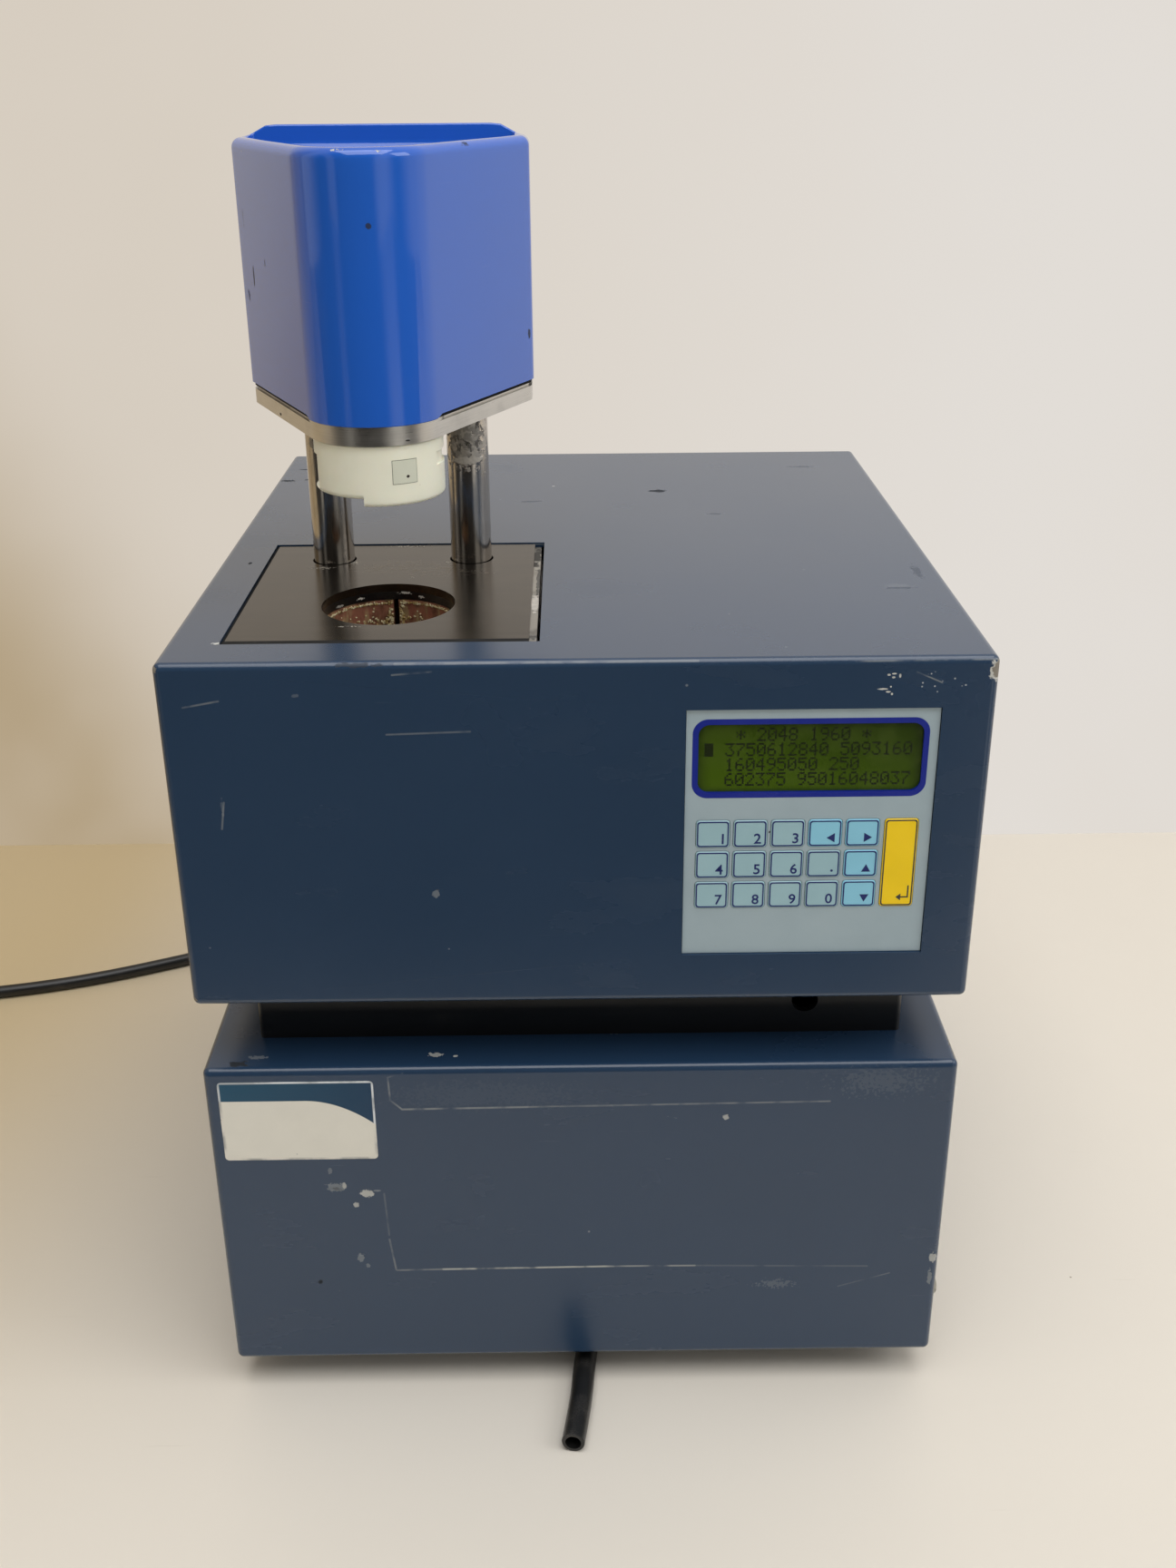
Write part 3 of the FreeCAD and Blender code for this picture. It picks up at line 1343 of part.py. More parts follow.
def keypad_board():
    """Switch board behind the overlay, held behind the casing's front, with the display opening."""
    face = front + s.panel_recess + s.overlay_thickness
    board = body("keypad_board", s.panel_left, face, panel_top)
    pad(board, panel_frame_outline(board, s.board_margin), s.board_thickness)
    opening = Outline(board, "XZ", -s.board_thickness).box(
        s.window_x - s.fit_gap,
        -s.window_down - s.window_height - s.fit_gap,
        s.window_x + s.window_width + s.fit_gap,
        -s.window_down + s.fit_gap,
    )
    pocket(board, opening, s.board_thickness * 3)


def display_module():
    """Character display: glass, metal frame and circuit board."""
    face = front + s.panel_recess + s.overlay_thickness + s.board_thickness
    middle_x = s.panel_left + s.window_x + s.window_width / 2
    middle_z = panel_top - s.window_down - s.window_height / 2
    module = body("display_module", middle_x, face, middle_z)
    bezel = Outline(module, "XZ").box(
        -s.bezel_width / 2, -s.bezel_height / 2, s.bezel_width / 2, s.bezel_height / 2
    )
    pad(module, bezel, s.bezel_depth)
    glass = Outline(module, "XZ", -s.glass_rise).box(
        -s.window_width / 2, -s.window_height / 2, s.window_width / 2, s.window_height / 2
    )
    pad(module, glass, s.glass_rise + s.bezel_depth / 2)
    board = Outline(module, "XZ", s.bezel_depth - s.board_thickness / 2).box(
        -s.display_width / 2, -s.display_height / 2, s.display_width / 2, s.display_height / 2
    )
    pad(module, board, s.board_thickness * 1.5)
    holes = Outline(module, "XZ", s.bezel_depth - s.board_thickness)
    for i in (-1, 1):
        for j in (-1, 1):
            x = i * (s.display_width / 2 - s.display_screw)
            holes.circle(x, j * (s.display_height / 2 - s.display_screw), s.display_screw)
    pocket(module, holes, s.board_thickness * 4)


# Inside and at the back


def controller_board():
    """Controller board on its standoffs, with its main chip."""
    level = upper_floor + 2 * s.sheet + s.standoff_height
    board = body("controller_board", s.controller_x, front + s.controller_back, level)
    half_x = s.controller_width / 2
    half_y = s.controller_depth / 2
    pad(board, Outline(board).box(-half_x, -half_y, half_x, half_y), s.board_thickness)
    chip = s.chip / 2
    package = Outline(board, "XY", s.board_thickness / 2).box(-chip, -chip, chip, chip)
    pad(board, package, s.board_thickness / 2 + s.chip_height)
    margin = s.standoff_diameter
    holes = Outline(board, "XY", -s.board_thickness)
    for i in (-1, 1):
        for j in (-1, 1):
            holes.circle(i * (half_x - margin), j * (half_y - margin), s.display_screw)
    pocket(board, holes, s.board_thickness * 3)


def power_transformer():
    """Transformer on the base plate: laminated core with its winding."""
    level = lower_floor + 2 * s.sheet
    core = body("power_transformer", s.supply_x, front + s.supply_back, level)
    half_x = s.core_width / 2
    half_y = s.core_depth / 2
    pad(core, Outline(core).box(-half_x, -half_y, half_x, half_y), s.core_height)
    coil = Outline(core, "XY", s.coil_drop).rounded_box(
        -s.coil_width / 2, -s.coil_depth / 2, s.coil_width / 2, s.coil_depth / 2, s.column_leg
    )
    pad(core, coil, s.core_height - 2 * s.coil_drop)


def power_inlet():
    """Mains inlet with its socket recess and blades, and the window of the rocker switch."""
    back = front + s.case_depth
    inlet = body("power_inlet", s.inlet_x, back, s.inlet_up)
    middle = s.switch_up / 2
    flange = Outline(inlet, "XZ").rounded_box(
        -s.inlet_flange_width / 2,
        middle - s.inlet_flange_height / 2,
        s.inlet_flange_width / 2,
        middle + s.inlet_flange_height / 2,
        s.bend_radius,
    )
    pad(inlet, flange, s.inlet_flange)
    housing = Outline(inlet, "XZ", -s.inlet_body_depth).box(
        -s.inlet_body_width / 2,
        middle - s.inlet_body_height / 2,
        s.inlet_body_width / 2,
        middle + s.inlet_body_height / 2,
    )
    pad(inlet, housing, s.inlet_body_depth + s.inlet_flange / 2)
    recess_floor = s.inlet_flange - s.socket_recess_depth
    recess = Outline(inlet, "XZ", recess_floor).box(
        -s.socket_recess_width / 2,
        -s.socket_recess_height / 2,
        s.socket_recess_width / 2,
        s.socket_recess_height / 2,
    )
    pocket(inlet, recess, s.socket_recess_depth + s.sheet)
    blades = Outline(inlet, "XZ", recess_floor - s.sheet)
    for x, z in blade_places():
        blades.box(
            x - s.blade_width / 2, z - s.blade_height / 2, x + s.blade_width / 2, z + s.blade_height / 2
        )
    pad(inlet, blades, s.blade_length + s.sheet)
    window = Outline(inlet, "XZ", s.inlet_flange - s.rocker_window_depth).box(
        -s.rocker_width / 2 - s.fit_gap,
        s.switch_up - s.rocker_window,
        s.rocker_width / 2 + s.fit_gap,
        s.switch_up + s.rocker_window,
    )
    pocket(inlet, window, s.rocker_window_depth + s.sheet)
    bearing = Outline(inlet, "YZ", -s.rocker_width / 2 - s.fit_gap - s.rocker_pin_reach).circle(
        s.inlet_flange - s.rocker_pivot, s.switch_up, s.rocker_pin + 2 * s.rod_run_gap
    )
    pocket(inlet, bearing, s.rocker_width + 2 * (s.fit_gap + s.rocker_pin_reach))


def blade_places():
    """Places of the socket's three blades about its middle."""
    return [
        (-s.blade_spread, -s.blade_height / 4),
        (size(0), s.blade_height / 2),
        (s.blade_spread, -s.blade_height / 4),
    ]


def power_switch():
    """Rocker with a shallow hollow face and pivot pins, its lower end pressed; its ends follow the pivot."""
    pivot_y = front + s.case_depth + s.inlet_flange - s.rocker_pivot
    rocker = body(
        "power_switch", s.inlet_x - s.rocker_width / 2, pivot_y, s.inlet_up + s.switch_up
    )
    disc = Outline(rocker, "YZ").circle(0, 0, s.rocker_radius * 2)
    pad(rocker, disc, s.rocker_width)
    far = s.rocker_radius * 2
    face = Outline(rocker, "YZ", -s.sheet).polygon(
        [(s.rocker_dip, 0), (s.rocker_rise, far / 2), (far, far), (far, -far), (s.rocker_rise, -far / 2)]
    )
    pocket(rocker, face, s.rocker_width + s.sheet * 2)
    back = Outline(rocker, "YZ", -s.sheet).box(-far, -far, -s.rocker_rise, far)
    pocket(rocker, back, s.rocker_width + s.sheet * 2)
    for side in (0, 1):
        pin = Outline(rocker, "YZ", side * s.rocker_width - s.rocker_pin_reach).circle(0, 0, s.rocker_pin)
        pad(rocker, pin, s.rocker_pin_reach * 2)
    rocker.setExpression("Placement.Rotation.Axis.x", "1")
    rocker.setExpression("Placement.Rotation.Axis.z", "0")
    rocker.setExpression("Placement.Rotation.Angle", (-s.rocker_tilt).text)


def water_spigots():
    """Two barbed spigots through the rear panel, for cooling water in and out."""
    spigots = []
    for i in range(2):
        x = s.spigot_x + i * s.spigot_pitch
        spigot = body("spigot", x, front + s.case_depth, upper_floor + s.spigot_up, kept=False)
        bore = s.spigot_bore / 2
        stem = s.spigot_stem / 2
        groove = s.spigot_groove / 2
        reach = s.spigot_reach
        barb = s.spigot_barb
        thread = s.spigot_thread / 2
        profile = Outline(spigot, "XZ").polygon(
            [
                (bore, -s.spigot_inside),
                (thread, -s.spigot_inside),
                (thread, 0),
                (s.spigot_flange / 2, 0),
                (s.spigot_flange / 2, s.spigot_flange_length),
                (stem, s.spigot_flange_length),
                (stem, reach - barb * 2),
                (groove, reach - barb),
                (stem, reach - barb),
                (groove, reach),
                (bore, reach),
            ]
        )
        revolve(spigot, profile)
        turned = FreeCAD.Rotation(V(1, 0, 0), -90)
        spigot.Placement = FreeCAD.Placement(V(0, 0, 0), turned)
        place(spigot, x, front + s.case_depth, upper_floor + s.spigot_up)
        spigots.append(spigot)
    group("water_spigots", spigots)


def serial_port():
    """Nine-pin port: flange on the panel and a tapered shell."""
    port = body("serial_port", s.serial_x, front + s.case_depth, upper_floor + s.serial_up)
    flange = Outline(port, "XZ").rounded_box(
        -s.serial_flange_width / 2,
        -s.serial_flange_height / 2,
        s.serial_flange_width / 2,
        s.serial_flange_height / 2,
        s.bend_radius / 2,
    )
    pad(port, flange, s.serial_flange)
    wide = s.serial_shell_width / 2
    tall = s.serial_shell_height / 2
    shell = Outline(port, "XZ", -s.sheet * 2).polygon(
        [(-wide, tall), (-wide + s.serial_flange, -tall), (wide - s.serial_flange, -tall), (wide, tall)]
    )
    pad(port, shell, s.sheet * 2 + s.serial_shell)
    t = s.serial_flange / 2
    hollow = Outline(port, "XZ", s.serial_flange).polygon(
        [
            (t - wide, tall - t),
            (t * 3 - wide, t - tall),
            (wide - t * 3, t - tall),
            (wide - t, tall - t),
        ]
    )
    pocket(port, hollow, s.serial_shell)


def drain_elbow():
    """Elbow under the base plate that the drain hose is pushed on."""
    level = s.hose_diameter / 2
    elbow = body("drain_elbow", s.drain_x, front + s.drain_back, level)
    reach = s.elbow_length
    upright = Outline(elbow).circle(0, reach, s.elbow_body * 2)
    top = lower_floor + s.sheet * 2 + s.elbow_body - level
    pad(elbow, upright, top)
    branch = Outline(elbow, "XZ").circle(0, 0, s.hose_diameter)
    pad(elbow, branch, reach)


# Cords


ARC_SHARE = 0.45


def bent_wire(points):
    """Straight runs joined by tangent arcs, each as large as its two runs allow; prints the radii."""
    route = [V(*point) for point in points]
    edges_of_route = []
    radii = []
    start = route[0]
    for before, corner, after in zip(route, route[1:], route[2:]):
        inward = before - corner
        outward = after - corner
        half_turn = (math.pi - inward.getAngle(outward)) / 2
        cut = ARC_SHARE * min(inward.Length, outward.Length)
        radius = cut / math.tan(half_turn)
        inward.normalize()
        outward.normalize()
        bisector = inward + outward
        bisector.normalize()
        arc_start = corner + inward * cut
        arc_end = corner + outward * cut
        middle = corner + bisector * (radius / math.cos(half_turn) - radius)
        edges_of_route.append(Part.LineSegment(start, arc_start).toShape())
        edges_of_route.append(Part.Arc(arc_start, middle, arc_end).toShape())
        radii.append(round(radius, 1))
        start = arc_end
    edges_of_route.append(Part.LineSegment(start, route[-1]).toShape())
    print("arc radii", radii)
    return Part.Wire(edges_of_route)


def cord_tube(label, points, diameter):
    """Round tube along a route, compared with its section times its length."""
    path = bent_wire(points)
    first = V(*points[0])
    heading = V(*points[1]) - first
    ring = Part.Wire(Part.makeCircle(diameter / 2, first, heading))
    tube = path.makePipeShell([ring], True, False)
    expected = math.pi * diameter**2 / 4 * path.Length
    print(label, "length", round(path.Length, 1), "volume ratio", round(tube.Volume / expected, 4))
    new = doc.addObject("Part::Feature", label)
    new.Label = label
    new.Shape = tube
    new.Placement = FreeCAD.Placement(V(0, 0, 0), FreeCAD.Rotation())
    parts[label] = new


# Routes in the part's frame: the lead leaves the connector, comes down behind the object and goes left
# along the table to its put-away coil; the hose comes forward from under the casing to its cut end.

LEAD_ROUTE = (
    (-30.0, 187.5, 46.0),
    (-30.0, 208.0, 46.0),
    (-35.0, 230.0, 41.0),
    (-52.0, 246.0, 31.0),
    (-76.0, 251.0, 20.0),
    (-100.0, 244.0, 11.0),
    (-124.0, 231.0, 5.5),
    (-152.0, 215.0, 3.5),
    (-190.0, 195.5, 3.5),
    (-233.0, 174.0, 3.5),
    (-286.0, 151.0, 3.5),
    (-337.0, 138.0, 3.5),
    (-392.0, 133.0, 3.5),
)

HOSE_ROUTE = (
    (4.0, -100.5, 4.5),
    (4.0, -118.0, 4.5),
    (2.8, -138.0, 4.5),
    (0.2, -158.0, 4.5),
    (-1.4, -179.0, 4.5),
    (-4.6, -199.0, 4.5),
)


def mains_lead():
    """Lead from the connector to the coil."""
    cord_tube("mains_lead", LEAD_ROUTE, s.lead_diameter.value)


def drain_hose():
    """Short hose from the elbow to its cut end in front of the casing."""
    cord_tube("drain_hose", HOSE_ROUTE, s.hose_diameter.value)


def mains_coil():
    """Outer shape of the put-away lead."""
    end_x, end_y, end_z = LEAD_ROUTE[-1]
    band = s.lead_diameter * s.lead_turns_wide / 2
    middle = s.lead_turn_diameter / 2
    outer_turn = middle + band - s.lead_diameter / 2
    coil = body("mains_coil", end_x, end_y - outer_turn, 0)
    cut = s.lead_diameter / 4
    tall = s.lead_diameter * s.lead_layers
    profile = Outline(coil, "XZ").polygon(
        [
            (middle - band + cut, 0),
            (middle + band - cut, 0),
            (middle + band, cut),
            (middle + band, tall - cut),
            (middle + band - cut, tall),
            (middle - band + cut, tall),
            (middle - band, tall - cut),
            (middle - band, cut),
        ]
    )
    revolve(coil, profile)


def mains_connector():
    """Connector on the lead, in the inlet: nose with blade slots, body and tapered strain relief."""
    face = front + s.case_depth + s.inlet_flange
    plug = body("mains_connector", s.inlet_x, face, s.inlet_up)
    nose_x = s.socket_recess_width / 2 - s.plug_nose_gap
    nose_z = s.socket_recess_height / 2 - s.plug_nose_gap
    nose = Outline(plug, "XZ", -s.plug_nose_length).box(-nose_x, -nose_z, nose_x, nose_z)
    pad(plug, nose, s.plug_nose_length + s.sheet)
    half_x = s.connector_width / 2
    half_z = s.connector_height / 2
    shape = Outline(plug, "XZ").rounded_box(-half_x, -half_z, half_x, half_z, s.bend_radius * 2)
    pad(plug, shape, s.connector_length)
    soften(plug, s.bend_radius, lambda edge: lies(edge, 1, s.connector_length), "Chamfer")
    slots = Outline(plug, "XZ", -s.plug_nose_length - s.sheet)
    gap = s.plug_nose_gap
    for x, z in blade_places():
        half_w = s.blade_width / 2 + gap
        half_h = s.blade_height / 2 + gap
        slots.box(x - half_w, z - half_h, x + half_w, z + half_h)
    pocket(plug, slots, s.plug_nose_length + s.sheet)
    relief = plug.newObject("PartDesign::AdditiveLoft", "AdditiveLoft")
    wide = Outline(plug, "XZ", s.connector_length - s.sheet).circle(0, 0, s.relief_radius * 2)
    narrow = Outline(plug, "XZ", s.connector_length + s.relief_length - s.sheet).circle(
        0, 0, s.lead_diameter + s.plug_nose_gap * 2
    )
    relief.Profile = wide.sketch
    relief.Sections = [narrow.sketch]
    plug.Tip = relief


def mains_plug():
    """Round two-pin plug lying beside the coil, its cord end on the coil's outer turn."""
    end_x, end_y, end_z = LEAD_ROUTE[-1]
    outer_turn = s.lead_turn_diameter / 2 + s.lead_diameter * (s.lead_turns_wide - 1) / 2
    x = end_x - outer_turn
    y = end_y - outer_turn - s.plug_side
    plug = body("mains_plug", x, y, s.plug_radius)
    neck = s.lead_diameter / 2
    shoulder = s.plug_neck + s.plug_taper
    length = shoulder + s.plug_body
    profile = Outline(plug, "XZ").polygon(
        [
            (0, 0),
            (neck + s.fit_gap, 0),
            (s.plug_relief, s.plug_neck),
            (s.plug_shoulder, shoulder - s.bend_radius),
            (s.plug_radius, shoulder),
            (s.plug_radius, length),
            (0, length),
        ]
    )
    revolve(plug, profile)
    pins = Outline(plug, "XY", length - s.sheet)
    for side in (-1, 1):
        pins.circle(side * s.plug_pin_spread / 2, 0, s.plug_pin)
    pad(plug, pins, s.plug_pin_length + s.sheet)
    plug.Placement = FreeCAD.Placement(V(0, 0, 0), FreeCAD.Rotation(V(1, 0, 0), 90))
    place(plug, x, y, s.plug_radius)


upper_casing()
lower_casing()
upper_rear_panel()
lower_rear_panel()
upper_base_pan()
neck_frame()
base_plate()
rubber_feet()
casing_screws()
deck_plate()
deck_frame()
well_collar()
guide_column()
guide_bushes()
block_half("block_left", -1)
block_half("block_right", 1)
heaters("heaters_left", -1)
heaters("heaters_right", 1)
block_base()
head_plate()
head_cover()
nose_ring()
spindle_bearing()
drive_spindle()
motor_housing()
guide_rods()
rod_yoke()
return_spring()
panel_overlay()
panel_keys()
keypad_board()
display_module()
controller_board()
power_transformer()
power_inlet()
power_switch()
water_spigots()
serial_port()
drain_elbow()
mains_connector()
mains_lead()
mains_coil()
mains_plug()
drain_hose()
doc.recompute()


# Checks and files


def check():
    """Stop on a failed feature, a cut that removes nothing, or a part without a valid solid."""
    for thing in doc.Objects:
        if "Invalid" in thing.State or "Error" in thing.State:
            raise RuntimeError(f"{thing.Name} {thing.Label} failed: {thing.State}")
        if thing.TypeId in ("PartDesign::Pocket", "PartDesign::Groove"):
            before = thing.BaseFeature.Shape.Volume
            if before - thing.Shape.Volume < 0.01:
                raise RuntimeError(f"{thing.Name} cuts nothing")
    for label, thing in parts.items():
        if thing.Shape.isNull() or not thing.Shape.isValid() or not thing.Shape.Solids:
            raise RuntimeError(f"{label} has no valid solid")


check()
for label, thing in parts.items():
    thing.Shape.exportStep(f"parts/{label}.step")
print(len(parts), "parts written")
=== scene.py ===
"""Looks of a bench-top rapid viscosity analyser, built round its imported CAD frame.

Lengths are in metres, as in the frame, and MM turns the sizes that are given in millimetres into metres.
Each sub-assembly is a class that builds its own meshes and dresses its CAD nodes.
"""

import json
import logging
import math
from dataclasses import dataclass, field
from enum import Enum
from typing import Any, Sequence

import bpy
import bmesh
import numpy as np
from mathutils import Matrix, Vector

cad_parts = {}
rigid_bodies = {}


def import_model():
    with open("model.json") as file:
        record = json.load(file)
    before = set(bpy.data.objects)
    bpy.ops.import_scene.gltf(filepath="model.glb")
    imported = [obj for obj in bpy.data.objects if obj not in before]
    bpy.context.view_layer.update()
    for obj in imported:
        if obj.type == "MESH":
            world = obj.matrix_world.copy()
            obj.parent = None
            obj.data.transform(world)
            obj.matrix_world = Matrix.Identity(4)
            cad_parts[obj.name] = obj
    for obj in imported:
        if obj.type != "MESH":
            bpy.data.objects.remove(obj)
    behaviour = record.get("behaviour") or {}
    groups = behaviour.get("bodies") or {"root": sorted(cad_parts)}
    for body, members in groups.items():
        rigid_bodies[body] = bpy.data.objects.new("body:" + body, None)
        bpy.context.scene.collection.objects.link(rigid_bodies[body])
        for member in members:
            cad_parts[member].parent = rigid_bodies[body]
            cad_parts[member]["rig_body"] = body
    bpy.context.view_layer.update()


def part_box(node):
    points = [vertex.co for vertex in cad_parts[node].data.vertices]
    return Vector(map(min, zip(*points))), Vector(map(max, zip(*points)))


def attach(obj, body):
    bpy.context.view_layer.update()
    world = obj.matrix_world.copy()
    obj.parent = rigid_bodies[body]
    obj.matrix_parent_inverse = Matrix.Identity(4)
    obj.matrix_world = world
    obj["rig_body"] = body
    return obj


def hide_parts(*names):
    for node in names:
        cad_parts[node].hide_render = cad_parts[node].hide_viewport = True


LOG = logging.getLogger("analyser")
MM = 0.001
SEEN_RAYS = ("Is Camera Ray", "Is Glossy Ray", "Is Transmission Ray")

Colour = tuple[float, float, float, float]
Point = tuple[float, float, float]


def tint(red: int, green: int, blue: int) -> Colour:
    """Linear colour of an sRGB one.

    Args:
        red: red, 0 to 255.
        green: green, 0 to 255.
        blue: blue, 0 to 255.

    Returns:
        The colour that a shader socket takes.
    """
    shares = [value / 255 for value in (red, green, blue)]
    linear = [share / 12.92 if share < 0.04045 else ((share + 0.055) / 1.055) ** 2.4 for share in shares]
    return (*linear, 1.0)


def scaled(colour: Colour, factor: float) -> Colour:
    """The colour made brighter or darker by a factor."""
    return (*(min(1.0, part * factor) for part in colour[:3]), 1.0)


# Shader expressions


class Value:
    """A shader socket whose operators add Math nodes."""

    def __init__(self, nodes: "Nodes", socket: bpy.types.NodeSocket) -> None:
        """Keeps the socket and the node tree that it belongs to."""
        self.nodes = nodes
        self.socket = socket

    def _math(self, operation: str, first: Any, second: Any = 0.0) -> "Value":
        """One Math node on two values."""
        return self.nodes.value("ShaderNodeMath", {"operation": operation}, {0: first, 1: second})

    def __add__(self, other: Any) -> "Value":
        """self + other."""
        return self._math("ADD", self, other)

    __radd__ = __add__

    def __sub__(self, other: Any) -> "Value":
        """self - other."""
        return self._math("SUBTRACT", self, other)

    def __rsub__(self, other: Any) -> "Value":
        """other - self."""
        return self._math("SUBTRACT", other, self)

    def __mul__(self, other: Any) -> "Value":
        """self * other."""
        return self._math("MULTIPLY", self, other)

    __rmul__ = __mul__

    def __truediv__(self, other: Any) -> "Value":
        """self / other."""
        return self._math("DIVIDE", self, other)

    def __abs__(self) -> "Value":
        """Size without its sign."""
        return self._math("ABSOLUTE", self)

    def most(self, other: Any) -> "Value":
        """The larger of two values."""
        return self._math("MAXIMUM", self, other)

    def least(self, other: Any) -> "Value":
        """The smaller of two values."""
        return self._math("MINIMUM", self, other)

    def ramp(self, zero: float, one: float) -> "Value":
        """Smooth step that is 0 at zero and 1 at one, in either order."""
        settings = {"interpolation_type": "SMOOTHSTEP"}
        low, high, start, end = (zero, one, 0.0, 1.0) if zero < one else (one, zero, 1.0, 0.0)
        return self.nodes.value("ShaderNodeMapRange", settings, {0: self, 1: low, 2: high, 3: start, 4: end})


class Kind(Enum):
    """What a wear mark shows."""

    WHITE = "white filler or dried residue"
    BARE = "bare metal"
    DARK = "dark stain"
    PALE = "pale rub"


@dataclass(frozen=True)
class Mark:
    """A small wear mark: a ragged ellipsoid round a place, in millimetres."""

    kind: Kind
    place: Point
    size: Point
    ragged: float = 1.2
    grain: float = 2.0
    strength: float = 1.0


@dataclass(frozen=True)
class Line:
    """A faint straight pale line on a front face, between two places in millimetres. Most are scratches and
    edges of old tape; some are painted highlights along a bend.
    """

    start: tuple[float, float]
    end: tuple[float, float]
    strength: float = 0.4
    width: float = 0.45


class Nodes:
    """A node tree that starts empty."""

    def __init__(self, tree: bpy.types.NodeTree) -> None:
        """Empties the tree.

        Args:
            tree: a material's or the world's node tree.
        """
        self.tree = tree
        self.tree.nodes.clear()

    def node(self, kind: str, settings: dict[str, Any], inputs: dict[Any, Any]) -> bpy.types.Node:
        """Adds any node.

        Args:
            kind: the node's type.
            settings: its attributes, which are set first.
            inputs: a value, socket or Value for each of its sockets, by name or number.

        Returns:
            The node.
        """
        made = self.tree.nodes.new(kind)
        for name, setting in settings.items():
            setattr(made, name, setting)
        for key, given in inputs.items():
            given = given.socket if isinstance(given, Value) else given
            if isinstance(given, bpy.types.NodeSocket):
                self.tree.links.new(given, made.inputs[key])
            else:
                made.inputs[key].default_value = given
        return made

    def value(self, kind: str, settings: dict[str, Any], inputs: dict[Any, Any], output: Any = 0) -> Value:
        """Adds any node and wraps one of its outputs."""
        return Value(self, self.node(kind, settings, inputs).outputs[output])

    def mix(self, share: Any, first: Any, second: Any) -> bpy.types.NodeSocket:
        """Colour that goes from first to second as share goes from 0 to 1."""
        return self.node("ShaderNodeMix", {"data_type": "RGBA"}, {0: share, 6: first, 7: second}).outputs[2]

    def blend(self, share: Any, first: bpy.types.Node, second: bpy.types.Node) -> bpy.types.Node:
        """Mix Shader node from the first shader to the second as share goes from 0 to 1."""
        return self.node("ShaderNodeMixShader", {}, {0: share, 1: first.outputs[0], 2: second.outputs[0]})

    def seen(self) -> Value:
        """1 for the rays that show what the camera sees straight, in a mirror or through glass."""
        path = self.node("ShaderNodeLightPath", {}, {})
        camera, glossy, clear = (Value(self, path.outputs[name]) for name in SEEN_RAYS)
        return camera.most(glossy).most(clear)


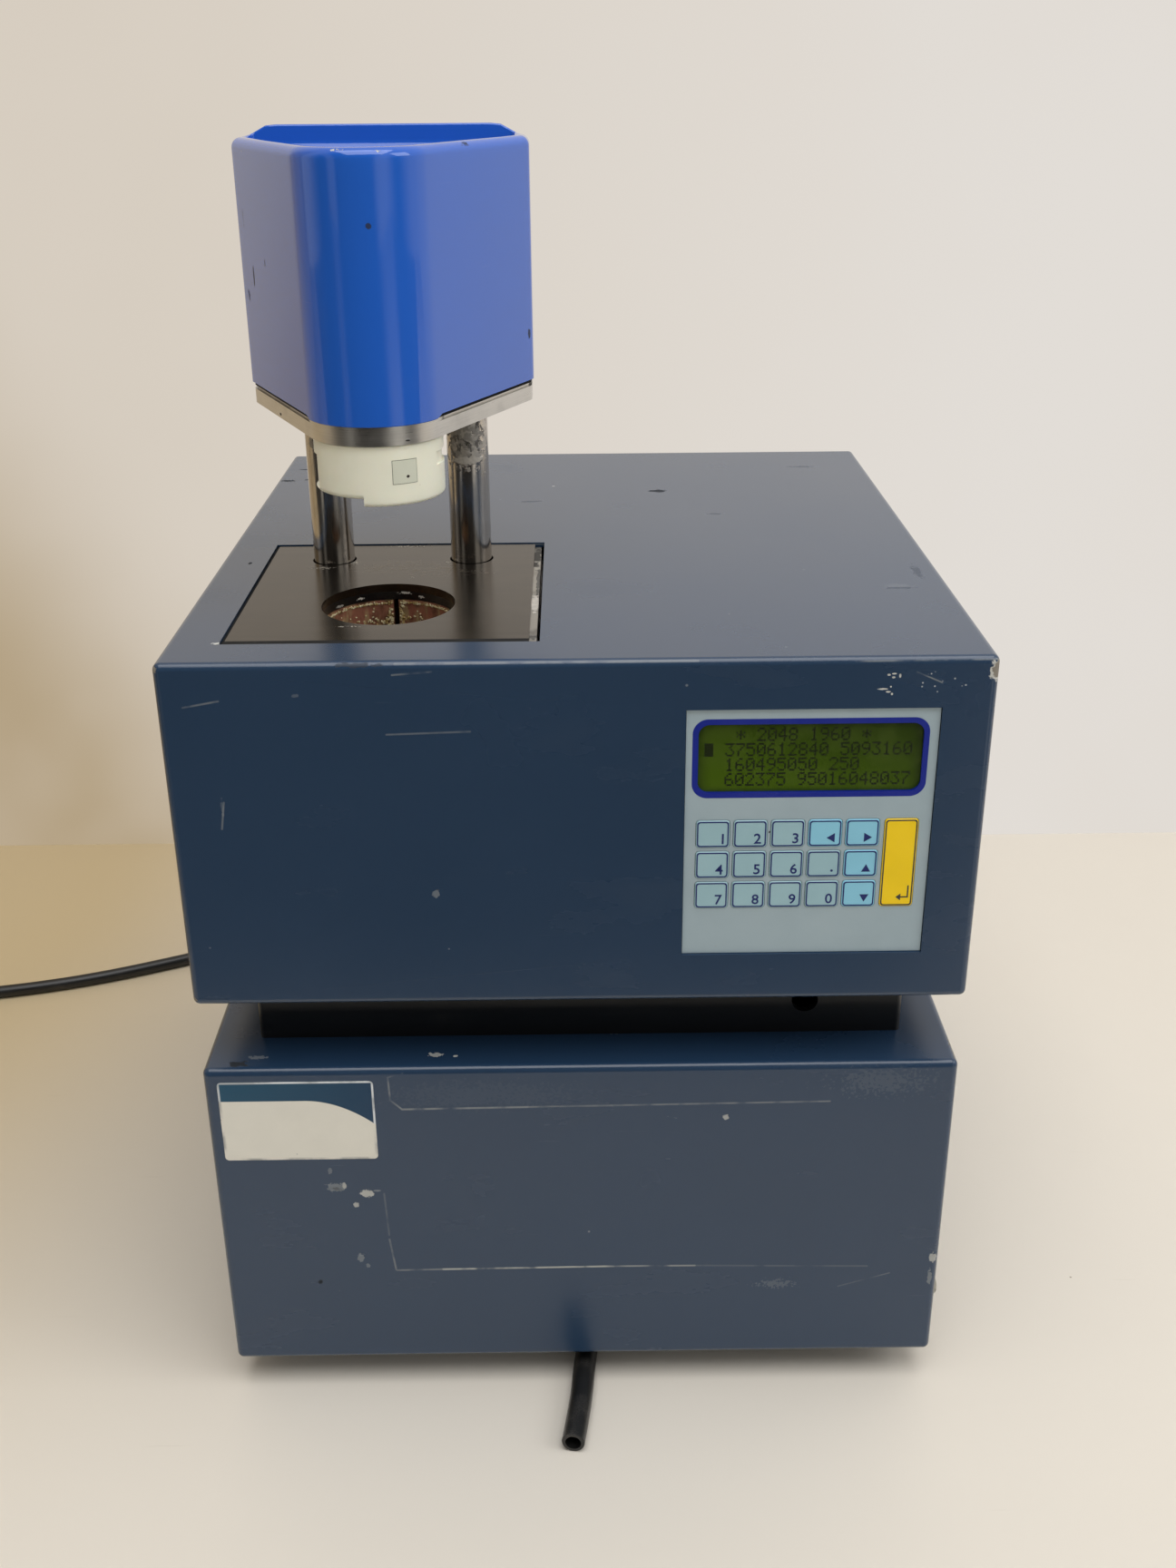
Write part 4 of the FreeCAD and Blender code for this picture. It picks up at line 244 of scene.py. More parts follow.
class Paint(Nodes):
    """One material's nodes. Its coordinates are the object's own, in millimetres."""

    def __init__(self, name: str) -> None:
        """Makes an empty material with coordinates.

        Args:
            name: the material's name.
        """
        self.material = bpy.data.materials.new(name)
        self.material.use_nodes = True
        super().__init__(self.material.node_tree)
        self.kept: dict[tuple, Value] = {}
        place = self.node("ShaderNodeTexCoord", {}, {}).outputs["Object"]
        grown = self.node("ShaderNodeVectorMath", {"operation": "SCALE"}, {0: place, "Scale": 1 / MM})
        self.place = grown.outputs[0]
        split = self.node("ShaderNodeSeparateXYZ", {}, {0: self.place})
        self.x, self.y, self.z = (Value(self, socket) for socket in split.outputs)

    def stretched(self, stretch: Point) -> bpy.types.NodeSocket:
        """Coordinates divided by a stretch, so that a pattern is longer along the larger numbers."""
        if stretch == (1, 1, 1):
            return self.place
        shrunk = self.node("ShaderNodeVectorMath", {"operation": "DIVIDE"}, {0: self.place, 1: stretch})
        return shrunk.outputs[0]

    def noise(self, grain: float, detail: float = 2.0, stretch: Point = (1, 1, 1)) -> Value:
        """Cloudy noise from 0 to 1.

        Args:
            grain: size of its clouds in millimetres.
            detail: octaves.
            stretch: how much longer the clouds are along each axis.

        Returns:
            The noise, made once for each set of arguments.
        """
        key = (grain, detail, stretch)
        if key not in self.kept:
            inputs = {"Vector": self.stretched(stretch), "Scale": 1 / grain, "Detail": detail}
            self.kept[key] = self.value("ShaderNodeTexNoise", {}, inputs)
        return self.kept[key]

    def specks(self, grain: float, share: float, stretch: Point = (1, 1, 1)) -> Value:
        """Mask of scattered specks: 1 near the cell centres of a Voronoi pattern whose random shade is low.

        Args:
            grain: distance between specks in millimetres.
            share: size of a speck as a share of that distance.
            stretch: how much longer the specks are along each axis.

        Returns:
            The mask.
        """
        inputs = {"Vector": self.stretched(stretch), "Scale": 1 / grain}
        cells = self.node("ShaderNodeTexVoronoi", {}, inputs)
        near = Value(self, cells.outputs["Distance"]).ramp(share, share * 0.5)
        chosen = self.value("ShaderNodeSeparateColor", {}, {0: cells.outputs["Color"]}).ramp(0.36, 0.3)
        return near * chosen

    def cloudy(self, colour: Colour, share: Any, amount: float) -> bpy.types.NodeSocket:
        """The colour, darker and brighter by an amount as share goes from 0 to 1."""
        return self.mix(share, scaled(colour, 1 - amount), scaled(colour, 1 + amount))

    def spot(self, mark: Mark) -> Value:
        """Mask of a mark: 1 where the distance from its place, in its own sizes and with noise, is under 1."""
        away = self.node("ShaderNodeVectorMath", {"operation": "SUBTRACT"}, {0: self.place, 1: mark.place})
        inputs = {0: away.outputs[0], 1: mark.size}
        shares = self.node("ShaderNodeVectorMath", {"operation": "DIVIDE"}, inputs)
        distance = self.value("ShaderNodeVectorMath", {"operation": "LENGTH"}, {0: shares.outputs[0]}, "Value")
        edge = distance + (self.noise(mark.grain, 3.0) - 0.5) * (2 * mark.ragged)
        return edge.ramp(1.0, 0.8) * mark.strength

    def joined(self, masks: Sequence[Value]) -> Value:
        """The largest of any number of masks, or 0 where there are none."""
        whole = self.value("ShaderNodeValue", {}, {})
        whole.socket.default_value = 0.0
        for mask in masks:
            whole = whole.most(mask)
        return whole

    def spots(self, marks: Sequence[Mark], kind: Kind) -> Value:
        """Mask of all marks of one kind."""
        return self.joined([self.spot(mark) for mark in marks if mark.kind is kind])

    def line(self, line: Line) -> Value:
        """Mask of a line.

        Args:
            line: its ends, width and strength.

        Returns:
            1 times the strength where the squared distance from the segment is small, with gaps by noise.
        """
        run = np.array(line.end) - np.array(line.start)
        length = float(np.hypot(*run))
        way_x, way_z = (float(part) for part in run / length)
        x, z = self.x - line.start[0], self.z - line.start[1]
        along = (x * way_x + z * way_z).most(0.0).least(length)
        off_x, off_z = x - along * way_x, z - along * way_z
        near = (off_x * off_x + off_z * off_z).ramp(line.width**2, 0.0)
        return near * self.noise(9, 3).ramp(0.3, 0.56) * line.strength

    def lines(self, lines: Sequence[Line]) -> Value:
        """Mask of all lines."""
        return self.joined([self.line(line) for line in lines])

    def bump(self, height: Value, depth: float) -> bpy.types.NodeSocket:
        """Normal of a height from 0 to 1, where 1 stands for a depth in millimetres."""
        inputs = {"Strength": 1.0, "Distance": depth * MM, "Height": height}
        return self.node("ShaderNodeBump", {}, inputs).outputs[0]

    def shade(self, inputs: dict[Any, Any]) -> bpy.types.Material:
        """Ends the material with one Principled shader.

        Args:
            inputs: its sockets by name.

        Returns:
            The material.
        """
        shader = self.node("ShaderNodeBsdfPrincipled", {}, inputs)
        self.node("ShaderNodeOutputMaterial", {}, {0: shader.outputs[0]})
        return self.material


# Finishes


@dataclass(frozen=True)
class BakedPaint:
    """Baked satin paint on sheet metal, with a fine peel, rubbed patches, scratches, chips and pale lines;
    some lines are painted highlights along bends.
    """

    name: str
    colour: Colour
    marks: tuple[Mark, ...] = ()
    roughness: float = 0.26
    peel: float = 0.006
    coat: float = 0.3
    coat_roughness: float = 0.22
    lines: tuple[Line, ...] = ()
    spray: Mark | None = None

    def material(self) -> bpy.types.Material:
        """Builds the material."""
        paint = Paint(self.name)
        cloud = paint.noise(70, 4)
        peel = paint.noise(1.1, 2)
        rubbed = paint.noise(16, 5, (3, 3, 1)).ramp(0.56, 0.75)
        hair = paint.noise(1.6, 2, (26, 26, 1)).ramp(0.71, 0.76) * paint.noise(50, 2).ramp(0.5, 0.62)
        specks = paint.specks(17, 0.035)
        white = paint.spots(self.marks, Kind.WHITE)
        bare = paint.spots(self.marks, Kind.BARE)
        dark = paint.spots(self.marks, Kind.DARK)
        pale = paint.spots(self.marks, Kind.PALE)
        colour = paint.cloudy(self.colour, cloud, 0.07)
        colour = paint.mix(rubbed * 0.012, colour, tint(120, 132, 140))
        colour = paint.mix(hair * 0.05, colour, tint(150, 160, 168))
        colour = paint.mix(specks * 0.4, colour, tint(160, 165, 165))
        pale_lines_and_highlights = paint.lines(self.lines)
        colour = paint.mix(pale * 0.5, colour, tint(140, 146, 148))
        colour = paint.mix(dark * 0.85, colour, tint(26, 30, 34))
        # pale lines: scratches and tape edges, and painted highlights along bends
        colour = paint.mix(pale_lines_and_highlights, colour, tint(176, 178, 172))
        if self.spray:
            spray = paint.spot(self.spray) * paint.specks(1.3, 0.3)
            colour = paint.mix(spray, colour, tint(190, 194, 196))
        colour = paint.mix(white, colour, paint.cloudy(tint(188, 188, 182), paint.noise(1.5, 2), 0.25))
        colour = paint.mix(bare, colour, tint(128, 122, 112))
        matt = white.most(dark).most(bare)
        rough = self.roughness * (0.85 + cloud * 0.3) + rubbed * 0.04
        height = peel * self.peel + white * -0.10 + bare * -0.12 + pale_lines_and_highlights * 0.07
        return paint.shade(
            {
                "Base Color": colour,
                "Roughness": rough + matt * 0.5,
                "Coat Weight": (1 - matt) * self.coat,
                "Coat Roughness": self.coat_roughness,
                "Normal": paint.bump(height, 1.0),
            }
        )


@dataclass(frozen=True)
class Metal:
    """Ground, brushed or plated metal whose grain runs along one axis, with stains."""

    name: str
    colour: Colour
    roughness: float = 0.3
    grain: Point = (1, 1, 1)
    stain: Colour = (0.05, 0.035, 0.02, 1.0)
    stained: float = 0.25
    marks: tuple[Mark, ...] = ()

    def material(self) -> bpy.types.Material:
        """Builds the material."""
        paint = Paint(self.name)
        lines = paint.noise(0.35, 2, self.grain)
        cloud = paint.noise(11, 4)
        spots = paint.specks(3.1, 0.16) * cloud.ramp(0.5, 0.68)
        white = paint.spots(self.marks, Kind.WHITE)
        dark = paint.spots(self.marks, Kind.DARK)
        colour = paint.cloudy(self.colour, lines, 0.13)
        colour = paint.mix(cloud.ramp(0.5, 0.75) * self.stained, colour, self.stain)
        colour = paint.mix(spots * (2 * self.stained), colour, self.stain)
        colour = paint.mix(dark, colour, tint(30, 26, 22))
        colour = paint.mix(white, colour, paint.cloudy(tint(196, 190, 180), paint.noise(1.2, 2), 0.3))
        covered = white.most(dark)
        rough = self.roughness + (lines - 0.5) * 0.16 + cloud.ramp(0.45, 0.8) * 0.12 + covered * 0.4
        return paint.shade(
            {
                "Base Color": colour,
                "Roughness": rough,
                "Metallic": 1 - covered,
                "Normal": paint.bump(lines * 0.5 + covered * 6, 0.02),
            }
        )


@dataclass(frozen=True)
class Moulding:
    """Moulded plastic or rubber with a fine texture, dust in it and a soft gloss."""

    name: str
    colour: Colour
    roughness: float = 0.45
    texture: float = 0.02
    dust: Colour = (0.32, 0.29, 0.25, 1.0)
    dusty: float = 0.12
    marks: tuple[Mark, ...] = ()
    glow: float = 0.0

    def material(self) -> bpy.types.Material:
        """Builds the material."""
        paint = Paint(self.name)
        fine = paint.noise(0.5, 2)
        cloud = paint.noise(14, 4)
        colour = paint.cloudy(self.colour, cloud, 0.08)
        dust = cloud.ramp(0.45, 0.75) * fine.ramp(0.35, 0.7)
        colour = paint.mix(dust * self.dusty, colour, self.dust)
        colour = paint.mix(paint.specks(6, 0.06) * (3 * self.dusty), colour, self.dust)
        white = paint.spots(self.marks, Kind.WHITE)
        dark = paint.spots(self.marks, Kind.DARK)
        colour = paint.mix(white, colour, tint(200, 196, 186))
        colour = paint.mix(dark, colour, tint(40, 30, 22))
        return paint.shade(
            {
                "Base Color": colour,
                "Roughness": self.roughness + (cloud - 0.5) * 0.14,
                "Subsurface Weight": self.glow,
                "Subsurface Radius": (0.004, 0.003, 0.002),
                "Normal": paint.bump(fine, self.texture),
            }
        )


@dataclass(frozen=True)
class HotCopper:
    """Tarnished copper of the heating block: red-brown, with oxide and a thin crust of starch."""

    name: str

    def material(self) -> bpy.types.Material:
        """Builds the material."""
        paint = Paint(self.name)
        cloud = paint.noise(5, 5)
        runs = paint.noise(2.2, 3, (1, 1, 5))
        oxide = cloud.ramp(0.42, 0.66)
        crust = runs.ramp(0.46, 0.66)
        colour = paint.mix(oxide, tint(172, 116, 94), tint(112, 80, 58))
        colour = paint.mix(crust * 0.7, colour, tint(172, 156, 108))
        return paint.shade(
            {
                "Base Color": colour,
                "Roughness": 0.35 + oxide * 0.2 + crust * 0.3,
                "Metallic": (1 - crust * 0.8) * 0.35,
                "Normal": paint.bump(runs + cloud, 0.25),
            }
        )


@dataclass(frozen=True)
class DeckMetal:
    """Dark satin deck plate: fine wipe marks, dried splashes behind the well and at the rods."""

    name: str
    marks: tuple[Mark, ...]

    def material(self) -> bpy.types.Material:
        """Builds the material."""
        paint = Paint(self.name)
        wipe = paint.noise(0.8, 3, (30, 1, 1))
        cloud = paint.noise(13, 5)
        smear = paint.spots(self.marks, Kind.PALE)
        white = paint.spots(self.marks, Kind.WHITE)
        fine = paint.noise(0.9, 3)
        flakes = white * fine.ramp(0.47, 0.56)
        film = smear * paint.noise(3.2, 4).ramp(0.42, 0.7)
        colour = paint.mix(cloud, tint(60, 54, 47), tint(84, 77, 68))
        colour = paint.mix(wipe.ramp(0.4, 0.8) * 0.25, colour, tint(120, 112, 100))
        colour = paint.mix(film * 0.5, colour, tint(168, 158, 142))
        colour = paint.mix(flakes, colour, tint(214, 208, 196))
        return paint.shade(
            {
                "Base Color": colour,
                "Roughness": 0.17 + cloud * 0.10 + film * 0.3 + flakes * 0.4,
                "Metallic": (1 - flakes) * (1 - film * 0.5) * 0.9,
                "Normal": paint.bump(wipe * 0.3 + flakes * 8 + film * 2, 0.03),
            }
        )


@dataclass(frozen=True)
class DisplayFace:
    """Character display: olive glass."""

    name: str
    middle: tuple[float, float]
    half: tuple[float, float]

    def material(self) -> bpy.types.Material:
        """Builds the material."""
        paint = Paint(self.name)
        across = (paint.x - self.middle[0]) / self.half[0]
        up = (paint.z - self.middle[1]) / self.half[1]
        # painted light and shade: the glass is lighter towards the lower left and darker towards the top and
        # right
        light = (across * -0.35 + up * -0.55).ramp(-1.1, 1.0)
        edge = abs(across).most(abs(up)).ramp(0.86, 1.0)
        cloud = paint.noise(9, 3)
        glass = paint.mix(light, tint(38, 56, 0), tint(66, 92, 0))
        # painted shadow of the frame: the glass darkens near its edges
        glass = paint.mix(edge * 0.45, glass, tint(28, 40, 10))
        glass = paint.mix(cloud.ramp(0.4, 0.7) * 0.2, glass, tint(84, 104, 34))
        glass = paint.mix(paint.specks(7, 0.05), glass, tint(140, 158, 110))
        return paint.shade(
            {
                "Base Color": glass,
                "Roughness": 0.2 + cloud * 0.1,
                "Normal": paint.bump(cloud, 0.01),
            }
        )


@dataclass(frozen=True)
class StickerFace:
    """Blank paper sticker with a plain coloured band over its top edge, which dips at the right."""

    name: str
    low: tuple[float, float]
    high: tuple[float, float]
    band: float = 8.5
    dip: float = 11.0

    def material(self) -> bpy.types.Material:
        """Builds the material: the band's edge falls with the square of the way to the right."""
        paint = Paint(self.name)
        along = (paint.x - self.low[0]) / (self.high[0] - self.low[0])
        fall = (along - 0.55).most(0.0) / 0.45
        edge = paint.z - (self.high[1] - self.band) + fall * fall * self.dip
        share = edge.ramp(-0.15, 0.15)
        cloud = paint.noise(8, 4)
        paper = paint.cloudy(tint(222, 219, 208), cloud, 0.05)
        shade = paint.mix(along, tint(8, 74, 102), tint(2, 54, 86))
        rim = paint.z - self.low[1]
        past = (self.high[1] - paint.z).least(rim).least(paint.x - self.low[0]).least(self.high[0] - paint.x)
        dirt = past.ramp(1.4, 0.1) * cloud.ramp(0.4, 0.62)
        colour = paint.mix(share, paper, shade)
        colour = paint.mix(past.ramp(0.9, 0.6) * share, colour, tint(214, 219, 222))
        colour = paint.mix(dirt * 0.6, colour, tint(96, 104, 110))
        colour = paint.mix(paint.specks(9, 0.04) * 0.6, colour, tint(120, 124, 124))
        return paint.shade(
            {
                "Base Color": colour,
                "Roughness": 0.3 + cloud * 0.12,
                "Normal": paint.bump(cloud, 0.03),
            }
        )


@dataclass(frozen=True)
class Starch:
    """Dried starch and splashes, from white to amber with glassy places."""

    name: str
    pale: Colour
    amber: Colour
    gloss: float = 0.25

    def material(self) -> bpy.types.Material:
        """Builds the material."""
        paint = Paint(self.name)
        patch = paint.noise(2.4, 3)
        colour = paint.mix(patch.ramp(0.35, 0.62), self.amber, self.pale)
        return paint.shade(
            {
                "Base Color": colour,
                "Roughness": self.gloss + patch * 0.3,
                "Coat Weight": 0.5,
                "Coat Roughness": 0.1,
                "Normal": paint.bump(paint.noise(0.6, 2), 0.08),
            }
        )


# Surfaces


@dataclass
class Surface:
    """Points and faces that become one mesh."""

    points: list[np.ndarray] = field(default_factory=list)
    faces: list[list[int]] = field(default_factory=list)
    count: int = 0

    def add(self, points: np.ndarray, faces: np.ndarray | list) -> None:
        """Adds points and the faces that name them from 0."""
        self.faces.extend((np.asarray(faces) + self.count).tolist())
        self.points.append(points.reshape(-1, 3))
        self.count += len(self.points[-1])

    def grid(self, points: np.ndarray, round_rows: bool = False, round_columns: bool = False) -> None:
        """Adds a four-sided face between each four neighbours of a grid.

        Args:
            points: rows by columns by 3.
            round_rows: the last row joins the first.
            round_columns: the last column joins the first.
        """
        rows, columns = points.shape[:2]
        index = np.arange(rows * columns).reshape(rows, columns)
        if round_rows:
            index = np.vstack([index, index[:1]])
        if round_columns:
            index = np.hstack([index, index[:, :1]])
        corners = [index[:-1, :-1], index[:-1, 1:], index[1:, 1:], index[1:, :-1]]
        self.add(points, np.stack(corners, axis=-1).reshape(-1, 4))

    def bar(self, rows: np.ndarray) -> None:
        """Adds a solid bar: four rows of points along it, with flat ends."""
        self.grid(rows, round_rows=True)
        for column in (0, -1):
            self.add(rows[:, column], [[0, 1, 2, 3]])

    def loft(self, rings: np.ndarray, capped: bool = True) -> None:
        """Adds closed rings joined in order; a capped loft closes to the middle of its first and last ring."""
        if capped:
            first = np.repeat(rings[:1].mean(axis=1, keepdims=True), rings.shape[1], axis=1)
            last = np.repeat(rings[-1:].mean(axis=1, keepdims=True), rings.shape[1], axis=1)
            rings = np.concatenate([first, rings, last])
        self.grid(rings, round_rows=not capped, round_columns=True)

    def build(self, name: str, finish: bpy.types.Material, sharp: float = 35.0) -> bpy.types.Object:
        """Makes the object at the origin, with its doubles merged and its faces turned outwards.

        Args:
            name: the piece's name.
            finish: its material.
            sharp: angle in degrees past which an edge is sharp.

        Returns:
            The object, linked to the scene.
        """
        mesh = bpy.data.meshes.new(name)
        mesh.from_pydata(np.concatenate(self.points), [], self.faces)
        cleaned = bmesh.new()
        cleaned.from_mesh(mesh)
        bmesh.ops.remove_doubles(cleaned, verts=cleaned.verts, dist=1e-6)
        bmesh.ops.dissolve_degenerate(cleaned, edges=cleaned.edges, dist=1e-7)
        bmesh.ops.recalc_face_normals(cleaned, faces=cleaned.faces)
        cleaned.to_mesh(mesh)
        cleaned.free()
        mesh.shade_smooth()
        mesh.set_sharp_from_angle(angle=math.radians(sharp))
        mesh.materials.append(finish)
        piece = bpy.data.objects.new(name, mesh)
        bpy.context.scene.collection.objects.link(piece)
        return piece


def at_height(outline: np.ndarray, height: float) -> np.ndarray:
    """Points of a plan outline at one height."""
    return np.concatenate([outline, np.full((len(outline), 1), height)], axis=1)


def arc(centre: tuple[float, float], radius: float, start: float, end: float, steps: int) -> np.ndarray:
    """Points of a circle's arc.

    Args:
        centre: its centre.
        radius: its radius.
        start: first angle in degrees.
        end: last angle in degrees.
        steps: number of points.

    Returns:
        steps by 2: centre plus radius times cosine and sine.
    """
    turn = np.radians(np.linspace(start, end, steps))
    return np.array(centre) + radius * np.stack([np.cos(turn), np.sin(turn)], axis=-1)


def rounded_box(low: Sequence[float], high: Sequence[float], radius: float, steps: int = 8) -> np.ndarray:
    """Outline of a rectangle with round corners: four quarter arcs, joined by its straight sides."""
    (x0, y0), (x1, y1) = low, high
    corners = ((x1 - radius, y1 - radius, 0), (x0 + radius, y1 - radius, 90))
    corners += ((x0 + radius, y0 + radius, 180), (x1 - radius, y0 + radius, 270))
    return np.concatenate([arc((x, y), radius, start, start + 90, steps) for x, y, start in corners])


@dataclass(frozen=True)
class FrontFace:
    """An upright face that looks forwards; u runs right, v up and w out of it."""

    level: float

    def lift(self, outline: np.ndarray, w: float) -> np.ndarray:
        """Points of a plane outline, w in front of the face."""
        u, v = outline[:, 0], outline[:, 1]
        return np.stack([u, np.full_like(u, self.level - w), v], axis=-1)

    def slab(self, surface: Surface, outline: np.ndarray, low: float, high: float) -> None:
        """Adds a solid plate with this outline, from w = low to w = high."""
        surface.loft(np.stack([self.lift(outline, low), self.lift(outline, high)]))

    def ring(self, surface: Surface, outer: np.ndarray, inner: np.ndarray, low: float, high: float) -> None:
        """Adds a solid band between two outlines with the same number of points."""
        levels = ((outer, low), (outer, high), (inner, high), (inner, low))
        surface.loft(np.stack([self.lift(outline, w) for outline, w in levels]), capped=False)


def lettering(text: str, height: float) -> tuple[np.ndarray, list[list[int]]]:
    """Flat solid letters of the default font, as a mesh.

    Args:
        text: what they say.
        height: height of the letters in metres.

    Returns:
        Points, with x and y from 0 at the lower left and z from 0 to 1, and faces.
    """
    curve = bpy.data.curves.new("lettering", "FONT")
    curve.body = text
    curve.extrude = 0.5
    curve.offset = 0.012
    curve.resolution_u = 3
    holder = bpy.data.objects.new("lettering", curve)
    mesh = bpy.data.meshes.new_from_object(holder)
    points = np.empty(len(mesh.vertices) * 3, np.float32)
    mesh.vertices.foreach_get("co", points)
    faces = [list(face.vertices) for face in mesh.polygons]
    bpy.data.objects.remove(holder)
    bpy.data.meshes.remove(mesh)
    bpy.data.curves.remove(curve)
    points = points.reshape(-1, 3).astype(float)
    points[:, :2] -= points[:, :2].min(axis=0)
    points[:, :2] *= height / points[:, 1].max()
    points[:, 2] += 0.5
    return points, faces


def pebbles(surface: Surface, places: np.ndarray, sizes: np.ndarray, seed: int) -> None:
    """Adds small lumpy balls, each a coarse sphere whose radius varies at random over its grid.

    Args:
        surface: where they go.
        places: their centres, number by 3.
        sizes: their radii along the axes, number by 3.
        seed: start of the random draws.
    """
    rows, columns = 5, 7
    draws = np.random.default_rng(seed)
    down = np.linspace(0, math.pi, rows)[:, None]
    turn = np.linspace(0, 2 * math.pi, columns, endpoint=False)[None, :]
    ball = np.stack([np.sin(down) * np.cos(turn), np.sin(down) * np.sin(turn), np.cos(down) + 0 * turn], -1)
    lumps = 1 + 0.35 * (draws.random((len(places), rows, columns, 1)) - 0.5)
    lumps[:, 0] = 1
    lumps[:, -1] = 1
    points = ball * lumps * sizes[:, None, None, :] + places[:, None, None, :]
    for lump in points:
        surface.grid(lump, round_columns=True)


# Helpers for pieces


def dress(finish: bpy.types.Material, *names: str) -> None:
    """Gives CAD nodes a material.

    Args:
        finish: the material.
        names: the nodes.
    """
    for name in names:
        for slot in bpy.data.objects[name].material_slots:
            slot.material = finish
        LOG.info("dressed %s", name)


def fit(piece: bpy.types.Object, body: str, slot: str, *nodes: str) -> bpy.types.Object:
    """Makes a piece ride on a body and hides the CAD nodes that it stands for."""
    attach(piece, body)
    if nodes:
        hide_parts(*nodes)
    LOG.info("built %s on %s", piece.name, body)
    return piece


# Camera, lamps and surroundings


@dataclass(frozen=True)
class Lamp:
    """A square area lamp: its place, the point it faces, its side in metres, its watts and its colour."""

    name: str
    place: Point
    target: Point
    size: float
    power: float
    colour: Point

    def add(self) -> None:
        """Adds the lamp."""
        data = bpy.data.lights.new(self.name, "AREA")
        data.energy = self.power
        data.size = self.size
        data.color = self.colour
        lamp = bpy.data.objects.new(self.name, data)
        lamp.location = self.place
        lamp.rotation_mode = "QUATERNION"
        lamp.rotation_quaternion = (Vector(self.target) - Vector(self.place)).to_track_quat("-Z", "Y")
        bpy.context.scene.collection.objects.link(lamp)


@dataclass(frozen=True)
class Band:
    """A bright upright band of the room in front, such as a window, that metal shows as a streak."""

    middle: float
    reach: float
    core: float
    strength: float

    def mask(self, across: Value) -> Value:
        """1 times the strength within the core, 0 past the reach."""
        return abs(across - self.middle).ramp(self.reach, self.core) * self.strength


